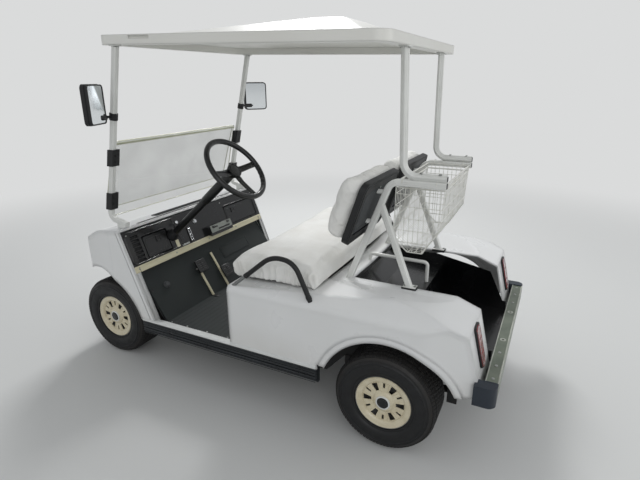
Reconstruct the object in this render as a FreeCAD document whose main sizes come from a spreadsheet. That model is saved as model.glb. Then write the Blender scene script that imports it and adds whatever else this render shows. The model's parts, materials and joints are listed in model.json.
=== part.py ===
import FreeCAD, Part
import math
import os
import re

import Sketcher

V = FreeCAD.Vector
DOC = FreeCAD.newDocument("GolfCart")
SHEET = DOC.addObject("Spreadsheet::Sheet", "Sizes")

# Driving dimensions in millimetres and degrees.
# Stations run forward from the rear axle, heights up from the ground,
# and reaches or half widths out from the middle plane.
# Columns: name, value, what it is.
SIZES = (
    ("wheelbase", 1664, "rear axle to front axle"),
    ("rear_overhang", 440, "rear axle to the back of the bumper"),
    ("front_overhang", 236, "front axle to the front of the bumper"),
    ("running_gap", 0.3, "clearance between pieces that do not touch"),
    ("swing_gap", 6, "clearance round moving pieces"),
    ("overlap", 1, "how far joined pieces run into each other"),
    # Wheels
    ("tyre_radius", 226, "tyre, outside"),
    ("tyre_width", 206, "tyre, across the sidewalls"),
    ("tyre_bulge_radius", 166, "tyre, widest part of the sidewalls, inner radius"),
    ("tyre_shoulder", 18, "tyre, height of the tread shoulder"),
    ("tread_inset", 24, "tread edge in from the sidewall"),
    ("bead_inset", 18, "tyre beads in from the sidewalls"),
    ("rim_radius", 125.7, "rim flanges, outside"),
    ("rim_wall", 4, "rim barrel, disc and cover, thickness"),
    ("rim_width", 176, "rim, across the flanges"),
    ("cover_lip", 6, "rolled edge of the wheel cover, height"),
    ("cover_web", 100, "cover web, outer radius"),
    ("cover_dish", 12, "cover web in from the rim's outer face"),
    ("cover_hub", 40, "raised hub of the cover, radius"),
    ("cap_radius", 24, "centre cap, radius"),
    ("cap_height", 9, "centre cap proud of the cover's hub"),
    ("window_pairs", 6, "pairs of one large and one small window in the cover"),
    ("window_inner", 54, "windows, inner radius"),
    ("window_outer", 92, "windows, outer radius"),
    ("window_foot", 17, "large windows, width at the inner edge"),
    ("window_head", 30, "large windows, width at the outer edge"),
    ("slot_inner", 66, "small windows, inner radius"),
    ("slot_width", 11, "small windows, width"),
    ("rear_track", 988, "rear wheels, centre to centre"),
    ("front_track", 872, "front wheels, centre to centre"),
    ("lug_pitch_radius", 50.8, "wheel bolt circle, radius"),
    ("lug_hole_radius", 6.5, "wheel bolt hole, radius"),
    ("lug_count", 4, "wheel bolt holes"),
    ("disc_bore", 20, "rim disc, centre bore, radius"),
    ("hub_face_reach", 22, "rim disc out from the wheel's middle plane"),
    # Body
    ("body_half", 595, "body sides"),
    ("wall", 6, "moulded body wall"),
    ("sill_top", 309, "top of the sills"),
    ("rocker_low", 232, "lower edge of the rockers"),
    ("rocker_depth", 34, "rockers, across"),
    ("rocker_bevel", 16, "rockers, lower bevel"),
    ("sill_rear", 308, "sills, rear end"),
    ("sill_front", 1356, "sills, front end"),
    ("rib_count", 4, "grooves along each rocker"),
    ("rib_pitch", 14, "rocker grooves, spacing"),
    ("rib_groove", 5, "rocker grooves, height"),
    ("rib_depth", 4, "rocker grooves, depth"),
    ("seat_box_front", 777, "front of the side panel and seat box"),
    ("seat_box_top", 622, "side panel top at its front"),
    ("deck_front", 340, "where the deck starts behind the seat"),
    ("deck_front_top", 648, "side panel top behind the seat"),
    ("deck_crown_top", 676, "top of the rear quarters"),
    ("quarter_shoulder", 612, "height where the rear quarters round over"),
    ("quarter_inset", 90, "crest of the rear quarters in from the body sides"),
    ("quarter_rear", -165, "where the quarters start to fall"),
    ("quarter_rear_top", 658, "top of the quarters there"),
    ("tail_top_reach", -318, "top of the tail face"),
    ("tail_top", 600, "top of the tail face, height"),
    ("tail_low_reach", -384, "bottom of the tail face"),
    ("tail_low", 335, "bottom of the tail face, height"),
    ("tail_inset", 63, "tail corners in from the body sides"),
    ("deck_low", 636, "deck beside the bag well"),
    ("well_half", 272, "bag well opening, half width"),
    ("well_front", 268, "bag well opening, front edge"),
    ("well_floor", 366, "bag well floor"),
    ("well_step", -48, "front wall of the deep part of the well"),
    ("well_shelf", 560, "shallow part of the well over the axle"),
    ("liner_wall", 5, "bag well liner"),
    ("arch_radius", 303, "rear wheel arch"),
    ("lip_width", 26, "rolled lip round the rear arches"),
    ("lip_proud", 6, "rolled lip proud of the body"),
    ("arch_back_shift", -10, "rear arch centre ahead of the axle"),
    ("arch_height", 215, "rear arch centre, height"),
    ("front_arch_radius", 314, "front wheel arch"),
    ("bay_front", 735, "battery bay, front"),
    ("bay_rear", 365, "battery bay, rear"),
    ("bay_half", 470, "battery bay, half width"),
    ("post_foot", 1262, "front post, foot"),
    ("post_head", 1449, "front post, head at the dash top"),
    ("cowl_rear_top", 796, "top of the dash"),
    ("cowl_mid", 1640, "cowl top, middle"),
    ("cowl_mid_top", 772, "cowl top, middle height"),
    ("cowl_brow", 1800, "cowl top, brow"),
    ("cowl_brow_top", 694, "cowl top, brow height"),
    ("nose_top", 596, "nose, top of the front face"),
    ("nose_low", 318, "nose, lower edge"),
    ("nose_inset", 14, "nose behind the front bumper"),
    ("nose_taper", 175, "nose corners in from the body sides"),
    ("apron_half", 290, "apron between the front wheels"),
    ("nose_side_low", 505, "nose lower edge ahead of the wheels"),
    ("flank_front", 1530, "where the cowl sides start to close in"),
    ("brow_taper", 80, "cowl sides in from the body sides at the brow"),
    # Floor and frame
    ("floor_top", 306, "floor panel"),
    ("floor_wall", 5, "floor panel, thickness"),
    ("mat_wall", 4, "floor mat, thickness"),
    ("floor_inset", 39, "floor edges in from the body sides"),
    ("ramp_foot", 1225, "foot of the toe board"),
    ("ramp_head", 1395, "head of the toe board"),
    ("ramp_top", 560, "top of the toe board"),
    ("rail_reach", 178, "frame rails, middle"),
    ("rail_width", 44, "frame rails, across"),
    ("rail_height", 84, "frame rails, height"),
    ("rail_low", 150, "frame rails, lower edge"),
    ("rail_kick", 262, "frame rails, lower edge over the rear axle"),
    ("rail_front", 1800, "frame rails, front end"),
    ("rail_join", 410, "frame rails, where the rear rails join"),
    ("rail_climb", 270, "rear rails, front of the raised part"),
    ("axle_height", 226, "wheel centres"),
    ("cross_width", 50, "cross members, along the vehicle"),
    ("cross_tail", -370, "cross members, at the tail"),
    ("cross_seat", 780, "cross members, below the seat front"),
    ("cross_floor", 1250, "cross members, below the toe board"),
    ("cross_front", 1690, "cross members, ahead of the front axle"),
    ("outrigger_first", 480, "outriggers, rearmost"),
    ("outrigger_pitch", 350, "outriggers, spacing"),
    ("outrigger_width", 40, "outriggers, along the vehicle"),
    # Dash
    ("dash_low", 604, "dash panel, lower edge"),
    ("dash_thick", 34, "dash panel, thickness"),
    ("dash_rail_low", 572, "cream rail, lower edge"),
    ("door_high", 728, "glove doors, upper edge"),
    ("door_low", 622, "glove doors, lower edge"),
    ("door_thick", 10, "glove doors, thickness"),
    ("door_left_inset", 125, "left glove door in from the body side"),
    ("door_left_width", 170, "left glove door, width"),
    ("door_right_inset", 48, "right glove door in from the body side"),
    ("door_right_width", 310, "right glove door, width"),
    ("door_corner", 12, "glove doors, corner radius"),
    ("vent_count", 7, "vent scallops beside the left door"),
    ("vent_pitch", 20, "vent scallops, spacing up the dash"),
    ("vent_radius", 7, "vent scallops, radius"),
    ("vent_width", 50, "vent scallops, across"),
    ("vent_inset", 52, "vent scallops in from the body side"),
    ("tray_inner", 10, "switch box, edge beside the steering column"),
    ("tray_outer", 225, "switch box, far edge"),
    ("tray_low", 606, "switch box, lower edge"),
    ("tray_high", 655, "switch box, upper edge"),
    ("tray_depth", 34, "switch box proud of the dash"),
    ("pocket_depth", 110, "glove pockets behind the doors"),
    # Steering
    ("steer_reach", 264, "steering column off the middle plane"),
    ("steer_hub", 925, "steering wheel hub, station"),
    ("steer_hub_top", 1106, "steering wheel hub, height"),
    ("column_angle", 41.2, "steering column above the floor"),
    ("column_past", 76, "steering column below the dash face"),
    ("column_radius", 19, "steering column"),
    ("column_wall", 9, "steering column tube, wall"),
    ("column_drop", 60, "steering column tube below the wheel's hub"),
    ("wheel_rim_radius", 171, "steering wheel, middle of the rim"),
    ("wheel_rim_thick", 14.5, "steering wheel rim, section radius"),
    ("wheel_hub_radius", 40, "steering wheel hub"),
    ("wheel_dish", 24, "steering wheel hub below the rim"),
    ("spoke_width", 34, "steering wheel spokes"),
    ("spoke_thick", 7, "steering wheel spokes, thickness"),
    ("kingpin_inset", 106, "king pins in from the wheels' middle planes"),
    ("kingpin_radius", 11, "king pins"),
    ("kingpin_low", 150, "king pins, lower end"),
    ("kingpin_high", 318, "king pins, upper end"),
    ("knuckle_width", 46, "knuckle barrel, outside"),
    ("spindle_radius", 12.5, "front spindles"),
    ("arm_length", 110, "steering arms, behind the king pins"),
    ("arm_height", 231, "steering arms, height"),
    ("arm_thick", 10, "steering arms, thickness"),
    ("tie_radius", 7.5, "tie rod"),
    ("tie_pin_radius", 6, "tie rod pins"),
    ("tie_eye_radius", 16, "tie rod eyes"),
    ("tie_inset", 14, "tie rod pins ahead of the arms' ends"),
    ("tie_lift", 4, "tie rod eyes above the arms"),
    ("tie_eye_height", 16, "tie rod eyes, height"),
    ("tie_play", 1, "play of the tie rod's right eye"),
    ("hub_length", 44, "front hubs, length"),
    # Axles
    ("axle_radius", 34, "rear axle tube"),
    ("hub_radius", 30, "wheel hubs"),
    ("hub_flange_radius", 66, "hub flanges"),
    ("hub_flange", 8, "hub flanges, thickness"),
    ("motor_radius", 88, "drive motor"),
    ("motor_length", 240, "drive motor"),
    ("diff_radius", 98, "differential housing"),
    ("spring_half", 260, "rear leaf springs, half length"),
    ("spring_reach", 336, "rear leaf springs, off the middle plane"),
    ("spring_width", 45, "leaf springs, width"),
    ("leaf_thick", 7, "leaf springs, leaf thickness"),
    ("leaf_count", 3, "leaf springs, leaves"),
    ("leaf_step", 70, "leaf springs, each leaf shorter at each end"),
    ("leaf_rise", 26, "leaf springs, ends above the middle"),
    ("leaf_round", 300, "leaf springs, radius at the middle"),
    ("pack_inset", 50, "battery pack in from the sides of its bay"),
    ("pack_lift", 28, "battery pack above the frame rails"),
    ("pack_top", 560, "battery pack, upper face"),
    # Seats
    ("seat_inset", 75, "seat bottom in from the body sides"),
    ("seat_front", 800, "seat bottom, front edge"),
    ("seat_rear", 340, "seat bottom, rear edge"),
    ("seat_base", 648.3, "seat bottom, underside"),
    ("seat_thick", 100, "seat bottom, thickness"),
    ("back_inner", 40, "backrests, inner edge"),
    ("back_inset", 113, "backrests in from the body sides"),
    ("back_low", 860, "backrests, lower edge"),
    ("back_low_reach", 228, "backrest shell, rear face at the lower edge"),
    ("back_length", 285, "backrests, along their slope"),
    ("back_angle", 19, "backrests, lean from upright"),
    ("back_shell", 26, "backrest shells, depth"),
    ("shell_round", 42, "backrest shells, corner radius"),
    ("shell_border", 40, "backrest shells, border round the recess"),
    ("shell_recess", 9, "backrest shells, depth of the recess"),
    ("bracket_low", 68, "lower backrest brackets above the shells' lower edge"),
    ("bracket_high", 208, "upper backrest brackets above the shells' lower edge"),
    ("bracket_radius", 11, "backrest brackets, radius"),
    ("back_cushion", 92, "backrest cushions, depth"),
    # Tubes
    ("frame_tube", 15, "bag rack tubes, radius"),
    ("rack_reach", 280, "bag rack tubes, off the middle plane"),
    ("rack_foot", 290, "bag rack, front foot"),
    ("rack_foot_rear", -6, "bag rack, rear foot"),
    ("rack_top", 1115, "bag rack, top run"),
    ("handle_rear", -135, "rear ends of the handles"),
    ("rack_shoulder", 104, "bag rack, front of the top run"),
    ("strut_tube", 14, "roof struts, radius"),
    ("strut_rear_top", 62, "rear struts at the roof"),
    ("strut_rear_reach", 300, "rear struts, off the middle plane"),
    ("head_half", 24, "plates on the struts, half length"),
    ("head_width", 40, "plates on the struts, across"),
    ("head_thick", 5, "plates on the struts, thickness"),
    ("strut_front_top", 1370, "front struts at the roof"),
    ("strut_front_low", 1568, "front struts, lower bend"),
    ("strut_front_foot", 1452, "front struts, foot"),
    ("strut_inset", 69, "front struts in from the body sides"),
    ("strut_low", 838, "front struts, height of the lower bend"),
    ("hip_tube", 11, "hip rails, radius"),
    ("hip_inset", 23, "hip rails in from the body sides"),
    ("hip_front", 762, "hip rails, front foot"),
    ("hip_rear", 346, "hip rails, rear foot"),
    ("hip_top", 800, "hip rails, top run"),
    # Roof
    ("roof_rear", 46, "roof, rear edge"),
    ("roof_front", 1462, "roof, front edge"),
    ("roof_inset", 42, "roof edges in from the body sides"),
    ("roof_low", 1653, "roof, lower edge at its rear"),
    ("roof_pitch", 1.4, "roof, rise towards the front in degrees"),
    ("roof_fascia", 42, "roof, edge band"),
    ("roof_corner", 60, "roof, corner radius in plan"),
    ("roof_wall", 6, "roof, thickness"),
    ("roof_rim", 60, "rim round the roof's hollow underside"),
    ("crown_rise", 85, "roof crown above the edge band"),
    ("crown_corner", 40, "roof crown, corner radius in plan"),
    ("crown_rear", 110, "foot of the crown in from the roof's rear edge"),
    ("crown_front", 260, "foot of the crown in from the roof's front edge"),
    ("crown_side", 50, "foot of the crown in from the roof's sides"),
    ("peak_rear", 350, "flat top of the crown in from the roof's rear edge"),
    ("peak_length", 170, "flat top of the crown, along the vehicle"),
    ("peak_half", 150, "flat top of the crown, half width"),
    ("grip_station", 1150, "grip slots in the edge band from the roof's rear edge, middle"),
    ("grip_length", 120, "grip slots, length"),
    ("grip_low", 24, "grip slots above the roof's lower edge"),
    ("grip_height", 12, "grip slots, height"),
    ("grip_depth", 8, "grip slots, depth"),
    # Windshield
    ("screen_inset", 90, "windshield panes in from the body sides"),
    ("screen_thick", 5, "windshield panes"),
    ("screen_lift", 40, "windshield above the top of the dash"),
    ("screen_hinge", 1218, "windshield, hinge height"),
    ("screen_ahead", 20, "windshield ahead of the front struts"),
    # Lamps, bumpers, mirrors, basket
    ("bumper_depth", 52, "rear bumper, along the vehicle"),
    ("bumper_low", 332, "rear bumper, lower edge"),
    ("bumper_top", 411, "rear bumper, top"),
    ("bumper_inset", 83, "rear bumper channel in from the body sides"),
    ("bumper_hole_reach", 150, "bumper bolt holes, off the middle plane"),
    ("bumper_hole_radius", 5.5, "bumper bolt holes"),
    ("cap_inset", 29, "rear bumper caps in from the body sides"),
    ("cap_wrap", 86, "rear bumper caps, along the vehicle"),
    ("cap_round", 34, "rear bumper caps, corner radius"),
    ("cap_lap", 4, "rear bumper caps, taller than the channel above and below"),
    ("strip_low", 330, "front bumper, lower edge"),
    ("strip_top", 430, "front bumper, upper edge"),
    ("strip_round", 14, "front bumper, corner radius"),
    ("lamp_inset", 177, "tail lamps, middle, in from the body sides"),
    ("lamp_width", 66, "tail lamps, width"),
    ("lamp_low", 428, "tail lamps, lower edge"),
    ("lamp_top", 592, "tail lamps, upper edge"),
    ("lamp_proud", 12, "tail lamps proud of the tail"),
    ("lamp_round", 16, "lamps, corner radius"),
    ("lens_reach", 300, "head lamps, off the middle plane"),
    ("lens_width", 150, "head lamps, width"),
    ("lens_low", 512, "head lamps, lower edge"),
    ("lens_top", 580, "head lamps, upper edge"),
    ("mirror_station", 1412, "mirrors, station"),
    ("mirror_outer", 730, "mirrors, outermost reach"),
    ("mirror_width", 155, "mirrors, width"),
    ("mirror_height", 182, "mirrors, height"),
    ("mirror_centre", 1425, "mirrors, height of the middle"),
    ("mirror_depth", 18, "mirrors, thickness"),
    ("mirror_turn_left", 25, "left mirror, turned to the driver in degrees"),
    ("mirror_turn_right", 39, "right mirror, turned to the driver in degrees"),
    ("mirror_round", 22, "mirrors, corner radius"),
    ("mirror_arm", 6, "mirror arms, radius"),
    ("basket_front", 84, "basket, front at the rim"),
    ("basket_rear", -128, "basket, rear at the rim"),
    ("basket_rim", 1115, "basket, rim"),
    ("basket_low", 800, "basket, floor"),
    ("basket_wall", 5, "basket wires"),
    ("brake_middle", 164, "brake pedal, off the middle plane"),
    ("brake_height", 464, "brake pedal, height of the pad's middle"),
    ("brake_arm", 178, "brake arm, off the middle plane"),
    ("brake_arm_top", 470, "brake arm, upper end"),
    ("throttle_middle", -4, "accelerator, off the middle plane"),
    ("throttle_height", 384, "accelerator, height of the pad's middle"),
    ("throttle_arm", 28, "accelerator arm, off the middle plane"),
    ("throttle_arm_top", 505, "accelerator arm, upper end"),
    ("arm_width", 14, "pedal arms, across"),
    ("arm_depth", 8, "pedal arms, depth"),
    ("pedal_reach", 34, "pedal pads off the toe board"),
    ("pedal_thick", 12, "pedal pads, thickness"),
    ("pedal_width", 78, "pedal pads, across"),
    ("pedal_tall", 76, "pedal pads, along the toe board"),
)


def fill_sheet():
    """Writes one named cell for each driving dimension."""
    for row, (name, value, note) in enumerate(SIZES, start=1):
        SHEET.set(f"A{row}", name)
        SHEET.set(f"B{row}", str(value))
        SHEET.set(f"C{row}", note)
        SHEET.setAlias(f"B{row}", name)
    DOC.recompute()


fill_sheet()
NAMES = {name for name, _, _ in SIZES}
WORD = re.compile(r"\b[a-z][a-z_]*\b")


def linked(expression):
    """The expression with each size's name led by the sheet's name."""
    return WORD.sub(
        lambda hit: f"Sizes.{hit.group()}" if hit.group() in NAMES else hit.group(),
        str(expression),
    )


def num(expression):
    """The expression's present value."""
    return float(SHEET.evalExpression(str(expression)))


def at(station):
    """Row position of a station measured forward from the rear axle."""
    return f"((rear_overhang - wheelbase - front_overhang) / 2 + {station})"


def bind(thing, path, expression):
    """Ties a property, or a sketch constraint, to the sheet."""
    thing.setExpression(path, linked(expression))


def place(thing, x="0", y="0", z="0", rotation=None):
    """Ties an object's place to the sheet."""
    if rotation is not None:
        thing.Placement = FreeCAD.Placement(V(0, 0, 0), rotation)
    for axis, expression in (("x", x), ("y", y), ("z", z)):
        bind(thing, f"Placement.Base.{axis}", expression)


def box(name, x_span, y_span, z_span):
    """A block between two expressions on each axis."""
    block = DOC.addObject("Part::Box", name)
    for side, (low, high) in zip(("Length", "Width", "Height"), (x_span, y_span, z_span)):
        bind(block, side, f"({high}) - ({low})")
    place(block, x_span[0], y_span[0], z_span[0])
    return block


AXES = {
    "X": FreeCAD.Rotation(V(0, 1, 0), 90),
    "Y": FreeCAD.Rotation(V(1, 0, 0), -90),
    "Z": FreeCAD.Rotation(),
}


def rod(name, axis, centre, radius, low, high):
    """A cylinder along a row axis, between two expressions on that axis."""
    cylinder = DOC.addObject("Part::Cylinder", name)
    bind(cylinder, "Radius", radius)
    bind(cylinder, "Height", f"({high}) - ({low})")
    spot = list(centre)
    spot["XYZ".index(axis)] = low
    place(cylinder, *spot, rotation=AXES[axis])
    return cylinder


def plane_of(body, plane):
    """One of the body's own origin planes."""
    return next(item for item in body.Origin.OriginFeatures if item.Role == f"{plane}_Plane")


def outline(body, plane, corners, offset="0"):
    """A closed sketch through corners given as (across, up) or (across, up, round)."""
    sketch = body.newObject("Sketcher::SketchObject", f"{body.Name}_outline")
    sketch.AttachmentSupport = [(plane_of(body, plane), "")]
    sketch.MapMode = "FlatFace"
    bind(sketch, "AttachmentOffset.Base.z", offset)
    spots = [V(num(corner[0]), num(corner[1]), 0) for corner in corners]
    total = len(corners)
    ends = []
    for index, corner in enumerate(corners):
        spot = spots[index]
        if len(corner) < 3:
            ends.append((spot, spot, None))
            continue
        back = (spots[index - 1] - spot).normalize()
        ahead = (spots[(index + 1) % total] - spot).normalize()
        half = back.getAngle(ahead) / 2
        radius = num(corner[2])
        reach = radius / math.tan(half)
        middle = spot + (back + ahead).normalize() * (radius / math.sin(half) - radius)
        start, finish = spot + back * reach, spot + ahead * reach
        leftward = back.cross(ahead).z < 0
        arc = Part.Arc(start, middle, finish) if leftward else Part.Arc(finish, middle, start)
        ends.append((start, finish, arc))
    lines = []
    for index in range(total):
        start, finish = ends[index][1], ends[(index + 1) % total][0]
        lines.append(sketch.addGeometry(Part.LineSegment(start, finish), False))
    for index, corner in enumerate(corners):
        before, after = lines[index - 1], lines[index]
        start, finish, arc = ends[index]
        if arc is None:
            sketch.addConstraint(Sketcher.Constraint("Coincident", before, 2, after, 1))
            anchor, point = after, 1
        else:
            bend = sketch.addGeometry(arc, False)
            first = sketch.Geometry[bend].StartPoint
            near, far = (1, 2) if first.distanceToPoint(start) < first.distanceToPoint(finish) else (2, 1)
            sketch.addConstraint(Sketcher.Constraint("Tangent", before, 2, bend, near))
            sketch.addConstraint(Sketcher.Constraint("Tangent", after, 1, bend, far))
            size = sketch.addConstraint(Sketcher.Constraint("Radius", bend, num(corner[2])))
            bind(sketch, f"Constraints[{size}]", corner[2])
            anchor, point = sketch.addGeometry(Part.Point(spots[index]), True), 1
            sketch.addConstraint(Sketcher.Constraint("PointOnObject", anchor, 1, before))
            sketch.addConstraint(Sketcher.Constraint("PointOnObject", anchor, 1, after))
        for kind, expression in (("DistanceX", corner[0]), ("DistanceY", corner[1])):
            rule = Sketcher.Constraint(kind, -1, 1, anchor, point, num(expression))
            size = sketch.addConstraint(rule)
            bind(sketch, f"Constraints[{size}]", expression)
    return sketch


def slab(name, plane, corners, low, high):
    """An outline drawn on a plane and padded between two places along its normal."""
    body = DOC.addObject("PartDesign::Body", name)
    start = f"-({high})" if plane == "XZ" else low
    sketch = outline(body, plane, corners, start)
    pad = body.newObject("PartDesign::Pad", f"{name}_pad")
    pad.Profile = sketch
    bind(pad, "Length", f"({high}) - ({low})")
    return body


def turned(name, corners, x, y, z):
    """An outline in (radius, along) turned about an axis parallel to Y."""
    body = DOC.addObject("PartDesign::Body", name)
    sketch = outline(body, "XY", corners)
    spin = body.newObject("PartDesign::Revolution", f"{name}_spin")
    spin.Profile = sketch
    spin.ReferenceAxis = (sketch, ["V_Axis"])
    spin.Angle = 360
    place(body, x, y, z)
    return body


def turned_upright(name, corners):
    """An outline in (radius, height) turned about the vertical axis."""
    body = DOC.addObject("PartDesign::Body", name)
    sketch = outline(body, "XZ", corners)
    spin = body.newObject("PartDesign::Revolution", f"{name}_spin")
    spin.Profile = sketch
    spin.ReferenceAxis = (sketch, ["V_Axis"])
    spin.Angle = 360
    return body


def turn(thing, axis, angle, x, y, z):
    """Turns an object built at the origin about a row axis and ties its place."""
    place(thing, x, y, z, rotation=FreeCAD.Rotation(V(*axis), angle))


STEER_HUB = ("(rear_overhang - wheelbase - front_overhang) / 2 + steer_hub", "steer_reach", "steer_hub_top")


def leaned(thing, x, y, z):
    """Leans an upright object back to the steering column's slope about the hub."""
    turn(thing, (0, 1, 0), -num("90 - column_angle"), x, y, z)


def cut(name, base, *tools):
    """The base less each tool."""
    result = base
    for index, tool in enumerate(tools):
        step = DOC.addObject("Part::Cut", f"{name}_cut{index}")
        step.Base, step.Tool = result, tool
        result = step
    return result


def fuse(name, *pieces):
    """One object from pieces that touch, or one node of pieces that do not."""
    joined = DOC.addObject("Part::MultiFuse", f"{name}_fused")
    joined.Shapes = list(pieces)
    return joined


def common(name, *pieces):
    """What all the pieces share."""
    shared = DOC.addObject("Part::MultiCommon", f"{name}_shared")
    shared.Shapes = list(pieces)
    return shared


def route(points, bend):
    """A path of straight runs joined by tangent arcs through the given corners."""
    spots = [V(*(num(value) for value in point)) for point in points]
    edges, start = [], spots[0]
    for index in range(1, len(spots) - 1):
        spot = spots[index]
        back = (spots[index - 1] - spot).normalize()
        ahead = (spots[index + 1] - spot).normalize()
        half = back.getAngle(ahead) / 2
        reach = bend / math.tan(half)
        middle = spot + (back + ahead).normalize() * (bend / math.sin(half) - bend)
        enter, leave = spot + back * reach, spot + ahead * reach
        edges += [Part.LineSegment(start, enter).toShape(), Part.Arc(enter, middle, leave).toShape()]
        start = leave
    edges.append(Part.LineSegment(start, spots[-1]).toShape())
    return Part.Wire(edges)


def tube(name, points, radius, bend=50):
    """A round bar along a bent route in space."""
    path = route(points, bend)
    tangent = path.Edges[0].tangentAt(path.Edges[0].FirstParameter)
    begin = path.Edges[0].valueAt(path.Edges[0].FirstParameter)
    ring = Part.Wire([Part.Circle(begin, tangent, num(radius)).toShape()])
    bar = DOC.addObject("Part::Feature", name)
    bar.Shape = path.makePipeShell([ring], True, False)
    return bar


NODES = {}


def publish(label, thing):
    """Names the finished sub-part and lists it for the checks and the export."""
    thing.Label = label
    NODES[label] = thing
    return thing


SIDES = (("left", 1), ("right", -1))
AXLE_HEIGHT = "axle_height"
FLOOR_HALF = "(body_half - floor_inset)"
SEAT_HALF = "(body_half - seat_inset)"
BACK_OUTER = "(body_half - back_inset)"
HIP_REACH = "(body_half - hip_inset)"
STRUT_REACH = "(body_half - strut_inset)"
ROOF_HALF = "(body_half - roof_inset)"
SCREEN_HALF = "(body_half - screen_inset)"
BUMPER_HALF = "(body_half - bumper_inset)"
LAMP_REACH = "(body_half - lamp_inset)"
KINGPIN = "(front_track / 2 - kingpin_inset)"
PACK_LOW = "(rail_low + rail_height + pack_lift)"
SCREEN_LOW = "(cowl_rear_top + screen_lift)"
FRONT = at("wheelbase")
REAR = at("0")


# Tyres and rims, each drawn once and set on its four axles
def tyre_master():
    """A tyre's section turned about its axle: flat-sided bands keep it light."""
    half = "tyre_width / 2"
    side = (
        ("rim_radius + running_gap", f"{half} - bead_inset"),
        ("tyre_bulge_radius", half),
        ("tyre_radius - tyre_shoulder", f"{half} - overlap"),
        ("tyre_radius", f"{half} - tread_inset"),
    )
    other = tuple((radius, f"-({along})") for radius, along in reversed(side))
    return turned("tyre_section", side + other, "0", "0", "0")


def cover_master():
    """The wheel cover: a turned dish with a raised hub and cap, windows patterned round it."""
    outer, back = "rim_width / 2", "rim_width / 2 - cover_dish - rim_wall"
    hub, lip = "rim_width / 2 - rim_wall", "rim_radius - rim_wall - 2 * cover_lip"
    body = turned("cover_dish", (
        ("0", back), ("window_outer", back), ("cover_web", f"{outer} - cover_lip - rim_wall"),
        (lip, f"{outer} - rim_wall"), ("rim_radius - rim_wall + overlap", f"{outer} - rim_wall"),
        ("rim_radius - rim_wall + overlap", outer), (lip, outer),
        ("cover_web", f"{outer} - cover_lip"), ("window_outer", f"{outer} - cover_dish"),
        ("window_inner - cover_lip", f"{outer} - cover_dish"), ("cover_hub", hub), ("cap_radius", hub),
        ("cap_radius", f"{hub} + cap_height - 3"), ("cap_radius - 4", f"{hub} + cap_height"),
        ("0", f"{hub} + cap_height"),
    ), "0", "0", "0")
    windows = (
        ("large", (("window_inner", "-window_foot / 2"), ("window_outer", "-window_head / 2"),
                   ("window_outer", "window_head / 2"), ("window_inner", "window_foot / 2"))),
        ("small", (("-slot_width / 2", "slot_inner"), ("slot_width / 2", "slot_inner"),
                   ("slot_width / 2", "window_outer"), ("-slot_width / 2", "window_outer"))),
    )
    pockets = []
    for name, corners in windows:
        pocket = body.newObject("PartDesign::Pocket", f"cover_{name}_window")
        pocket.Profile = outline(body, "XZ", corners)
        pocket.Type = "ThroughAll"
        pocket.Midplane = True
        pockets.append(pocket)
    ring = body.newObject("PartDesign::PolarPattern", "cover_windows")
    ring.Originals = pockets
    ring.Axis = (pockets[0].Profile[0], ["N_Axis"])
    ring.Angle = 360
    bind(ring, "Occurrences", "window_pairs")
    body.Tip = ring
    return body


def disc_master():
    """The rim's steel disc with its centre bore and bolt holes."""
    low, high = "hub_face_reach - rim_wall / 2", "hub_face_reach + rim_wall / 2"
    edge = "rim_radius - rim_wall + overlap"
    body = turned("rim_disc", (("disc_bore", low), (edge, low), (edge, high), ("disc_bore", high)), "0", "0", "0")
    hole = body.newObject("PartDesign::Pocket", "bolt_hole")
    sketch = body.newObject("Sketcher::SketchObject", "bolt_circle")
    sketch.AttachmentSupport = [(plane_of(body, "XZ"), "")]
    sketch.MapMode = "FlatFace"
    spot = sketch.addGeometry(Part.Circle(V(0, num("lug_pitch_radius"), 0), V(0, 0, 1), num("lug_hole_radius")))
    rules = (("Radius", (spot,), "lug_hole_radius"), ("DistanceY", (-1, 1, spot, 3), "lug_pitch_radius"))
    for kind, where, size in rules:
        rule = sketch.addConstraint(Sketcher.Constraint(kind, *where, num(size)))
        bind(sketch, f"Constraints[{rule}]", size)
    sketch.addConstraint(Sketcher.Constraint("PointOnObject", spot, 3, -2))
    hole.Profile = sketch
    hole.Type = "ThroughAll"
    hole.Midplane = True
    ring = body.newObject("PartDesign::PolarPattern", "bolt_holes")
    ring.Originals = [hole]
    ring.Axis = (sketch, ["N_Axis"])
    ring.Angle = 360
    bind(ring, "Occurrences", "lug_count")
    body.Tip = ring
    return body


def rim_master():
    """A thin barrel with its disc, closed outside by the cover."""
    out, wall = "rim_width / 2", "rim_radius - rim_wall"
    barrel = turned("rim_barrel", ((wall, f"-{out}"), ("rim_radius", f"-{out}"), ("rim_radius", out), (wall, out)),
                    "0", "0", "0")
    return fuse("rim_master", barrel, disc_master(), cover_master())


def wheels():
    """Sets a copy of the tyre and rim on each axle, outer faces outwards."""
    masters = (("tyre", tyre_master()), ("rim", rim_master()))
    for end, x, track in (("front", FRONT, "front_track"), ("rear", REAR, "rear_track")):
        for name, sign in SIDES:
            for kind, master in masters:
                copy = DOC.addObject("Part::Compound", f"{kind}_{end}_{name}_set")
                copy.Links = [master]
                angle = 0 if sign > 0 else 180
                turn(copy, (0, 0, 1), angle, x, f"{sign} * {track} / 2", AXLE_HEIGHT)
                publish(f"{kind}_{end}_{name}", copy)


wheels()


# Chassis
def rear_rail_profile():
    """Side view of a rear rail, raised over the axle."""
    top = "rail_low + rail_height"
    rear = at("-(rear_overhang - bumper_depth - running_gap)")
    return (
        (rear, "rail_kick"),
        (at("rail_climb"), "rail_kick"),
        (at("rail_climb + 100"), "rail_low"),
        (at("rail_join + cross_width"), "rail_low"),
        (at("rail_join + cross_width"), top),
        (at("rail_climb + 124"), top),
        (at("rail_climb + 24"), "rail_kick + rail_height"),
        (rear, "rail_kick + rail_height"),
    )


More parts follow.
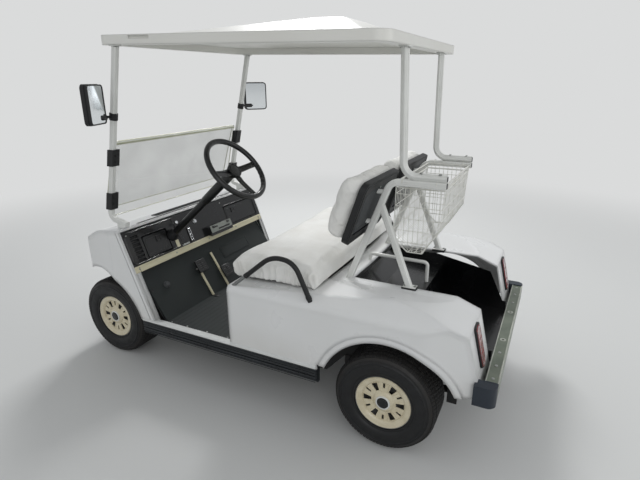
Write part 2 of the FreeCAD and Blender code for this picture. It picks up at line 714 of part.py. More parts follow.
def spring_hangers(name, sign):
    """Plates either side of each end of a rear leaf spring."""
    plates = []
    eye = "axle_height - axle_radius - running_gap - 3 * leaf_thick"
    for index, station in enumerate(("-(spring_half - 12)", "(spring_half - 12)")):
        for face, offset in (("inner", "-(spring_width / 2 + running_gap + 6)"),
                             ("outer", "+ spring_width / 2 + running_gap")):
            low = f"{sign} * spring_reach {offset}"
            plates.append(box(f"hanger_{name}_{index}_{face}", (at(f"{station} - 22"), at(f"{station} + 22")),
                              (low, f"{low} + 6"), (f"{eye} - 10", "rail_kick + 4")))
    return plates


def chassis():
    """Main rails, wider rear rails and their cross members as one welded frame."""
    pieces = []
    top = "rail_low + rail_height"
    for name, sign in SIDES:
        middle = f"{sign} * rail_reach"
        pieces.append(box(f"rail_{name}", (at("rail_join"), at("rail_front")),
                          (f"{middle} - rail_width / 2", f"{middle} + rail_width / 2"), ("rail_low", top)))
        middle = f"{sign} * spring_reach"
        pieces.append(slab(f"rear_rail_{name}", "XZ", rear_rail_profile(),
                           f"{middle} - spring_width / 2 - 2", f"{middle} + spring_width / 2 + 2"))
        pieces += spring_hangers(name, sign)
    spans = (("rail_join", "spring_reach"), ("cross_seat", "rail_reach"), ("cross_floor", "rail_reach"),
             ("cross_front", "rail_reach"))
    for index, (station, reach) in enumerate(spans):
        pieces.append(box(f"cross_{index}", (at(station), at(f"{station} + cross_width")),
                          (f"-{reach}", reach), ("rail_low + 12", f"{top} - 12")))
    pieces.append(box("tail_member", (at("cross_tail"), at("cross_tail + cross_width")), ("-spring_reach", "spring_reach"),
                      ("rail_kick + 12", "rail_kick + rail_height - 12")))
    reach = "body_half - rocker_depth - running_gap"
    floor_low = "floor_top - floor_wall - running_gap"
    for index, high in enumerate((f"{PACK_LOW} - running_gap", floor_low, floor_low)):
        station = f"outrigger_first + {index} * outrigger_pitch"
        pieces.append(box(f"outrigger_{index}", (at(station), at(f"{station} + outrigger_width")),
                          (f"-({reach})", reach), (f"{top} - 4", high)))
    publish("chassis_frame", fuse("chassis_frame", *pieces))


chassis()


# Floor
def sheet_profile(lift, thick):
    """Side view of the floor and toe board as a sheet, raised by a lift."""
    low, high = f"floor_top - floor_wall + {lift}", f"floor_top - floor_wall + {lift} + {thick}"
    back = f"1.2 * {lift}"
    return (
        (at("seat_box_front + running_gap"), low),
        (at(f"ramp_foot - {back}"), low),
        (at(f"ramp_head - {back}"), f"ramp_top"),
        (at(f"ramp_head - {back} - {thick}"), f"ramp_top"),
        (at(f"ramp_foot - {back} - 0.4 * {thick}"), high),
        (at("seat_box_front + running_gap"), high),
    )


publish("floor_panel", slab("floor_sheet", "XZ", sheet_profile("0", "floor_wall"),
                            f"-{FLOOR_HALF}", FLOOR_HALF))
publish("floor_mat", slab("mat_sheet", "XZ", sheet_profile("(floor_wall + running_gap)", "mat_wall"),
                          f"-({FLOOR_HALF} - 4)", f"{FLOOR_HALF} - 4"))


def rocker_section(sign):
    """End view of a rocker: grooves between ribs on its outer face, bevelled below."""
    outer, inner = f"{sign} * body_half", f"{sign} * (body_half - rocker_depth)"
    deep, top = f"{sign} * (body_half - rib_depth)", "sill_top - running_gap"
    corners = [(outer, top), (inner, top), (inner, "rocker_low"),
               (f"{sign} * (body_half - rocker_bevel)", "rocker_low"), (outer, "rocker_low + rocker_bevel")]
    for index in range(int(num("rib_count"))):
        low = f"rocker_low + rocker_bevel + rib_groove + {index} * rib_pitch"
        high = f"{low} + rib_groove"
        corners += [(outer, low), (deep, low), (deep, high), (outer, high)]
    return corners


def rockers():
    """The dark ribbed strips below each sill."""
    strips = [slab(f"rocker_{name}", "YZ", rocker_section(sign), at("sill_rear"), at("sill_front"))
              for name, sign in SIDES]
    publish("rockers", fuse("rockers", *strips))


rockers()


# Rear body
def rear_side(inset, drop):
    """Side view of the rear body, drawn in by an inset, its lower edge dropped."""
    return (
        (at(f"seat_box_front - {inset}"), f"sill_top - {drop}"),
        (at(f"seat_box_front - {inset}"), f"seat_box_top - {inset}"),
        (at("deck_front"), f"deck_front_top - {inset}"),
        (at("0"), f"deck_crown_top - {inset}", "900"),
        (at("quarter_rear"), f"quarter_rear_top - {inset}", "400"),
        (at(f"tail_top_reach + 0.8 * {inset}"), f"tail_top - {inset}"),
        (at(f"tail_low_reach + {inset}"), f"tail_low - {drop}"),
        (at("sill_rear"), f"sill_top - {drop}"),
    )


def rear_plan(inset):
    """Top view of the rear body, drawn in by an inset."""
    near = f"body_half - {inset}"
    tail = f"body_half - tail_inset - {inset}"
    return (
        (at(f"seat_box_front - {inset}"), f"-({near})"),
        (at(f"seat_box_front - {inset}"), near),
        (at("quarter_rear"), near, "200"),
        (at(f"tail_low_reach + {inset}"), tail, "40"),
        (at(f"tail_low_reach + {inset}"), f"-({tail})", "40"),
        (at("quarter_rear"), f"-({near})", "200"),
    )


def rear_section(inset):
    """Back view of the rear body: rounded quarters falling to a lower deck."""
    side, low = f"body_half - {inset}", "0"
    return (
        (f"-({side})", low),
        (f"-({side})", f"quarter_shoulder - {inset}", "40"),
        ("-(body_half - quarter_inset)", f"deck_crown_top - {inset}", "60"),
        ("-(well_half + 60)", f"deck_low + 4 - {inset}"),
        ("0", f"deck_low - 4 - {inset}"),
        ("well_half + 60", f"deck_low + 4 - {inset}"),
        ("body_half - quarter_inset", f"deck_crown_top - {inset}", "60"),
        (side, f"quarter_shoulder - {inset}", "40"),
        (side, low),
    )


def rear_form(name, inset, drop):
    """The rear body's outer or inner form as one solid."""
    width = f"body_half - {inset}"
    return common(
        name,
        slab(f"{name}_side", "XZ", rear_side(inset, drop), f"-({width})", width),
        slab(f"{name}_plan", "XY", rear_plan(inset), "200", "720"),
        slab(f"{name}_back", "YZ", rear_section(inset), at(f"tail_low_reach + {inset}"),
             at(f"seat_box_front - {inset}")),
    )


def rear_body():
    """The hollow rear body with its well, battery bay and wheel arches."""
    centre = (at("arch_back_shift"), "0", "arch_height")
    reach = ("-(body_half + 20)", "body_half + 20")
    lips = common("arch_lips", rear_form("lip_form", "(-lip_proud)", "0"),
                  rod("lip_disc", "Y", centre, "arch_radius + lip_width", *reach))
    outer = fuse("rear_outer", rear_form("rear_shell", "0", "0"), lips)
    inner = rear_form("rear_inner", "wall", "2 * wall")
    well = box("well_opening", (at("tail_low_reach - 20"), at("well_front")),
               ("-well_half", "well_half"), ("200", "760"))
    bay = box("bay_opening", (at("bay_rear"), at("bay_front")), ("-bay_half", "bay_half"),
              ("560", "760"))
    arches = rod("rear_arches", "Y", centre, "arch_radius", *reach)
    belly = box("rear_belly", (at("-500"), at("sill_rear - 2")), ("-(body_half + 20)", "body_half + 20"),
                ("0", "tail_low"))
    slots = []
    for name, sign in SIDES:
        middle, half = f"{sign} * spring_reach", "(spring_width / 2 + 2 + swing_gap)"
        slots.append(box(f"rail_slot_{name}", (at("-420"), at("-330")), (f"{middle} - {half}", f"{middle} + {half}"),
                         ("rail_kick - 20", "rail_kick + rail_height + swing_gap")))
    publish("rear_body", cut("rear_body", outer, inner, well, bay, arches, belly, *slots))


rear_body()
BODY_SKIN = rear_form("body_skin", "(-running_gap)", "running_gap")


def liner_side(inset):
    """Side view of the space inside the bag well, or of the tub round it."""
    return (
        (at("tail_low_reach + 2"), f"well_floor - {inset}"),
        (at(f"well_step + {inset}"), f"well_floor - {inset}"),
        (at(f"well_step + {inset} + 14"), f"well_shelf - {inset}"),
        (at("160"), f"well_shelf + 12 - {inset}"),
        (at("well_front - 6"), f"deck_low - 22 - {inset}" ),
        (at("well_front - 6"), "deck_low - 14"),
        (at("0"), "deck_low - 14"),
        (at("-286"), "566"),
        (at("tail_low_reach + 22"), "412"),
        (at("tail_low_reach + 2"), "412"),
    )


def well_liner():
    """A thin tub: deep floor at the back, shallow shelf over the axle."""
    half = "well_half - running_gap"
    outer = slab("liner_outer", "XZ", liner_side("liner_wall"), f"-({half})", half)
    inner_half = "well_half - running_gap - liner_wall"
    inner = slab("liner_inner", "XZ", liner_side("0"), f"-({inner_half})", inner_half)
    mouth = box("liner_mouth", (at("-420"), at("tail_low_reach + 3")), (f"-({inner_half})", inner_half),
                ("well_floor", "500"))
    publish("well_liner", cut("well_liner", outer, inner, mouth))


well_liner()


# Front cowl
def cowl_side(inset, back):
    """Side view of the front cowl, drawn in by an inset, its rear face moved back."""
    return (
        (at(f"post_foot - {back}"), f"sill_top - 2 * {inset}"),
        (at(f"post_head - {back}"), f"cowl_rear_top - {inset}"),
        (at("cowl_mid"), f"cowl_mid_top - {inset}", "500"),
        (at("cowl_brow"), f"cowl_brow_top - {inset}", "120"),
        (at(f"wheelbase + front_overhang - nose_inset - {inset}"), f"nose_top - {inset}", "50"),
        (at(f"wheelbase + front_overhang - nose_inset - {inset}"), f"nose_low - 2 * {inset}"),
    )


def cowl_form(name, inset, back):
    """The cowl's outer or inner form as one solid."""
    width = f"body_half - {inset}"
    solid = slab(f"{name}_side", "XZ", cowl_side(inset, back), f"-({width})", width)
    tapers = []
    for side, sign in SIDES:
        outer = "body_half"
        tip = "wheelbase + front_overhang"
        tapers.append(slab(
            f"{name}_taper_{side}", "XY",
            (
                (at("flank_front"), f"{sign} * ({outer} - {inset})"),
                (at("cowl_brow"), f"{sign} * (body_half - brow_taper - {inset})"),
                (at(f"{tip} - nose_inset"), f"{sign} * (body_half - nose_taper - {inset})"),
                (at(f"{tip} + 20"), f"{sign} * (body_half - nose_taper - {inset})"),
                (at(f"{tip} + 20"), f"{sign} * ({outer} + 40)"),
                (at("flank_front"), f"{sign} * ({outer} + 40)"),
            ),
            "200", "900",
        ))
    return cut(name, solid, *tapers)


def front_cowl():
    """The hollow front cowl with its wheel arches and open back."""
    outer = cowl_form("cowl_outer", "0", "0")
    inner = cowl_form("cowl_inner", "wall", "40")
    cutters = []
    for side, sign in SIDES:
        span = ("apron_half", "body_half + 30") if sign > 0 else ("-(body_half + 30)", "-apron_half")
        cutters.append(rod(f"cowl_arch_{side}", "Y", (FRONT, "0", "tyre_radius"), "front_arch_radius", *span))
        cutters.append(box(f"cowl_under_{side}", (FRONT, at("wheelbase + front_overhang + 30")), span,
                           ("100", "nose_side_low")))
    publish("front_cowl", cut("front_cowl", outer, inner, *cutters))


front_cowl()


# Dash
LEAN = "((post_head - post_foot) / (cowl_rear_top - sill_top))"


def face(height, ahead="0"):
    """Row position of the dash face at a height, moved ahead by a distance."""
    return at(f"post_foot + ({height} - sill_top) * {LEAN} + {ahead}")


def leaning(name, low, high, near, far, span):
    """A slab parallel to the dash face between two heights and two depths behind it."""
    corners = (
        (face(low, near), low), (face(high, near), high),
        (face(high, far), high), (face(low, far), low),
    )
    return slab(name, "XZ", corners, *span)


DOORS = (
    ("left", "(body_half - door_left_inset - door_left_width)", "(body_half - door_left_inset)"),
    ("right", "-(body_half - door_right_inset)", "-(body_half - door_right_inset - door_right_width)"),
)
COLUMN = ("((post_foot + (steer_hub_top - sill_top) * " + LEAN + " - steer_hub)"
          " / (cos(column_angle * 1 deg) + sin(column_angle * 1 deg) * " + LEAN + ") + column_past)")


def dash():
    """The dash panel with its glove pockets, the cream rail below and the two doors."""
    half = "body_half - wall - 1"
    top = "cowl_rear_top - wall - 8"
    panel = leaning("dash_slab", "dash_low", top, "0", "dash_thick", (f"-({half})", half))
    pockets, tubs = [], []
    for name, inner, outer in DOORS:
        pockets.append(leaning(f"pocket_{name}", "door_low - swing_gap", "door_high + swing_gap", "-5",
                               "pocket_depth", (f"{inner} - swing_gap", f"{outer} + swing_gap")))
        tubs.append(leaning(f"tub_{name}", "door_low - swing_gap - 4", "door_high + swing_gap + 4",
                            "dash_thick - 1", "pocket_depth + 4",
                            (f"{inner} - swing_gap - 4", f"{outer} + swing_gap + 4")))
    hole = turned_upright("column_hole", (
        ("0", f"-({COLUMN} + pocket_depth)"), ("column_radius + running_gap", f"-({COLUMN} + pocket_depth)"),
        ("column_radius + running_gap", "0"), ("0", "0")))
    leaned(hole, *STEER_HUB)
    vents = []
    for index in range(int(num("vent_count"))):
        height = f"(dash_low + vent_pitch + {index} * vent_pitch)"
        vents.append(rod(f"vent_{index}", "Y", (face(height), "0", height), "vent_radius",
                         "body_half - vent_inset - vent_width", "body_half - vent_inset"))
    tray = leaning("switch_tray", "tray_low", "tray_high", "-tray_depth", "overlap", ("-tray_outer", "-tray_inner"))
    core = fuse("dash_core", panel, *tubs, tray)
    publish("dash_panel", cut("dash_panel", core, *pockets, *vents, hole))
    publish("dash_rail", leaning("rail_slab", "dash_rail_low", "dash_low - running_gap", "0",
                                 "dash_thick", (f"-({half})", half)))
    for name, inner, outer in DOORS:
        plate = leaning(f"door_{name}", "door_low", "door_high", "0", "door_thick", (inner, outer))
        front = slab(f"door_front_{name}", "YZ", (
            (inner, "door_low"), (outer, "door_low"),
            (outer, "door_high", "door_corner"), (inner, "door_high", "door_corner"),
        ), at("post_foot"), at("post_head + pocket_depth"))
        leaf = common(f"door_leaf_{name}", plate, front)
        barrel = rod(f"door_barrel_{name}", "Y", (face("door_low", "door_thick / 2"), "0", "door_low"),
                     "swing_gap - running_gap", inner, outer)
        publish(f"glove_door_{name}", fuse(f"glove_door_{name}", leaf, barrel))


dash()


# Rear axle, springs, motor
def rear_axle():
    """Axle tube, differential housing, motor and hub flanges as one cast unit."""
    centre = (REAR, "0", AXLE_HEIGHT)
    face_in = "rear_track / 2 + hub_face_reach - rim_wall / 2 - running_gap"
    pieces = [
        rod("axle_tube", "Y", centre, "axle_radius", f"-({face_in} - hub_flange)", f"{face_in} - hub_flange"),
        rod("differential", "Y", centre, "diff_radius", "-70", "60"),
        rod("drive_motor", "Y", (at("-diff_radius / 3"), "0", f"{AXLE_HEIGHT} + 10"), "motor_radius",
            "59", "59 + motor_length"),
    ]
    for name, sign in SIDES:
        low, high = f"{face_in} - hub_flange - 1", face_in
        span = (low, high) if sign > 0 else (f"-({high})", f"-({low})")
        pieces.append(rod(f"axle_flange_{name}", "Y", centre, "hub_flange_radius", *span))
    publish("rear_axle", fuse("rear_axle", *pieces))


def spring_section():
    """Side view of a leaf pack: rising ends, each leaf shorter than the one above."""
    rise = "(leaf_rise / spring_half)"
    middle = f"(axle_height - axle_radius - running_gap - leaf_round * (sqrt(1 + {rise} ^ 2) - 1))"
    count = int(num("leaf_count"))
    half = []
    for index in range(count):
        reach = f"(spring_half - {index} * leaf_step)"
        for level in (index, index + 1):
            half.append((reach, f"{middle} + {reach} * {rise} - {level} * leaf_thick"))
    ahead = [(at(reach), height) for reach, height in half]
    behind = [(at(f"-{reach}"), height) for reach, height in reversed(half)]
    low = (at("0"), f"{middle} - {count} * leaf_thick", "leaf_round")
    return ((at("0"), middle, "leaf_round"), *ahead, low, *behind)


def rear_springs():
    """A leaf pack each side under the axle tube, its ends between the frame hangers."""
    packs = [slab(f"leaves_{name}", "XZ", spring_section(), f"{sign} * spring_reach - spring_width / 2",
                  f"{sign} * spring_reach + spring_width / 2") for name, sign in SIDES]
    publish("rear_springs", fuse("rear_springs", *packs))


rear_axle()
rear_springs()
publish("battery_pack", box("pack_block", (at("bay_rear + 10"), at("bay_front - 10")),
                            ("-(bay_half - pack_inset)", "bay_half - pack_inset"), (PACK_LOW, "pack_top")))


# Front suspension and steering
def front_spring():
    """The transverse beam and leaf pack that carry both king pins."""
    reach = KINGPIN
    beam = box("front_beam", (at("wheelbase - 26"), at("wheelbase + 26")),
               (f"-({reach} - 20)", f"{reach} - 20"), ("rail_low - 26", "rail_low - running_gap"))
    ears, pins = [], []
    for name, sign in SIDES:
        middle = f"{sign} * {KINGPIN}"
        for level, low in (("low", "kingpin_low - 20"), ("high", "kingpin_high")):
            ears.append(rod(f"ear_{level}_{name}", "Z", (FRONT, middle, "0"), "knuckle_width / 2 + 4",
                            low, f"{low} + 16"))
        pins.append(rod(f"kingpin_{name}", "Z", (FRONT, middle, "0"), "kingpin_radius",
                        "kingpin_low - 18", "kingpin_high + 14"))
        inner, outer = f"{KINGPIN} - 66", f"{KINGPIN} - knuckle_width / 2 - 8"
        span = (inner, outer) if sign > 0 else (f"-({outer})", f"-({inner})")
        ears.append(box(f"upright_{name}", (at("wheelbase - 26"), at("wheelbase + 26")), span,
                        ("kingpin_low - 20", "kingpin_high + 16")))
        ears.append(box(f"arm_high_{name}", (at("wheelbase - 18"), at("wheelbase + 18")),
                        (inner, KINGPIN) if sign > 0 else (f"-{KINGPIN}", f"-({inner})"),
                        ("kingpin_high", "kingpin_high + 16")))
        ears.append(box(f"arm_low_{name}", (at("wheelbase - 18"), at("wheelbase + 18")),
                        (inner, KINGPIN) if sign > 0 else (f"-{KINGPIN}", f"-({inner})"),
                        ("kingpin_low - 20", "kingpin_low - 4")))
    publish("front_axle", fuse("front_axle", beam, *ears, *pins))


def knuckle(name, sign):
    """A barrel on the king pin with its spindle, hub flange and steering arm."""
    middle = f"{sign} * {KINGPIN}"
    low, high = "kingpin_low + 1", "kingpin_high - 1"
    barrel = rod(f"barrel_{name}", "Z", (FRONT, middle, "0"), "knuckle_width / 2", low, high)
    face_in = "front_track / 2 + hub_face_reach - rim_wall / 2 - running_gap"
    span = (KINGPIN, face_in) if sign > 0 else (f"-({face_in})", f"-{KINGPIN}")
    spindle = rod(f"spindle_{name}", "Y", (FRONT, "0", AXLE_HEIGHT), "spindle_radius", *span)
    reach = (f"{face_in} - hub_length", face_in) if sign > 0 else (f"-({face_in})", f"-({face_in} - hub_length)")
    hub = rod(f"front_hub_{name}", "Y", (FRONT, "0", AXLE_HEIGHT), "hub_radius", *reach)
    arm = box(f"steer_arm_{name}", (at("wheelbase - arm_length"), FRONT),
              (f"{middle} - 12", f"{middle} + 12"), ("arm_height - arm_thick / 2", "arm_height + arm_thick / 2"))
    bore = rod(f"barrel_bore_{name}", "Z", (FRONT, middle, "0"), "kingpin_radius + 0.05", "0", "500")
    pin = rod(f"tie_pin_{name}", "Z", (at("wheelbase - arm_length + tie_inset"), middle, "0"), "tie_pin_radius",
              "arm_height", "arm_height + arm_thick / 2 + 2 * tie_lift + tie_eye_height")
    core = fuse(f"knuckle_core_{name}", barrel, spindle, hub, arm)
    publish(f"knuckle_{name}", fuse(f"knuckle_{name}", cut(f"knuckle_{name}", core, bore), pin))


def tie_rod():
    """The rod between the two steering arms, with an eye on each pin."""
    x = at("wheelbase - arm_length + tie_inset")
    low = "arm_height + arm_thick / 2 + tie_lift"
    eyes, bores = [], []
    for name, sign in SIDES:
        middle = f"{sign} * {KINGPIN}"
        eyes.append(rod(f"tie_eye_{name}", "Z", (x, middle, "0"), "tie_eye_radius", low, f"{low} + tie_eye_height"))
        play = "0.05" if sign > 0 else "tie_play"
        bores.append(rod(f"tie_bore_{name}", "Z", (x, middle, "0"), f"tie_pin_radius + {play}", "0", "500"))
    bar = rod("tie_bar", "Y", (x, "0", f"{low} + tie_eye_height / 2"), "tie_radius", f"-{KINGPIN}", KINGPIN)
    publish("tie_rod", cut("tie_rod", fuse("tie_rod", bar, *eyes), *bores))


front_spring()
for name, sign in SIDES:
    knuckle(name, sign)
tie_rod()


# Steering column and wheel, built upright and leaned back
def steering():
    """The fixed column tube and the wheel that turns on its shaft."""
    bore, shaft = "(column_radius - column_wall)", "(column_radius - column_wall - running_gap)"
    sleeve = turned_upright("column_tube", (
        (bore, f"-{COLUMN}"), ("column_radius", f"-{COLUMN}"),
        ("column_radius", "-column_drop"), (bore, "-column_drop")))
    leaned(sleeve, *STEER_HUB)
    publish("steering_column", sleeve)
    rim = DOC.addObject("Part::Torus", "steer_rim")
    bind(rim, "Radius1", "wheel_rim_radius")
    bind(rim, "Radius2", "wheel_rim_thick")
    core = turned_upright("steer_core", (
        ("0", f"-{COLUMN} + column_radius"), (shaft, f"-{COLUMN} + column_radius"),
        (shaft, "-column_drop + overlap"), ("wheel_hub_radius / 2", "-column_drop + overlap"),
        ("wheel_hub_radius", "-(wheel_dish + spoke_thick)"), ("wheel_hub_radius", "-(wheel_dish - spoke_thick)", "4"),
        ("0", "-(wheel_dish - spoke_thick)")))
    spokes = []
    for index, angle in enumerate((90, 180, 270)):
        drop = ("wheel_hub_radius - spoke_thick", "wheel_rim_radius")
        spoke = slab(f"spoke_{index}", "XZ", (
            (drop[0], "-wheel_dish - spoke_thick / 2"), (drop[1], "-spoke_thick / 2"),
            (drop[1], "spoke_thick / 2"), (drop[0], "-wheel_dish + spoke_thick / 2"),
        ), "-spoke_width / 2", "spoke_width / 2")
        spoke.Placement = FreeCAD.Placement(V(0, 0, 0), FreeCAD.Rotation(V(0, 0, 1), angle))
        spokes.append(spoke)
    wheel = fuse("steering_wheel", rim, core, *spokes)
    leaned(wheel, *STEER_HUB)
    publish("steering_wheel", wheel)


steering()


# Pedals
def board(height, ahead):
    """Row position of the toe board's mat at a height, moved ahead by a distance."""
    back, low = "1.2 * (floor_wall + running_gap)", "(floor_top + mat_wall + running_gap)"
    foot, head = f"(ramp_foot - {back} - 0.4 * mat_wall)", f"(ramp_head - {back} - mat_wall)"
    return at(f"{foot} + ({height} - {low}) * ({head} - {foot}) / (ramp_top - {low}) + {ahead}")


def pedals():
    """Brake and accelerator pads parallel to the toe board, on arms that rise from the floor."""
    pieces = []
    near, far = "-pedal_reach + pedal_thick - overlap", "-pedal_reach + pedal_thick + arm_depth"
    foot = "(floor_top + mat_wall + 2 * running_gap)"
    for name in ("brake", "throttle"):
        middle, height = f"{name}_middle", f"{name}_height"
        low, high = f"({height} - pedal_tall / 2)", f"({height} + pedal_tall / 2)"
        plate = slab(f"{name}_plate", "XZ", (
            (board(low, "-pedal_reach"), low), (board(high, "-pedal_reach"), high),
            (board(high, "-pedal_reach + pedal_thick"), high), (board(low, "-pedal_reach + pedal_thick"), low),
        ), f"{middle} - pedal_width / 2", f"{middle} + pedal_width / 2")
        front = slab(f"{name}_front", "YZ", tuple(
            (f"{middle} {side} pedal_width / 2", end, "pedal_thick")
            for side, end in (("-", low), ("+", low), ("+", high), ("-", high))
        ), at("post_foot - 200"), at("post_head"))
        pieces.append(common(f"{name}_pad", plate, front))
        top = f"{name}_arm_top"
        pieces.append(slab(f"{name}_arm_bar", "XZ", (
            (board(foot, near), foot), (board(top, near), top), (board(top, far), top), (board(foot, far), foot),
        ), f"{name}_arm - arm_width / 2", f"{name}_arm + arm_width / 2"))
    publish("pedals", fuse("pedals", *pieces))


pedals()


# Seats
def back_outline(span, inset, radius):
    """A round-cornered backrest seen from behind, drawn in by an inset."""
    low, high = f"{span[0]} + {inset}", f"{span[1]} - {inset}"
    foot, head = inset, f"back_length - {inset}"
    return tuple((across, up, radius) for across, up in ((low, foot), (high, foot), (high, head), (low, head)))


def seats():
    """The seat bottom, two backrest shells and their cushions."""
    publish("seat_bottom", slab("seat_block", "XZ", (
        (at("seat_rear"), "seat_base"),
        (at("seat_front"), "seat_base - 8", "12"),
        (at("seat_front"), "seat_base + seat_thick - 12", "40"),
        (at("seat_rear + 110"), "seat_base + seat_thick"),
        (at("seat_rear"), "seat_base + seat_thick - 10", "25"),
    ), f"-{SEAT_HALF}", SEAT_HALF))
    shells, pads = [], []
    lean = -num("back_angle")
    for name, sign in SIDES:
        span = ("back_inner", BACK_OUTER) if sign > 0 else (f"-{BACK_OUTER}", "-back_inner")
        plate = slab(f"back_plate_{name}", "YZ", back_outline(span, "0", "shell_round"), "0", "back_shell")
        recess = slab(f"back_recess_{name}", "YZ", back_outline(span, "shell_border", "shell_round / 2"),
                      "-overlap", "shell_recess")
        side = slab(f"back_side_{name}", "XZ", (
            ("back_shell + running_gap", "0"),
            ("back_shell + back_cushion", "0", "30"),
            ("back_shell + back_cushion", "back_length", "40"),
            ("back_shell + running_gap", "back_length"),
        ), *span)
        front = slab(f"back_front_{name}", "YZ", back_outline(span, "0", "shell_round"), "0",
                     "back_shell + 2 * back_cushion")
        shells.append(cut(f"back_shell_{name}", plate, recess))
        pads.append(common(f"back_pad_{name}", side, front))
        for item in (shells[-1], pads[-1]):
            turn(item, (0, 1, 0), lean, at("back_low_reach"), "0", "back_low")
    publish("backrest_shells", fuse("backrest_shells", *shells))
    publish("backrests", fuse("backrests", *pads))


seats()


# Tubes
def under(station, drop="0"):
    """Height of the roof's pitched underside at a station, less a drop."""
    return f"(roof_low + ({station} - roof_rear) * tan(roof_pitch * 1 deg) - {drop})"


STRUT_TOP = under("strut_front_top", "head_thick")


def head(name, station, middle):
    """The plate at the top of a strut, tilted to the roof's underside."""
    rear, front = f"({station} - head_half)", f"({station} + head_half)"
    low = "(head_thick + running_gap)"
    corners = ((at(rear), under(rear, low)), (at(front), under(front, low)),
               (at(front), under(front, "running_gap")), (at(rear), under(rear, "running_gap")))
    return slab(name, "XZ", corners, f"{middle} - head_width / 2", f"{middle} + head_width / 2")


def rack_frame():
    """Two inverted V tubes with rearward handles, backrest brackets, feet and the bag bar."""
    bars, stubs = [], []
    slope = "((rack_shoulder - rack_foot) / (rack_top - deck_front_top))"
    for name, sign in SIDES:
        y = f"{sign} * rack_reach"
        bars.append(tube(f"rack_main_{name}", (
            (at("handle_rear"), y, "rack_top"),
            (at("rack_shoulder"), y, "rack_top"),
            (at("rack_foot"), y, "deck_front_top - 20"),
        ), "frame_tube", 55))
        bars.append(tube(f"rack_leg_{name}", (
            (at("rack_shoulder + 40"), y, "rack_top - 106"),
            (at("rack_foot_rear"), y, "deck_low"),
        ), "frame_tube"))
        bars.append(box(f"rack_pad_{name}", (at("rack_foot_rear - 34"), at("rack_foot_rear + 34")),
                        (f"{y} - 24", f"{y} + 24"), ("deck_low - 10", "deck_low + 10")))
        for index, height in enumerate(("(back_low + bracket_low)", "(back_low + bracket_high)")):
            start = at(f"rack_foot + ({height} - deck_front_top) * {slope}")
            stubs.append(rod(f"back_bracket_{name}_{index}", "X", ("0", y, height), "bracket_radius",
                             start, f"{start} + back_cushion"))
    near, far = "shell_recess - running_gap", "back_shell + back_cushion"
    trim = slab("bracket_trim", "XZ", ((near, "-back_cushion"), (far, "-back_cushion"), (far, "back_length"),
                                       (near, "back_length")), "-body_half", "body_half")
    turn(trim, (0, 1, 0), -num("back_angle"), at("back_low_reach"), "0", "back_low")
    brackets = cut("back_brackets", fuse("back_brackets", *stubs), trim)
    bars.append(tube("bag_bar", (
        (at("well_front + 22"), "0", "deck_low - 20"), (at("well_front + 22"), "0", "deck_low + 30"),
        (at("well_step + 34"), "0", "deck_low + 28"), (at("well_step + 34"), "0", "well_shelf + running_gap + 2"),
    ), "9", 20))
    publish("rack_frame", cut("rack_frame", fuse("rack_frame", *bars, brackets), BODY_SKIN))


def hip_rails():
    """A bent rail beside each end of the seat."""
    bars = []
    for name, sign in SIDES:
        y = f"{sign} * {HIP_REACH}"
        bars.append(tube(f"hip_{name}", (
            (at("hip_front"), y, "seat_box_top - 10"),
            (at("hip_rear + 190"), y, "hip_top"),
            (at("hip_rear + 78"), y, "hip_top - 8"),
            (at("hip_rear"), y, "deck_front_top - 30"),
        ), "hip_tube", 40))
    publish("hip_rails", cut("hip_rails", fuse("hip_rails", *bars), BODY_SKIN))


def struts():
    """The front and rear roof struts."""
    fronts, rears = [], []
    for name, sign in SIDES:
        y = f"{sign} * {STRUT_REACH}"
        fronts.append(tube(f"strut_front_{name}", (
            (at("strut_front_top"), y, STRUT_TOP),
            (at("strut_front_low"), y, "strut_low"),
            (at("strut_front_foot"), y, "cowl_rear_top + strut_tube + 2"),
        ), "strut_tube", 40))
        fronts.append(head(f"strut_head_{name}", "strut_front_top", y))
        fall = "((cowl_rear_top - cowl_mid_top) / (cowl_mid - post_head))"
        low = [f"cowl_rear_top - ({station} - post_head) * {fall} + running_gap"
               for station in ("(strut_front_foot + 4)", "(strut_front_foot + 60)")]
        fronts.append(slab(f"strut_foot_{name}", "XZ", (
            (at("strut_front_foot + 4"), low[0]), (at("strut_front_foot + 60"), low[1]),
            (at("strut_front_foot + 60"), "cowl_rear_top + strut_tube + 8"),
            (at("strut_front_foot + 4"), "cowl_rear_top + strut_tube"),
        ), f"{y} - 16", f"{y} + 16"))
        rears.append(tube(f"strut_rear_{name}", (
            (at("strut_rear_top"), f"{sign} * strut_rear_reach", under("strut_rear_top", "head_thick")),
            (at("strut_rear_top - 12"), f"{sign} * rack_reach", "rack_top + frame_tube + strut_tube + running_gap"),
            (at("handle_rear"), f"{sign} * rack_reach", "rack_top + frame_tube + strut_tube + running_gap"),
        ), "strut_tube", 55))
        rears.append(head(f"strut_cap_{name}", "strut_rear_top", f"{sign} * strut_rear_reach"))
    publish("front_struts", fuse("front_struts", *fronts))
    publish("rear_struts", fuse("rear_struts", *rears))


rack_frame()
hip_rails()
struts()


# Roof
def plan(front, rear, half, radius):
    """A round-cornered rectangle in the roof's own place, its rear edge at zero."""
    return tuple((along, across, radius) for along, across in (
        (rear, f"-({half})"), (front, f"-({half})"), (front, half), (rear, half)))


def roof_plate(name, inset, low, high):
    """A plate of the roof's plan drawn in by an inset."""
    edge = plan(f"roof_front - roof_rear - {inset}", inset, f"{ROOF_HALF} - {inset}", "roof_corner")
    return slab(name, "XY", edge, low, high)


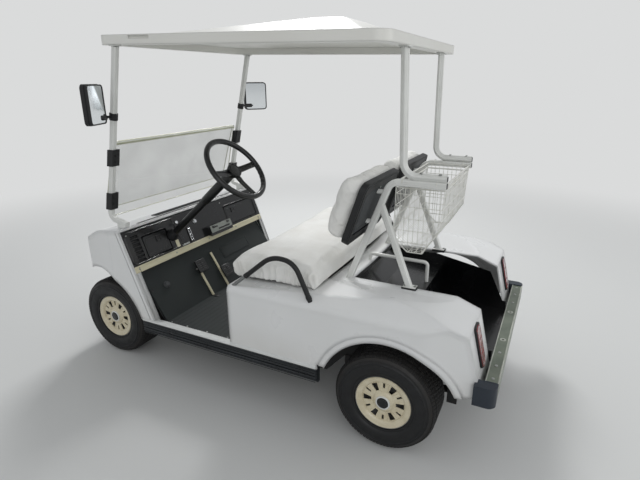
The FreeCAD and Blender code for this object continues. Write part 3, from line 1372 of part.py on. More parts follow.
def roof_crown(name, inset, low):
    """The loft from the crown's foot up to its flat top, drawn in by an inset."""
    body = DOC.addObject("PartDesign::Body", name)
    foot = plan(f"roof_front - roof_rear - crown_front - {inset}", f"crown_rear + {inset}",
                f"{ROOF_HALF} - crown_side - {inset}", "crown_corner")
    top = plan(f"peak_rear + peak_length - {inset}", f"peak_rear + {inset}", f"peak_half - {inset}", "crown_corner")
    loft = [outline(body, "XY", foot, low), outline(body, "XY", top, f"roof_fascia + crown_rise - {inset}")]
    crown = body.newObject("PartDesign::AdditiveLoft", f"{name}_loft")
    crown.Profile = loft[0]
    crown.Sections = loft[1:]
    crown.Ruled = True
    return body


def roof():
    """The moulded roof: an edge band, a hollow crown and grip slots, pitched as one piece."""
    outer = fuse("roof_outer", roof_plate("roof_band", "0", "0", "roof_fascia"),
                 roof_crown("crown_outer", "0", "roof_fascia - overlap"))
    inner = fuse("roof_inner", roof_plate("roof_hollow", "roof_rim", "-10", "roof_fascia - roof_wall"),
                 roof_crown("crown_inner", "roof_wall", "roof_fascia - roof_wall - overlap"))
    grips = []
    for name, sign in SIDES:
        low, high = f"{ROOF_HALF} - grip_depth", f"{ROOF_HALF} + overlap"
        span = (low, high) if sign > 0 else (f"-({high})", f"-({low})")
        grips.append(box(f"grip_{name}", ("grip_station - grip_length / 2", "grip_station + grip_length / 2"), span,
                         ("grip_low", "grip_low + grip_height")))
    shell = cut("roof", outer, inner, *grips)
    turn(shell, (0, 1, 0), -num("roof_pitch"), at("roof_rear"), "0", "roof_low")
    publish("roof", shell)


roof()


# Windshield
SCREEN_LEAN = f"((strut_front_low - strut_front_top) / ({STRUT_TOP} - strut_low))"


def screen_at(height, ahead):
    """Station of the windshield at a height, ahead of the front struts."""
    return at(f"strut_front_low - ({height} - strut_low) * {SCREEN_LEAN} + {ahead}")


def pane(name, low, high, low_ahead, high_ahead):
    """A flat sheet between two heights."""
    corners = (
        (screen_at(low, low_ahead), low), (screen_at(high, high_ahead), high),
        (screen_at(high, f"{high_ahead} + screen_thick"), high),
        (screen_at(low, f"{low_ahead} + screen_thick"), low),
    )
    return slab(name, "XZ", corners, f"-{SCREEN_HALF}", SCREEN_HALF)


publish("windshield_lower", pane("pane_lower", SCREEN_LOW, "screen_hinge", "screen_ahead", "screen_ahead"))
publish("windshield_upper", pane("pane_upper", f"{SCREEN_LOW} + 40", "screen_hinge", "screen_ahead + 40", "screen_ahead + 12"))
publish("windshield_rail", box(
    "rail_block", (screen_at("screen_hinge", "screen_ahead - 6"), screen_at("screen_hinge", "screen_ahead + 22")),
    (f"-{SCREEN_HALF}", SCREEN_HALF), ("screen_hinge + running_gap", "screen_hinge + 16")))


def screen_clips():
    """Rubber blocks gripping each front strut and backing the lower pane."""
    blocks, holes = [], []
    for name, sign in SIDES:
        for index, (low, tall) in enumerate(((f"({SCREEN_LOW} + 50)", 90), ("(screen_hinge - 100)", 84))):
            high = f"{low} + {tall}"
            corners = (
                (screen_at(low, "-strut_tube - 6"), low), (screen_at(high, "-strut_tube - 6"), high),
                (screen_at(high, "screen_ahead - running_gap"), high),
                (screen_at(low, "screen_ahead - running_gap"), low),
            )
            near, far = f"{STRUT_REACH} - 26", f"{STRUT_REACH} + strut_tube + 4"
            span = (near, far) if sign > 0 else (f"-({far})", f"-({near})")
            blocks.append(slab(f"clip_{name}_{index}", "XZ", corners, *span))
        y = f"{sign} * {STRUT_REACH}"
        holes.append(tube(f"clip_hole_{name}", (
            (at("strut_front_top"), y, STRUT_TOP), (at("strut_front_low"), y, "strut_low"),
        ), "strut_tube + running_gap"))
    publish("screen_clips", cut("screen_clips", fuse("screen_clips", *blocks), *holes))


screen_clips()


# Bumpers
def bumpers():
    """The rear channel with its caps, and the front bumper strip."""
    channel = box("rear_channel", (at("-rear_overhang"), at("-rear_overhang + bumper_depth")),
                  (f"-{BUMPER_HALF}", BUMPER_HALF), ("bumper_low", "bumper_top"))
    hollow = box("channel_hollow", (at("-rear_overhang + 5"), at("-rear_overhang + bumper_depth - 5")),
                 (f"-{BUMPER_HALF}", BUMPER_HALF), ("bumper_low", "bumper_top - 5"))
    holes = [rod(f"bumper_hole_{name}", "Z", (at("-rear_overhang + bumper_depth / 2"), f"{sign} * bumper_hole_reach", "0"),
                 "bumper_hole_radius", "bumper_low", "bumper_top + 5") for name, sign in SIDES]
    publish("rear_bumper", cut("rear_bumper", channel, hollow, *holes))
    caps = []
    for name, sign in SIDES:
        inner, outer = f"{BUMPER_HALF} + running_gap", "body_half - cap_inset"
        span = (inner, outer) if sign > 0 else (f"-({outer})", f"-({inner})")
        near, far = (span[0], span[1]) if sign > 0 else (span[1], span[0])
        caps.append(slab(f"bumper_cap_{name}", "XY", (
            (at("-rear_overhang"), near), (at("-rear_overhang"), far, "cap_round"),
            (at("-rear_overhang + cap_wrap"), far), (at("-rear_overhang + cap_wrap"), near),
        ), "bumper_low - cap_lap", "bumper_top + cap_lap"))
    publish("bumper_caps", cut("bumper_caps", fuse("bumper_caps", *caps), BODY_SKIN))
    tip = "wheelbase + front_overhang"
    publish("front_bumper", slab("front_strip", "YZ", tuple(
        (across, up, "strip_round") for across, up in (
            ("-apron_half", "strip_low"), ("apron_half", "strip_low"),
            ("apron_half", "strip_top"), ("-apron_half", "strip_top"))
    ), at(f"{tip} - nose_inset + running_gap"), at(tip)))


def lamp_outline(middle, width, low, high):
    """A round-cornered lens seen along the vehicle."""
    return tuple((f"{middle} {side} {width} / 2", up, "lamp_round")
                 for side, up in (("-", low), ("+", low), ("+", high), ("-", high)))


def lamps():
    """Tail lamps on the quarters and head lamps in the nose."""
    tails, heads = [], []
    tail_slope = "((tail_top_reach - tail_low_reach) / (tail_top - tail_low))"
    for name, sign in SIDES:
        y = f"{sign} * {LAMP_REACH}"
        corners = []
        for height, proud in (("lamp_low", "running_gap"), ("lamp_top", "running_gap"),
                              ("lamp_top", "lamp_proud"), ("lamp_low", "lamp_proud")):
            corners.append((at(f"tail_low_reach + ({height} - tail_low) * {tail_slope} - {proud}"), height))
        lens = slab(f"tail_lens_{name}", "XZ", corners, f"{y} - lamp_width / 2", f"{y} + lamp_width / 2")
        front = slab(f"tail_front_{name}", "YZ", lamp_outline(y, "lamp_width", "lamp_low", "lamp_top"),
                     at("-rear_overhang"), at("0"))
        tails.append(common(f"tail_lamp_{name}", lens, front))
        y = f"{sign} * lens_reach"
        tip = "wheelbase + front_overhang - nose_inset"
        heads.append(slab(f"head_lamp_{name}", "YZ", lamp_outline(y, "lens_width", "lens_low", "lens_top"),
                          at(f"{tip} + running_gap"), at(f"{tip} + lamp_proud - 2")))
    publish("tail_lamps", fuse("tail_lamps", *tails))
    publish("head_lamps", fuse("head_lamps", *heads))


def mirror(name, sign):
    """One mirror head turned to the driver, with its arm back to the strut."""
    angle = f"mirror_turn_{name}"
    middle = (f"(mirror_outer - mirror_width / 2 * cos({angle} * 1 deg)"
              f" - mirror_depth * sin({angle} * 1 deg))")
    head = slab(f"mirror_head_{name}", "YZ", tuple(
        (f"{across} * mirror_width / 2", f"{up} * mirror_height / 2", "mirror_round")
        for across, up in ((-1, -1), (1, -1), (1, 1), (-1, 1))
    ), "0", "mirror_depth")
    turn(head, (0, 0, 1), sign * num(angle), at("mirror_station"), f"{sign} * {middle}", "mirror_centre")
    height = "(mirror_centre - mirror_height / 3)"
    arm = tube(f"mirror_arm_{name}", (
        (screen_at(height, "0"), f"{sign} * ({STRUT_REACH} + strut_tube + running_gap)", height),
        (screen_at(height, "0"), f"{sign} * ({STRUT_REACH} + 2 * strut_tube)", height),
        (at("mirror_station + mirror_depth / 2"), f"{sign} * ({middle} - mirror_depth)", height),
    ), "mirror_arm", 8)
    return head, arm


bumpers()
lamps()
publish("mirrors", fuse("mirrors", *mirror("left", 1), *mirror("right", -1)))


# Basket
def basket():
    """An open-topped wire basket between the handles, as its four walls and floor."""
    corners = (
        (at("basket_rear"), "basket_rim"), (at("basket_front"), "basket_rim"),
        (at("basket_front + 10"), "basket_low + 60"), (at("basket_front - 60"), "basket_low"),
        (at("basket_rear + 80"), "basket_low"), (at("basket_rear + 10"), "basket_low + 120"),
    )
    half = "(rack_reach - frame_tube - running_gap)"
    outer = slab("basket_outer", "XZ", corners, f"-{half}", half)
    wall = "basket_wall"
    inner_corners = (
        (at(f"basket_rear + {wall}"), "basket_rim + 10"), (at(f"basket_front - {wall}"), "basket_rim + 10"),
        (at(f"basket_front + 10 - {wall}"), "basket_low + 60"), (at("basket_front - 62"), f"basket_low + {wall}"),
        (at("basket_rear + 82"), f"basket_low + {wall}"), (at(f"basket_rear + 10 + {wall}"), "basket_low + 120"),
    )
    inner = slab("basket_inner", "XZ", inner_corners, f"-({half} - {wall})", f"{half} - {wall}")
    publish("basket", cut("basket", outer, inner))


basket()


def finish():
    """Recomputes, checks every object and sub-part, and writes the files."""
    DOC.recompute()
    for thing in DOC.Objects:
        if "Invalid" in thing.State or "Error" in thing.State:
            raise RuntimeError(f"{thing.Label} did not recompute: {thing.State}")
    for label, thing in NODES.items():
        shape = thing.Shape
        if shape.isNull() or not shape.isValid() or not shape.Solids:
            raise RuntimeError(f"{label} has no valid solid")
    os.makedirs("parts", exist_ok=True)
    for label, thing in NODES.items():
        thing.Shape.exportStep(f"parts/{label}.step")
        print(f"{label:20s} {len(thing.Shape.Solids)} solids {thing.Shape.Volume / 1e6:9.2f} cm3 x1000")


finish()
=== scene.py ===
"""Looks of a two-seat golf cart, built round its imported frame.

Metres, in the frame's own axes: +X is forward, +Y the driver's side and +Z up.
"""

import json
import logging
import math
import random
from collections.abc import Sequence
from dataclasses import dataclass, field
from enum import Enum

import bmesh
import bpy
import numpy as np
from mathutils import Matrix, Vector

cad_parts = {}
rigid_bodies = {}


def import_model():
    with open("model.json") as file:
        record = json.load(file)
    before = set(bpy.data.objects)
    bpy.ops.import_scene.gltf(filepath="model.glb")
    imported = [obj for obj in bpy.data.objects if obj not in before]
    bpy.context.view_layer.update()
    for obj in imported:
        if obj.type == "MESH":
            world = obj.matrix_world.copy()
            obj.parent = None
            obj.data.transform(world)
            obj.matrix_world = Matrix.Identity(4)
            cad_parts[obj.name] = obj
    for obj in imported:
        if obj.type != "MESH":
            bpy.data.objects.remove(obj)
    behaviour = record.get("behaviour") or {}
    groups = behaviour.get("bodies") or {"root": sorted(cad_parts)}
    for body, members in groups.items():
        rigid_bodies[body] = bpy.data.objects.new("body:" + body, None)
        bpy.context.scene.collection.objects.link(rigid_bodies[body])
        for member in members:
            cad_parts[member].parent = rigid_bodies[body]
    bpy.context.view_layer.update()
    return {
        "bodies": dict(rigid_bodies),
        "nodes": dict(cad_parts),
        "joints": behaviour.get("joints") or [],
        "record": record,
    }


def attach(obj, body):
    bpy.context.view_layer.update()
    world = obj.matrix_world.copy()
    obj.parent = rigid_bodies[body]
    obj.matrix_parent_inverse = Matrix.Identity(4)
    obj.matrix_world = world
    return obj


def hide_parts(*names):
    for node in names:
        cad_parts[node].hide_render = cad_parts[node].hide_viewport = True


LOG = logging.getLogger("cart")

Point = tuple[float, float, float]
Loop = list[tuple[float, float]]


class Side(Enum):
    """The two sides of the cart, as the sign of Y."""

    LEFT = 1
    RIGHT = -1

    @property
    def word(self) -> str:
        """The side as it stands in a node's name."""
        return self.name.lower()


def linear(colour: str) -> tuple[float, float, float, float]:
    """Turns an sRGB hex colour into the linear values that a socket takes.

    Args:
        colour: Six hex digits after a hash sign.

    Returns:
        Red, green, blue and an alpha of one.
    """
    parts = [int(colour[i : i + 2], 16) / 255 for i in (1, 3, 5)]
    return (*[c / 12.92 if c <= 0.04045 else ((c + 0.055) / 1.055) ** 2.4 for c in parts], 1.0)


def add_node(
    tree: bpy.types.NodeTree, kind: str, inputs: dict | None = None, **settings: object
) -> bpy.types.Node:
    """Adds one node to a tree.

    Args:
        tree: The tree that gets it.
        kind: The node's type name.
        inputs: Socket name or index to a value, or to the socket that feeds it.
        **settings: The node's own properties.

    Returns:
        The new node.
    """
    node = tree.nodes.new(kind)
    for key, value in settings.items():
        setattr(node, key, value)
    for key, value in (inputs or {}).items():
        socket = node.inputs[key]
        if isinstance(value, bpy.types.NodeSocket):
            tree.links.new(value, socket)
        else:
            socket.default_value = value
    return node


def blank_material(name: str) -> tuple[bpy.types.Material, bpy.types.NodeTree, bpy.types.Node]:
    """Makes a material with only a shader and its output.

    Args:
        name: The material's name.

    Returns:
        The material, its tree and its shader node.
    """
    material = bpy.data.materials.new(name)
    material.use_nodes = True
    tree = material.node_tree
    tree.nodes.clear()
    shader = add_node(tree, "ShaderNodeBsdfPrincipled")
    add_node(tree, "ShaderNodeOutputMaterial", {"Surface": shader.outputs[0]})
    return material, tree, shader


@dataclass(frozen=True)
class Moulding:
    """A moulded or painted surface whose colour drifts a little over a fine grain."""

    name: str
    colour: str
    drift: str
    roughness: float
    patch: float = 0.30
    grain: float = 0.002
    relief: float = 0.00002
    coat: float = 0.0
    metal: float = 0.0
    dust: str = ""
    dust_top: float = 0.0
    soft: float = 0.0

    def build(self) -> bpy.types.Material:
        """Builds the node tree and returns the material."""
        material, tree, shader = blank_material(self.name)
        place = add_node(tree, "ShaderNodeTexCoord").outputs["Object"]
        cloud = add_node(
            tree, "ShaderNodeTexNoise", {"Vector": place, "Scale": 1 / self.patch, "Detail": 5.0}
        ).outputs[0]
        tone = self._tone(tree, cloud)
        if self.dust:
            tone = self._dusted(tree, place, cloud, tone)
        tree.links.new(tone, shader.inputs["Base Color"])
        sheen = add_node(
            tree, "ShaderNodeMapRange",
            {"Value": cloud, "From Min": 0.3, "From Max": 0.7,
             "To Min": max(0.02, self.roughness - 0.05), "To Max": self.roughness + 0.06},
        )
        tree.links.new(sheen.outputs[0], shader.inputs["Roughness"])
        speck = add_node(
            tree, "ShaderNodeTexNoise", {"Vector": place, "Scale": 1 / self.grain, "Detail": 2.0}
        ).outputs[0]
        bump = add_node(tree, "ShaderNodeBump", {"Height": speck, "Distance": self.relief, "Strength": 1.0})
        if self.soft:
            rounded = add_node(tree, "ShaderNodeBevel", {"Radius": self.soft})
            rounded.samples = 8
            tree.links.new(rounded.outputs[0], bump.inputs["Normal"])
        tree.links.new(bump.outputs[0], shader.inputs["Normal"])
        shader.inputs["Metallic"].default_value = self.metal
        shader.inputs["Coat Weight"].default_value = self.coat
        shader.inputs["Coat Roughness"].default_value = 0.08
        return material

    def _tone(self, tree: bpy.types.NodeTree, cloud: bpy.types.NodeSocket) -> bpy.types.NodeSocket:
        """Returns the socket of the drifting colour."""
        ramp = add_node(tree, "ShaderNodeValToRGB", {"Fac": cloud})
        ramp.color_ramp.elements[0].position = 0.35
        ramp.color_ramp.elements[0].color = linear(self.colour)
        ramp.color_ramp.elements[1].position = 0.75
        ramp.color_ramp.elements[1].color = linear(self.drift)
        return ramp.outputs[0]

    def _dusted(
        self, tree: bpy.types.NodeTree, place: bpy.types.NodeSocket,
        cloud: bpy.types.NodeSocket, tone: bpy.types.NodeSocket,
    ) -> bpy.types.NodeSocket:
        """Returns the tone with road dust towards the ground.

        Args:
            tree: The material's tree.
            place: Object coordinates.
            cloud: The noise that breaks the dust's edge.
            tone: The clean colour.

        Returns:
            The socket of the dusty colour.
        """
        height = add_node(tree, "ShaderNodeSeparateXYZ", {"Vector": place}).outputs["Z"]
        fade = add_node(
            tree, "ShaderNodeMapRange",
            {"Value": height, "From Min": self.dust_top * 0.5, "From Max": self.dust_top,
             "To Min": 0.55, "To Max": 0.0},
        ).outputs[0]
        amount = add_node(
            tree, "ShaderNodeMath", {0: fade, 1: cloud}, operation="MULTIPLY"
        ).outputs[0]
        return add_node(
            tree, "ShaderNodeMix", {0: amount, 6: tone, 7: linear(self.dust)}, data_type="RGBA"
        ).outputs[2]


@dataclass(frozen=True)
class Sidewall:
    """Moulded rubber round an axle, with fine turned ribs and dust caught at the shoulder."""

    name: str
    colour: str
    dust: str
    radius: float
    rib: float = 0.004

    def build(self) -> bpy.types.Material:
        """Builds the node tree and returns the material."""
        material, tree, shader = blank_material(self.name)
        place = add_node(tree, "ShaderNodeTexCoord").outputs["Object"]
        reach = add_node(tree, "ShaderNodeUVMap", uv_map="radius").outputs[0]
        out = add_node(tree, "ShaderNodeSeparateXYZ", {"Vector": reach}).outputs["X"]
        cloud = add_node(
            tree, "ShaderNodeTexNoise", {"Vector": place, "Scale": 28.0, "Detail": 6.0}
        ).outputs[0]
        edge = add_node(
            tree, "ShaderNodeMapRange",
            {"Value": out, "From Min": self.radius * 0.86, "From Max": self.radius * 0.99,
             "To Min": 0.0, "To Max": 1.5},
        ).outputs[0]
        amount = add_node(tree, "ShaderNodeMath", {0: edge, 1: cloud}, operation="MULTIPLY", use_clamp=True)
        tone = add_node(
            tree, "ShaderNodeMix",
            {0: amount.outputs[0], 6: linear(self.colour), 7: linear(self.dust)}, data_type="RGBA",
        ).outputs[2]
        tree.links.new(tone, shader.inputs["Base Color"])
        dull = add_node(
            tree, "ShaderNodeMapRange",
            {"Value": cloud, "From Min": 0.3, "From Max": 0.7, "To Min": 0.46, "To Max": 0.66},
        ).outputs[0]
        tree.links.new(dull, shader.inputs["Roughness"])
        turns = add_node(tree, "ShaderNodeMath", {0: out, 1: math.tau / self.rib}, operation="MULTIPLY")
        wave = add_node(tree, "ShaderNodeMath", {0: turns.outputs[0]}, operation="SINE").outputs[0]
        speck = add_node(
            tree, "ShaderNodeTexNoise", {"Vector": place, "Scale": 900.0, "Detail": 2.0}
        ).outputs[0]
        height = add_node(tree, "ShaderNodeMath", {0: wave, 1: speck}, operation="ADD").outputs[0]
        bump = add_node(tree, "ShaderNodeBump", {"Height": height, "Distance": 0.00012, "Strength": 0.5})
        tree.links.new(bump.outputs[0], shader.inputs["Normal"])
        return material


@dataclass(frozen=True)
class CoverCloth:
    """A coated stretch fabric: a fine knit under a soft sheen."""

    name: str
    colour: str
    shade: str
    knit: float = 0.0024
    relief: float = 0.00018

    def build(self) -> bpy.types.Material:
        """Builds the node tree and returns the material."""
        material, tree, shader = blank_material(self.name)
        place = add_node(tree, "ShaderNodeTexCoord").outputs["Object"]
        cloud = add_node(
            tree, "ShaderNodeTexNoise", {"Vector": place, "Scale": 7.0, "Detail": 6.0}
        ).outputs[0]
        ramp = add_node(tree, "ShaderNodeValToRGB", {"Fac": cloud})
        ramp.color_ramp.elements[0].position = 0.30
        ramp.color_ramp.elements[0].color = linear(self.shade)
        ramp.color_ramp.elements[1].position = 0.62
        ramp.color_ramp.elements[1].color = linear(self.colour)
        tree.links.new(ramp.outputs[0], shader.inputs["Base Color"])
        rows = [
            add_node(
                tree, "ShaderNodeTexWave",
                {"Vector": place, "Scale": 1 / (self.knit * 3.2), "Distortion": 0.6, "Detail": 1.0},
                bands_direction=axis,
            ).outputs[0]
            for axis in ("X", "Y", "Z")
        ]
        woven = add_node(tree, "ShaderNodeMath", {0: rows[0], 1: rows[1]}, operation="MULTIPLY").outputs[0]
        woven = add_node(tree, "ShaderNodeMath", {0: woven, 1: rows[2]}, operation="ADD").outputs[0]
        knit = add_node(
            tree, "ShaderNodeBump", {"Height": woven, "Distance": self.relief, "Strength": 0.35}
        ).outputs[0]
        crease = add_node(
            tree, "ShaderNodeTexNoise",
            {"Vector": place, "Scale": 16.0, "Detail": 3.0, "Distortion": 1.2},
        ).outputs[0]
        bump = add_node(
            tree, "ShaderNodeBump",
            {"Height": crease, "Distance": 0.0016, "Strength": 0.30, "Normal": knit},
        ).outputs[0]
        tree.links.new(bump, shader.inputs["Normal"])
        shader.inputs["Roughness"].default_value = 0.62
        shader.inputs["Sheen Weight"].default_value = 0.18
        shader.inputs["Sheen Roughness"].default_value = 0.45
        return material


@dataclass(frozen=True)
class BareMetal:
    """Bright or brushed metal with a drawn grain along one axis."""

    name: str
    colour: str
    roughness: float
    stretch: Point = (1.0, 1.0, 14.0)
    relief: float = 0.00002

    def build(self) -> bpy.types.Material:
        """Builds the node tree and returns the material."""
        material, tree, shader = blank_material(self.name)
        place = add_node(tree, "ShaderNodeTexCoord").outputs["Object"]
        drawn = add_node(tree, "ShaderNodeMapping", {"Vector": place, "Scale": self.stretch}).outputs[0]
        grain = add_node(
            tree, "ShaderNodeTexNoise", {"Vector": drawn, "Scale": 90.0, "Detail": 4.0}
        ).outputs[0]
        dull = add_node(
            tree, "ShaderNodeMapRange",
            {"Value": grain, "From Min": 0.3, "From Max": 0.7,
             "To Min": self.roughness, "To Max": self.roughness + 0.12},
        ).outputs[0]
        tree.links.new(dull, shader.inputs["Roughness"])
        bump = add_node(tree, "ShaderNodeBump", {"Height": grain, "Distance": self.relief, "Strength": 0.6})
        tree.links.new(bump.outputs[0], shader.inputs["Normal"])
        shader.inputs["Base Color"].default_value = linear(self.colour)
        shader.inputs["Metallic"].default_value = 1.0
        return material


@dataclass(frozen=True)
class Lens:
    """A moulded lamp lens with upright prism ribs behind a clear skin."""

    name: str
    colour: str
    deep: str
    rib: float = 0.006
    axis: str = "Y"

    def build(self) -> bpy.types.Material:
        """Builds the node tree and returns the material."""
        material, tree, shader = blank_material(self.name)
        place = add_node(tree, "ShaderNodeTexCoord").outputs["Object"]
        ribs = add_node(
            tree, "ShaderNodeTexWave",
            {"Vector": place, "Scale": 1 / (self.rib * 3.2), "Distortion": 0.0},
            bands_direction=self.axis,
        ).outputs[0]
        ramp = add_node(tree, "ShaderNodeValToRGB", {"Fac": ribs})
        ramp.color_ramp.elements[0].color = linear(self.deep)
        ramp.color_ramp.elements[1].color = linear(self.colour)
        tree.links.new(ramp.outputs[0], shader.inputs["Base Color"])
        bump = add_node(tree, "ShaderNodeBump", {"Height": ribs, "Distance": 0.0006, "Strength": 0.5})
        tree.links.new(bump.outputs[0], shader.inputs["Normal"])
        shader.inputs["Roughness"].default_value = 0.18
        shader.inputs["Coat Weight"].default_value = 1.0
        shader.inputs["Coat Roughness"].default_value = 0.04
        return material


@dataclass(frozen=True)
class ClearSheet:
    """A lightly tinted see-through sheet with a faint wiped haze."""

    name: str
    tint: str
    opacity: float = 0.10
    roughness: float = 0.04

    def build(self) -> bpy.types.Material:
        """Builds the node tree and returns the material."""
        material, tree, shader = blank_material(self.name)
        place = add_node(tree, "ShaderNodeTexCoord").outputs["Object"]
        haze = add_node(
            tree, "ShaderNodeTexNoise", {"Vector": place, "Scale": 6.0, "Detail": 6.0}
        ).outputs[0]
        fog = add_node(
            tree, "ShaderNodeMapRange",
            {"Value": haze, "From Min": 0.40, "From Max": 0.8,
             "To Min": self.opacity, "To Max": self.opacity + 0.05},
        )
        tree.links.new(fog.outputs[0], shader.inputs["Alpha"])
        dull = add_node(
            tree, "ShaderNodeMapRange",
            {"Value": haze, "From Min": 0.40, "From Max": 0.8,
             "To Min": self.roughness, "To Max": self.roughness + 0.10},
        )
        tree.links.new(dull.outputs[0], shader.inputs["Roughness"])
        shader.inputs["Base Color"].default_value = linear(self.tint)
        shader.inputs["IOR"].default_value = 1.49
        return material


class Look(Enum):
    """Every finish on the cart, by what the real one is."""

    # Gel-smooth moulded thermoplastic: broad soft highlights, dust near the ground.
    BODY = Moulding("moulded_white_shell", "#E3E4E4", "#DFE0DF", 0.30, coat=0.35,
                    dust="#B3AC9D", dust_top=0.46, soft=0.030)
    # Satin moulded roof, its colour a little warm as painted sunlight, with faint streaks of dust.
    ROOF = Moulding("moulded_roof_shell", "#E5E5E0", "#DFDED8", 0.42, patch=0.5, coat=0.1, soft=0.012)
    # Powder-coated tube: fine orange peel under an even gloss.
    TUBE = Moulding("powder_coated_tube", "#E2E3E0", "#D6D7D3", 0.32, patch=0.12, grain=0.004,
                    relief=0.00005, coat=0.2)
    # Vinyl-dipped wire: soft gloss, slightly yellowed where it is handled.
    WIRE = Moulding("vinyl_dipped_wire", "#E4E4DF", "#D2D1C8", 0.40, patch=0.06, coat=0.2)
    # Blow-moulded black shell with a fine leather-like grain.
    BLACK_SHELL = Moulding("grained_black_shell", "#0C0D0F", "#131517", 0.50, patch=0.2, grain=0.0016,
                           relief=0.00012)
    # Pressed fibre panel in the backs: flat dark grey with a felt-like grain.
    PANEL = Moulding("pressed_grey_panel", "#3A3D3F", "#47494A", 0.78, patch=0.05, grain=0.0010,
                     relief=0.00020)
    # Glossy black ABS of the dash and the well's tray.
    DASH = Moulding("gloss_black_abs", "#030405", "#07080A", 0.24, patch=0.2, coat=0.25)
    # Satin black ABS of the column shroud and steering wheel.
    SATIN_BLACK = Moulding("satin_black_abs", "#0A0B0C", "#121314", 0.34, patch=0.04, grain=0.0014,
                           relief=0.00008, coat=0.15)
    # Cream ABS strip below the dash.
    CREAM = Moulding("cream_abs", "#D6D0B4", "#C9C2A4", 0.40, patch=0.15)
    # Beige moulded wheel cover with a satin skin and brake dust.
    COVER = Moulding("beige_wheel_cover", "#D9D0B6", "#C8BDA0", 0.28, patch=0.035, coat=0.4)
    # Pale steel wheel under its cover.
    WHEEL_STEEL = Moulding("painted_wheel_steel", "#8E9090", "#6F6D68", 0.50, patch=0.05, metal=0.3)
    # Moulded rubber tyre: satin sidewall rings, brown road dust at the shoulder.
    TYRE = Sidewall("tyre_sidewall_rubber", "#0F1012", "#2F2B27", 0.226)
    # Tread rubber scuffed grey by the road.
    TREAD = Moulding("tyre_tread_rubber", "#141415", "#232120", 0.80, patch=0.02, grain=0.0012,
                     relief=0.0002)
    # Moulded rubber mat with a pebbled skin and trodden dust.
    MAT = Moulding("mat_rubber", "#1B2122", "#272C2B", 0.74, patch=0.16, grain=0.0015, relief=0.0002)
    # Dark strip of the rockers.
    ROCKER = Moulding("dark_rocker", "#12161A", "#1E2428", 0.30, patch=0.1, grain=0.0015, relief=0.00004,
                      coat=0.3)
    # Painted frame and axles under the body.
    CHASSIS = Moulding("painted_frame", "#17181A", "#26231F", 0.60, patch=0.08, grain=0.002, relief=0.0001)
    # Cast housing of the drive: rough grey iron with oily dust.
    CASTING = Moulding("cast_iron_housing", "#3A3B3B", "#2B2823", 0.66, patch=0.05, grain=0.0022,
                       relief=0.0003, metal=0.5)
    # Foam and soft rubber.
    SOFT_BLACK = Moulding("soft_black_grip", "#0E0F10", "#17181A", 0.58, patch=0.05, grain=0.0012,
                          relief=0.00015)
    # Extruded bumper channel with a grey green anodised top.
    CHANNEL = Moulding("grey_green_channel", "#70786A", "#5E665A", 0.40, patch=0.08, grain=0.002,
                       relief=0.00003, metal=0.25, coat=0.1)
    # Rubbed pale edge of the bumper extrusion.
    CHANNEL_EDGE = Moulding("rubbed_channel_edge", "#B9BCB2", "#9DA197", 0.42, patch=0.05, metal=0.4)
    # Blue black moulded bumper caps, chalky from the weather.
    CAP = Moulding("blue_black_cap", "#1E2630", "#2A323C", 0.52, patch=0.05, grain=0.0014, relief=0.00012)
    # Light grey switch tray.
    TRAY = Moulding("light_grey_tray", "#8D918B", "#7B7F79", 0.44, patch=0.05)
    # White rolled trim along the sills.
    TRIM = Moulding("white_sill_trim", "#DCDEDD", "#CFD1D0", 0.34, patch=0.1, coat=0.2,
                    dust="#A79F8F", dust_top=0.34)
    # Moulded battery cases and their caps.
    CASE = Moulding("battery_case", "#1B1C1E", "#26272A", 0.44, patch=0.08)
    # Red moulded lens.
    RED_LENS = Lens("red_lens", "#A80F16", "#5A060A", rib=0.007)
    # Clear moulded lens over a bright reflector.
    CLEAR_LENS = Lens("clear_lens", "#DADDDE", "#8F9496", rib=0.009)
    # Coated stretch covers of the cushions, knit drawn coarse enough to show.
    CLOTH = CoverCloth("white_seat_cover", "#E9E9E6", "#DCDBD6")
    # Bright plating on small controls and screws.
    CHROME = BareMetal("bright_plating", "#D8DADC", 0.10)
    # Zinc-plated fasteners.
    ZINC = BareMetal("zinc_plate", "#A9ABA8", 0.32)
    # Bare drawn steel of the hip rails' front ends.
    DRAWN_STEEL = BareMetal("drawn_grey_steel", "#8B8D8C", 0.36, stretch=(14.0, 1.0, 1.0))
    # Silvered glass of the mirrors.
    SILVER = BareMetal("silvered_glass", "#E4E8EA", 0.03)
    # Pale yellowed vinyl bead round the panes.
    EDGE = Moulding("pale_vinyl_bead", "#C6C8B2", "#B5B79E", 0.38, patch=0.06, coat=0.2)
    # Clear acrylic with a light smoke tint.
    ACRYLIC = ClearSheet("smoked_acrylic", "#8E948E")


NODE_LOOKS = {
    Look.BODY: ("rear_body", "front_cowl"),
    Look.ROOF: ("roof",),
    Look.TUBE: ("windshield_rail",),
    Look.BLACK_SHELL: ("floor_panel", "backrest_shells", "front_bumper", "mirrors"),
    Look.DASH: ("dash_panel", "glove_door_left", "glove_door_right", "well_liner"),
    Look.SATIN_BLACK: ("steering_column",),
    Look.CREAM: ("dash_rail",),
    Look.MAT: ("floor_mat",),
    Look.ROCKER: ("rockers",),
    Look.CHASSIS: ("chassis_frame", "front_axle", "knuckle_left", "knuckle_right", "tie_rod", "rear_springs"),
    Look.CASTING: ("rear_axle",),
    Look.CASE: ("battery_pack",),
    Look.SOFT_BLACK: ("screen_clips",),
    Look.CHANNEL: ("rear_bumper",),
    Look.CAP: ("bumper_caps",),
    Look.RED_LENS: ("tail_lamps",),
    Look.CLEAR_LENS: ("head_lamps",),
    Look.ACRYLIC: ("windshield_lower", "windshield_upper"),
}


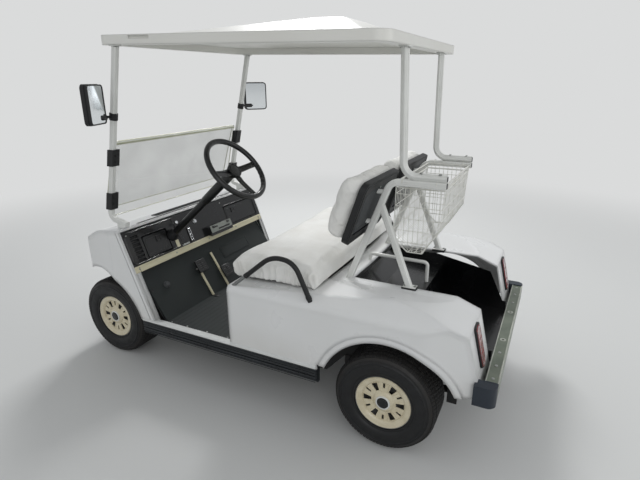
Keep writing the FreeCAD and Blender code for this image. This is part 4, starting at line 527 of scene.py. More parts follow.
def rounded_loop(corners: Sequence[tuple[float, float, float]], steps: int = 6) -> Loop:
    """Rounds the corners of a closed outline.

    Args:
        corners: Each corner's two coordinates and its radius.
        steps: Points round each rounded corner.

    Returns:
        The outline's points in order.
    """
    loop: Loop = []
    for index, (x, y, radius) in enumerate(corners):
        here = Vector((x, y))
        if radius <= 0:
            loop.append((x, y))
            continue
        back = (Vector(corners[index - 1][:2]) - here).normalized()
        ahead = (Vector(corners[(index + 1) % len(corners)][:2]) - here).normalized()
        reach = radius / math.tan(max(back.angle(ahead), 0.05) / 2)
        start, end = here + back * reach, here + ahead * reach
        for step in range(steps + 1):
            t = step / steps
            point = start * (1 - t) ** 2 + here * (2 * t * (1 - t)) + end * t**2
            loop.append((point.x, point.y))
    return loop


def box_loop(width: float, height: float, radius: float, steps: int = 6) -> Loop:
    """Returns a round-cornered rectangle about the origin."""
    half, tall = width / 2, height / 2
    return rounded_loop(
        ((-half, -tall, radius), (half, -tall, radius), (half, tall, radius), (-half, tall, radius)), steps
    )


def round_path(points: Sequence[Point], bend: float, steps: int = 8) -> list[Point]:
    """Rounds the inner corners of an open path.

    Args:
        points: The path's corners.
        bend: Distance from each corner at which the bend starts.
        steps: Points round each bend.

    Returns:
        The rounded path's points.
    """
    path = [Vector(points[0])]
    for before, here, after in zip(points, points[1:], points[2:]):
        corner = Vector(here)
        back, ahead = Vector(before) - corner, Vector(after) - corner
        start = corner + back.normalized() * min(bend, back.length * 0.48)
        end = corner + ahead.normalized() * min(bend, ahead.length * 0.48)
        for step in range(steps + 1):
            t = step / steps
            path.append(start * (1 - t) ** 2 + corner * (2 * t * (1 - t)) + end * t**2)
    path.append(Vector(points[-1]))
    return [tuple(point) for point in path]


def axes(origin: Point, right: Point, up: Point) -> Matrix:
    """Returns the matrix that takes local X to right, Y to up and Z to their cross product."""
    x = Vector(right).normalized()
    z = x.cross(Vector(up)).normalized()
    turn = Matrix((x, z.cross(x), z)).transposed().to_4x4()
    return Matrix.Translation(origin) @ turn


def from_curve(curve: bpy.types.Curve) -> bpy.types.Mesh:
    """Turns a curve into a mesh and removes the curve."""
    holder = bpy.data.objects.new("curve", curve)
    mesh = bpy.data.meshes.new_from_object(holder)
    bpy.data.objects.remove(holder)
    bpy.data.curves.remove(curve)
    return mesh


def plate(loops: Sequence[Loop], thick: float, bevel: float = 0.0, steps: int = 2) -> bpy.types.Mesh:
    """Cuts a flat plate with holes and softened edges.

    Args:
        loops: The outline and any holes inside it.
        thick: Thickness along local Z, half each way.
        bevel: Radius of the softened edges.
        steps: Facets round each edge.

    Returns:
        The plate as a mesh in its own plane.
    """
    curve = bpy.data.curves.new("plate", "CURVE")
    curve.dimensions = "2D"
    curve.fill_mode = "BOTH"
    curve.extrude = max(thick / 2 - bevel, 0.0)
    curve.bevel_depth = bevel
    curve.bevel_resolution = steps
    curve.offset = -bevel
    for loop in loops:
        spline = curve.splines.new("POLY")
        spline.points.add(len(loop) - 1)
        for point, (x, y) in zip(spline.points, loop):
            point.co = (x, y, 0.0, 1.0)
        spline.use_cyclic_u = True
    return from_curve(curve)


def rod(points: Sequence[Point], radius: float, closed: bool = False, sides: int = 3) -> bpy.types.Mesh:
    """Draws a round bar along a path.

    Args:
        points: The path.
        radius: The bar's radius.
        closed: Whether its ends meet.
        sides: Half the facets of a quarter turn of its section.

    Returns:
        The bar as a mesh.
    """
    curve = bpy.data.curves.new("rod", "CURVE")
    curve.dimensions = "3D"
    curve.bevel_depth = radius
    curve.bevel_resolution = sides
    curve.use_fill_caps = not closed
    spline = curve.splines.new("POLY")
    spline.points.add(len(points) - 1)
    for point, place in zip(spline.points, points):
        point.co = (*place, 1.0)
    spline.use_cyclic_u = closed
    return from_curve(curve)


def lathe(profile: Sequence[tuple[float, float]], steps: int = 96, closed: bool = False) -> bpy.types.Mesh:
    """Turns a profile about the Y axis.

    Args:
        profile: Distances along the axis and radii, from the inner end outwards.
        steps: Facets of a full turn.
        closed: Whether the profile's ends meet.

    Returns:
        The turned mesh, its normals outwards.
    """
    mesh = bmesh.new()
    rings = []
    for turn in range(steps):
        angle = math.tau * turn / steps
        rings.append([
            mesh.verts.new((radius * math.cos(angle), along, radius * math.sin(angle)))
            for along, radius in profile
        ])
    count = len(profile)
    for turn in range(steps):
        here, after = rings[turn], rings[(turn + 1) % steps]
        for index in range(count if closed else count - 1):
            follow = (index + 1) % count
            mesh.faces.new((here[index], here[follow], after[follow], after[index]))
    bmesh.ops.remove_doubles(mesh, verts=mesh.verts, dist=1e-6)
    bmesh.ops.recalc_face_normals(mesh, faces=mesh.faces)
    made = bpy.data.meshes.new("lathe")
    mesh.to_mesh(made)
    mesh.free()
    return made


def block(low: Point, high: Point, radius: float = 0.0, steps: int = 2) -> bpy.types.Mesh:
    """Makes a block between two corners with rounded edges."""
    mesh = bmesh.new()
    bmesh.ops.create_cube(mesh, size=1.0)
    span = Vector(high) - Vector(low)
    bmesh.ops.transform(
        mesh, verts=mesh.verts,
        matrix=Matrix.Translation((Vector(high) + Vector(low)) / 2) @ Matrix.Diagonal((*span, 1.0)),
    )
    if radius:
        bmesh.ops.bevel(
            mesh, geom=list(mesh.edges), offset=radius, segments=steps, profile=0.5, affect="EDGES"
        )
    made = bpy.data.meshes.new("block")
    mesh.to_mesh(made)
    mesh.free()
    return made


def extruded(loop: Loop, low: float, high: float, radius: float = 0.0, steps: int = 3) -> bpy.types.Mesh:
    """Extrudes an outline along Z between two heights and rounds its end edges."""
    mesh = bmesh.new()
    face = mesh.faces.new([mesh.verts.new((x, y, low)) for x, y in loop])
    raised = bmesh.ops.extrude_face_region(mesh, geom=[face])["geom"]
    bmesh.ops.translate(
        mesh, vec=(0, 0, high - low), verts=[v for v in raised if isinstance(v, bmesh.types.BMVert)]
    )
    bmesh.ops.recalc_face_normals(mesh, faces=mesh.faces)
    if radius:
        rims = [
            edge for edge in mesh.edges
            if abs(edge.verts[0].co.z - edge.verts[1].co.z) < 1e-9
        ]
        bmesh.ops.bevel(mesh, geom=rims, offset=radius, segments=steps, profile=0.5, affect="EDGES",
                        clamp_overlap=True)
    made = bpy.data.meshes.new("extruded")
    mesh.to_mesh(made)
    mesh.free()
    return made


def prism(ends: Sequence[Sequence[Point]]) -> bpy.types.Mesh:
    """Joins two matching outlines by their sides and closes both ends."""
    mesh = bmesh.new()
    caps = [[mesh.verts.new(point) for point in outline] for outline in ends]
    mesh.faces.new(caps[0])
    mesh.faces.new(caps[1])
    for k in range(len(caps[0])):
        follow = (k + 1) % len(caps[0])
        mesh.faces.new((caps[0][k], caps[0][follow], caps[1][follow], caps[1][k]))
    bmesh.ops.recalc_face_normals(mesh, faces=mesh.faces)
    made = bpy.data.meshes.new("prism")
    mesh.to_mesh(made)
    mesh.free()
    return made


REAR_AXLE = 0.730


def rack_point(station: float, reach: float, height: float) -> Point:
    """Turns a station ahead of the rear axle, a reach and a height into the frame's place."""
    return (station - REAR_AXLE, reach, height)


@dataclass
class Assembly:
    """A piece being put together from meshes, each with its finish."""

    name: str
    meshes: list[tuple[bpy.types.Mesh, Look]] = field(default_factory=list)

    def add(self, mesh: bpy.types.Mesh, look: Look, place: Matrix | None = None) -> None:
        """Adds a mesh with one finish, moved to its place."""
        if place is not None:
            mesh.transform(place)
            if place.determinant() < 0:
                mesh.flip_normals()
        self.meshes.append((mesh, look))


@dataclass
class Workshop:
    """The finishes once built, the growing trees and the fitting of pieces."""

    frame: dict

    def __post_init__(self) -> None:
        """Builds every finish and tree once."""
        self.paints = {look: look.value.build() for look in Look}
        self.wires = WireTree().build()
        self.spots = SpotTree().build()
        self.rings = RingTree().build()

    def dress_nodes(self) -> None:
        """Gives each node of the frame its finish."""
        for look, names in NODE_LOOKS.items():
            for name in names:
                mesh = self.frame["nodes"][name].data
                mesh.materials.clear()
                mesh.materials.append(self.paints[look])
        LOG.info("dressed %d nodes", sum(len(names) for names in NODE_LOOKS.values()))

    def fit(
        self, piece: Assembly, body: str, replaces: Sequence[str] = (), smooth: float = 40.0
    ) -> bpy.types.Object:
        """Joins an assembly into one object that rides on a body.

        Args:
            piece: The assembly.
            body: The body it moves with.
            replaces: CAD nodes that it stands for.
            smooth: Angle in degrees below which edges are shaded smooth.

        Returns:
            The finished object.
        """
        joined = bmesh.new()
        looks: list[Look] = []
        for mesh, look in piece.meshes:
            if look not in looks:
                looks.append(look)
            first = len(joined.faces)
            joined.from_mesh(mesh)
            joined.faces.ensure_lookup_table()
            for face in joined.faces[first:]:
                face.material_index = looks.index(look)
            bpy.data.meshes.remove(mesh)
        made = bpy.data.meshes.new(piece.name)
        joined.to_mesh(made)
        joined.free()
        for look in looks:
            made.materials.append(self.paints[look])
        made.shade_smooth()
        made.set_sharp_from_angle(angle=math.radians(smooth))
        thing = bpy.data.objects.new(piece.name, made)
        bpy.context.scene.collection.objects.link(thing)
        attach(thing, body)
        if replaces:
            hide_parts(*replaces)
        LOG.info("%s: %d faces on %s", piece.name, len(made.polygons), body)
        return thing

    def grow(
        self, base: bpy.types.Mesh, tree: bpy.types.NodeTree, look: Look, sizes: dict[str, object]
    ) -> bpy.types.Mesh:
        """Runs one of the trees on a mesh and returns the plain result.

        Args:
            base: The mesh that the tree starts from.
            tree: The tree.
            look: The finish it sets.
            sizes: Values of its named inputs.

        Returns:
            The grown mesh.
        """
        holder = bpy.data.objects.new("seed", base)
        bpy.context.scene.collection.objects.link(holder)
        modifier = holder.modifiers.new("grow", "NODES")
        modifier.node_group = tree
        named = {
            item.name: item.identifier for item in tree.interface.items_tree
            if item.item_type == "SOCKET" and item.in_out == "INPUT"
        }
        for name, value in {**sizes, "Finish": self.paints[look]}.items():
            modifier[named[name]] = value
        bpy.context.view_layer.update()
        grown = bpy.data.meshes.new_from_object(
            holder.evaluated_get(bpy.context.evaluated_depsgraph_get())
        )
        holder.modifiers.clear()
        bpy.data.objects.remove(holder)
        return grown

    def wire_net(
        self, runs: Sequence[Sequence[Point]], radius: float, look: Look, sides: int = 8, bend: float = 0.0
    ) -> bpy.types.Mesh:
        """Sweeps a wire along each of several runs.

        Args:
            runs: The paths.
            radius: The wire's radius.
            look: Its finish.
            sides: Facets of its section.
            bend: Radius at the corners.

        Returns:
            The wires as one mesh.
        """
        points, edges = [], []
        for run in runs:
            first = len(points)
            points += [tuple(point) for point in run]
            edges += [(i, i + 1) for i in range(first, len(points) - 1)]
        base = bpy.data.meshes.new("runs")
        base.from_pydata(points, edges, [])
        return self.grow(base, self.wires, look, {"Radius": radius, "Sides": sides, "Bend": bend})

    def spotted(
        self, spots: Sequence[tuple[Point, Point]], pattern: bpy.types.Mesh, look: Look, seed: int = 1
    ) -> bpy.types.Mesh:
        """Sets a small shape at each of several points.

        Args:
            spots: Each point and the direction that the shape's Z faces.
            pattern: The shape.
            look: Its finish.
            seed: Start of the random turn about each direction.

        Returns:
            The shapes as one mesh.
        """
        base = bpy.data.meshes.new("spots")
        base.from_pydata([point for point, _ in spots], [], [])
        facing = base.attributes.new("facing", "FLOAT_VECTOR", "POINT")
        facing.data.foreach_set("vector", [value for _, way in spots for value in way])
        shape = bpy.data.objects.new("pattern", pattern)
        grown = self.grow(base, self.spots, look, {"Shape": shape, "Seed": seed})
        bpy.data.objects.remove(shape)
        return grown

    def ringed(self, pattern: bpy.types.Mesh, look: Look, count: int, offset: float = 0.0) -> bpy.types.Mesh:
        """Repeats a shape evenly round the Y axis.

        Args:
            pattern: The shape, in its place at angle zero.
            look: Its finish.
            count: How many there are.
            offset: First angle in radians.

        Returns:
            The shapes as one mesh.
        """
        base = bpy.data.meshes.new("ring")
        base.from_pydata([(0, 0, 0)], [], [])
        shape = bpy.data.objects.new("pattern", pattern)
        grown = self.grow(base, self.rings, look, {"Shape": shape, "Count": count, "Offset": offset})
        bpy.data.objects.remove(shape)
        return grown

    def lay_wires(
        self, piece: Assembly, runs: Sequence[Sequence[Point]], radius: float, look: Look,
        sides: int = 8, bend: float = 0.0, place: Matrix | None = None
    ) -> None:
        """Adds wires along several runs to a piece."""
        piece.add(self.wire_net(runs, radius, look, sides, bend), look, place)

    def lay_spots(
        self, piece: Assembly, spots: Sequence[tuple[Point, Point]], pattern: bpy.types.Mesh, look: Look,
        seed: int = 1, place: Matrix | None = None
    ) -> None:
        """Adds a small shape at each of several points to a piece."""
        piece.add(self.spotted(spots, pattern, look, seed), look, place)

    def lay_ring(
        self, piece: Assembly, pattern: bpy.types.Mesh, look: Look, count: int, offset: float = 0.0,
        place: Matrix | None = None
    ) -> None:
        """Adds a shape repeated round the Y axis to a piece."""
        piece.add(self.ringed(pattern, look, count, offset), look, place)


def open_tree(name: str, inputs: dict[str, str]) -> tuple[bpy.types.NodeTree, bpy.types.Node]:
    """Starts a geometry tree with named inputs.

    Args:
        name: The tree's name.
        inputs: Name of each input and its socket type.

    Returns:
        The tree and its group input node.
    """
    tree = bpy.data.node_groups.new(name, "GeometryNodeTree")
    for label, kind in {"Geometry": "NodeSocketGeometry", **inputs}.items():
        tree.interface.new_socket(label, in_out="INPUT", socket_type=kind)
    tree.interface.new_socket("Geometry", in_out="OUTPUT", socket_type="NodeSocketGeometry")
    return tree, add_node(tree, "NodeGroupInput")


def close_tree(tree: bpy.types.NodeTree, shape: bpy.types.NodeSocket, finish: bpy.types.NodeSocket) -> None:
    """Ends a geometry tree in plain, finished mesh."""
    real = add_node(tree, "GeometryNodeRealizeInstances", {"Geometry": shape}).outputs[0]
    painted = add_node(tree, "GeometryNodeSetMaterial", {"Geometry": real, "Material": finish}).outputs[0]
    add_node(tree, "NodeGroupOutput", {"Geometry": painted})


@dataclass(frozen=True)
class WireTree:
    """A round wire along every run of edges, its corners bent."""

    name: str = "wires_along_runs"

    def build(self) -> bpy.types.NodeTree:
        """Builds the tree."""
        tree, given = open_tree(self.name, {
            "Radius": "NodeSocketFloat", "Sides": "NodeSocketInt", "Bend": "NodeSocketFloat",
            "Finish": "NodeSocketMaterial",
        })
        path = add_node(tree, "GeometryNodeMeshToCurve", {"Mesh": given.outputs["Geometry"]}).outputs[0]
        bent = add_node(
            tree, "GeometryNodeFilletCurve",
            {"Curve": path, "Radius": given.outputs["Bend"], "Count": 4, "Limit Radius": True}, mode="POLY",
        ).outputs[0]
        section = add_node(
            tree, "GeometryNodeCurvePrimitiveCircle",
            {"Resolution": given.outputs["Sides"], "Radius": given.outputs["Radius"]},
        ).outputs[0]
        swept = add_node(
            tree, "GeometryNodeCurveToMesh", {"Curve": bent, "Profile Curve": section, "Fill Caps": True}
        ).outputs[0]
        close_tree(tree, swept, given.outputs["Finish"])
        return tree


@dataclass(frozen=True)
class SpotTree:
    """A small shape on every point, facing the point's own way with a random turn."""

    name: str = "shapes_on_spots"

    def build(self) -> bpy.types.NodeTree:
        """Builds the tree."""
        tree, given = open_tree(self.name, {
            "Shape": "NodeSocketObject", "Seed": "NodeSocketInt", "Finish": "NodeSocketMaterial",
        })
        shape = add_node(tree, "GeometryNodeObjectInfo", {"Object": given.outputs["Shape"]})
        way = add_node(tree, "GeometryNodeInputNamedAttribute", {"Name": "facing"}, data_type="FLOAT_VECTOR")
        spin = add_node(
            tree, "FunctionNodeRandomValue", {"Seed": given.outputs["Seed"]}, data_type="FLOAT"
        )
        spin.inputs[3].default_value = math.pi
        turn = add_node(
            tree, "FunctionNodeAlignRotationToVector", {"Vector": way.outputs[0]}, axis="Z"
        ).outputs[0]
        about = add_node(tree, "ShaderNodeCombineXYZ", {"Z": spin.outputs[1]}).outputs[0]
        points = add_node(tree, "GeometryNodeMeshToPoints", {"Mesh": given.outputs["Geometry"]}).outputs[0]
        placed = add_node(
            tree, "GeometryNodeInstanceOnPoints",
            {"Points": points, "Instance": shape.outputs["Geometry"], "Rotation": turn},
        ).outputs[0]
        turned = add_node(
            tree, "GeometryNodeRotateInstances", {"Instances": placed, "Rotation": about, "Local Space": True}
        ).outputs[0]
        close_tree(tree, turned, given.outputs["Finish"])
        return tree


@dataclass(frozen=True)
class RingTree:
    """A shape repeated evenly round the Y axis."""

    name: str = "shapes_round_axle"

    def build(self) -> bpy.types.NodeTree:
        """Builds the tree."""
        tree, given = open_tree(self.name, {
            "Shape": "NodeSocketObject", "Count": "NodeSocketInt", "Offset": "NodeSocketFloat",
            "Finish": "NodeSocketMaterial",
        })
        shape = add_node(tree, "GeometryNodeObjectInfo", {"Object": given.outputs["Shape"]})
        line = add_node(tree, "GeometryNodeMeshLine", {"Count": given.outputs["Count"]})
        line.inputs["Offset"].default_value = (0.0, 0.0, 0.0)
        step = add_node(tree, "ShaderNodeMath", {0: math.tau, 1: given.outputs["Count"]}, operation="DIVIDE")
        number = add_node(tree, "GeometryNodeInputIndex").outputs[0]
        angle = add_node(
            tree, "ShaderNodeMath",
            {0: number, 1: step.outputs[0], 2: given.outputs["Offset"]}, operation="MULTIPLY_ADD",
        ).outputs[0]
        about = add_node(tree, "ShaderNodeCombineXYZ", {"Y": angle}).outputs[0]
        placed = add_node(
            tree, "GeometryNodeInstanceOnPoints",
            {"Points": line.outputs[0], "Instance": shape.outputs["Geometry"], "Rotation": about},
        ).outputs[0]
        close_tree(tree, placed, given.outputs["Finish"])
        return tree


def screw_head(radius: float) -> bpy.types.Mesh:
    """Makes a domed screw head with a cross recess, facing Z."""
    mesh = bmesh.new()
    rings = ((1.0, 0.0), (1.0, 0.18), (0.85, 0.40), (0.5, 0.52), (0.34, 0.54))
    steps = 12
    made = [[
        mesh.verts.new((radius * out * math.cos(math.tau * k / steps),
                        radius * out * math.sin(math.tau * k / steps), radius * up))
        for k in range(steps)
    ] for out, up in rings]
    for lower, upper in zip(made, made[1:]):
        for k in range(steps):
            mesh.faces.new((lower[k], lower[(k + 1) % steps], upper[(k + 1) % steps], upper[k]))
    pit = [
        mesh.verts.new((vert.co.x * (0.95 if k % 3 == 0 else 0.45),
                        vert.co.y * (0.95 if k % 3 == 0 else 0.45), radius * 0.20))
        for k, vert in enumerate(made[-1])
    ]
    for k in range(steps):
        mesh.faces.new((made[-1][k], made[-1][(k + 1) % steps], pit[(k + 1) % steps], pit[k]))
    mesh.faces.new(pit)
    shape = bpy.data.meshes.new("screw_head")
    mesh.to_mesh(shape)
    mesh.free()
    return shape


def hex_head(across: float, tall: float) -> bpy.types.Mesh:
    """Makes a hexagon bolt head on a washer, facing Z."""
    head = [(across / 2 * math.cos(math.tau * k / 6),
             across / 2 * math.sin(math.tau * k / 6)) for k in range(6)]
    washer = [(across * 0.72 * math.cos(math.tau * k / 18), across * 0.72 * math.sin(math.tau * k / 18))
              for k in range(18)]
    mesh = bmesh.new()
    for loop, low, high, radius in ((washer, 0.0, tall * 0.25, 0.0), (head, tall * 0.2, tall, across * 0.06)):
        part = extruded(loop, low, high, radius, 1)
        mesh.from_mesh(part)
        bpy.data.meshes.remove(part)
    shape = bpy.data.meshes.new("hex_head")
    mesh.to_mesh(shape)
    mesh.free()
    return shape


@dataclass
class Wheels:
    """Four tyres on steel wheels behind moulded covers."""

    shop: Workshop
    front: float = 0.934
    rear: float = -0.730
    front_track: float = 0.872
    rear_track: float = 0.988
    height: float = 0.226
    web: float = 0.094
    web_face: float = 0.076
    window_pairs: int = 6
    lug_count: int = 84

    def build(self) -> None:
        """Makes each wheel in its place."""
        for end, along, track in (("front", self.front, self.front_track),
                                  ("rear", self.rear, self.rear_track)):
            for side in Side:
                place = Matrix.Translation((along, side.value * track / 2, self.height))
                if side is Side.RIGHT:
                    place = place @ Matrix.Rotation(math.pi, 4, "Z")
                key = f"{end}_{side.word}"
                self._tyre(key, place)
                self._wheel(key, place)

    def _tyre(self, key: str, place: Matrix) -> None:
        """Turns the sidewalls and sets the tread lugs round them."""
        side = (
            (0.0850, 0.1262), (0.0925, 0.1290), (0.0938, 0.1330), (0.0930, 0.1375), (0.0975, 0.1420),
            (0.1005, 0.1520), (0.1022, 0.1640), (0.1018, 0.1760), (0.1010, 0.1835), (0.1026, 0.1850),
            (0.1026, 0.1888), (0.1000, 0.1902), (0.0975, 0.1970), (0.0988, 0.1985), (0.0980, 0.2022),
            (0.0955, 0.2034), (0.0928, 0.2090), (0.0885, 0.2142), (0.0820, 0.2196), (0.0745, 0.2224),
            (0.0400, 0.2234), (0.0, 0.2238),
        )
        profile = list(side) + [(-along, radius) for along, radius in reversed(side[:-1])]
        skin = lathe(profile, 120, closed=True)
        reach = skin.uv_layers.new(name="radius")
        for loop in skin.loops:
            spot = skin.vertices[loop.vertex_index].co
            reach.data[loop.index].uv = (math.hypot(spot.x, spot.z), 0.0)
        piece = Assembly(f"tyre_and_tread_{key}")
        piece.add(skin, Look.TYRE, place)
        rows = ((0.0, 0.020, 0.5), (0.027, 0.021, 0.0), (0.054, 0.021, 0.5))
        for along, width, shift in rows:
            for sign in ((1, -1) if along else (1,)):
                lug = block((0.2215, sign * along - width / 2, -0.0071),
                            (0.2260, sign * along + width / 2, 0.0071),
                            0.0010, 1)
                self.shop.lay_ring(piece, lug, Look.TREAD, self.lug_count, math.tau * shift / self.lug_count,
                                   place=place)
        for sign in (1, -1):
            lug = block((-0.0014, -0.0105, -0.0068), (0.0014, 0.0105, 0.0068), 0.0008, 1)
            lug.transform(Matrix.Translation((0.2200, sign * 0.0805, 0.0))
                          @ Matrix.Rotation(sign * math.radians(26), 4, "Z"))
            self.shop.lay_ring(piece, lug, Look.TREAD, self.lug_count, place=place)
        self.shop.fit(piece, f"wheel_{key}", (f"tyre_{key}",), 50)

    def _windows(self) -> list[Loop]:
        """Returns the outlines of the cover's large and small windows."""
        large = rounded_loop(((0.054, -0.0085, 0.003), (0.092, -0.0150, 0.0045), (0.092, 0.0150, 0.0045),
                              (0.054, 0.0085, 0.003)), 4)
        small = rounded_loop(((0.066, -0.0050, 0.002), (0.092, -0.0058, 0.002), (0.092, 0.0058, 0.002),
                              (0.066, 0.0050, 0.002)), 3)
        loops = []
        for index in range(self.window_pairs):
            for shape, turn in ((large, 0.0), (small, 0.5)):
                angle = math.tau * (index + turn) / self.window_pairs
                cos, sin = math.cos(angle), math.sin(angle)
                loops.append([(x * cos - y * sin, x * sin + y * cos) for x, y in shape])
        return loops

    def _wheel(self, key: str, place: Matrix) -> None:
        """Makes the steel wheel, its nuts, the cover and the blank centre cap."""
        piece = Assembly(f"wheel_and_cover_{key}")
        rim = ((-0.0880, 0.1257), (-0.0835, 0.1250), (-0.0800, 0.1185), (-0.0550, 0.1160), (-0.0350, 0.1050),
               (0.0350, 0.1050), (0.0550, 0.1160), (0.0800, 0.1185), (0.0835, 0.1250), (0.0870, 0.1257))
        inside = [(along * 0.985, radius - 0.0032) for along, radius in reversed(rim)]
        piece.add(lathe(list(rim) + inside, 96, closed=True), Look.WHEEL_STEEL, place)
        disc = ((0.0260, 0.0200), (0.0260, 0.0420), (0.0320, 0.0520), (0.0340, 0.0650), (0.0240, 0.0800),
                (0.0140, 0.1045), (0.0100, 0.1045), (0.0200, 0.0790), (0.0300, 0.0650), (0.0280, 0.0530),
                (0.0220, 0.0430), (0.0220, 0.0200))
        piece.add(lathe(disc, 72, closed=True), Look.WHEEL_STEEL, place)
        nuts = [
            ((0.0508 * math.cos(k * math.pi / 2), 0.0315, 0.0508 * math.sin(k * math.pi / 2)),
             (0.0, 1.0, 0.0))
            for k in range(4)
        ]
        self.shop.lay_spots(piece, nuts, hex_head(0.019, 0.014), Look.ZINC, 3, place=place)
        hub = ((0.0240, 0.0), (0.0240, 0.0260), (0.0420, 0.0240), (0.0460, 0.0200), (0.0460, 0.0))
        piece.add(lathe(hub, 36), Look.CHASSIS, place)
        windows = self._windows()
        circle = [
            [(radius * math.cos(math.tau * k / 96), radius * math.sin(math.tau * k / 96)) for k in range(96)]
            for radius in (self.web, 0.034)
        ]
        web = plate([circle[0], circle[1], *windows], 0.004)
        upright = axes((0.0, self.web_face - 0.002, 0.0), (1.0, 0.0, 0.0), (0.0, 0.0, 1.0))
        piece.add(web, Look.COVER, place @ upright)
        beads = [[(x, self.web_face, z) for x, z in [*loop, loop[0]]] for loop in windows]
        self.shop.lay_wires(piece, beads, 0.0011, Look.COVER, 6, place=place)
        rib = rod(((0.0495, self.web_face, 0.0), (0.0905, self.web_face, 0.0)), 0.0014)
        self.shop.lay_ring(piece, rib, Look.COVER, 2 * self.window_pairs, math.pi / 12, place=place)
        band = ((0.0745, 0.0925), (0.0800, 0.0950), (0.0850, 0.1000), (0.0868, 0.1060), (0.0876, 0.1120),
                (0.0878, 0.1165), (0.0890, 0.1180), (0.0890, 0.1212), (0.0868, 0.1232), (0.0835, 0.1236),
                (0.0835, 0.1220), (0.0850, 0.1180), (0.0838, 0.1060), (0.0775, 0.0975), (0.0715, 0.0925))
        piece.add(lathe(band, 96, closed=True), Look.COVER, place)
        boss = ((0.0745, 0.0500), (0.0775, 0.0480), (0.0815, 0.0415), (0.0838, 0.0370), (0.0845, 0.0330),
                (0.0845, 0.0300), (0.0820, 0.0300), (0.0805, 0.0360), (0.0775, 0.0420), (0.0735, 0.0470))
        piece.add(lathe(boss, 72, closed=True), Look.COVER, place)
        ring = ((0.0840, 0.0325), (0.0885, 0.0312), (0.0900, 0.0290), (0.0900, 0.0265), (0.0880, 0.0250),
                (0.0840, 0.0250))
        piece.add(lathe(ring, 64, closed=True), Look.TUBE, place)
        cap = ((0.0840, 0.0), (0.0840, 0.0250), (0.0880, 0.0250), (0.0905, 0.0238), (0.0918, 0.0200),
               (0.0926, 0.0110), (0.0928, 0.0))
        piece.add(lathe(cap, 64), Look.DASH, place)
        self.shop.fit(piece, f"wheel_{key}", (f"rim_{key}",), 38)


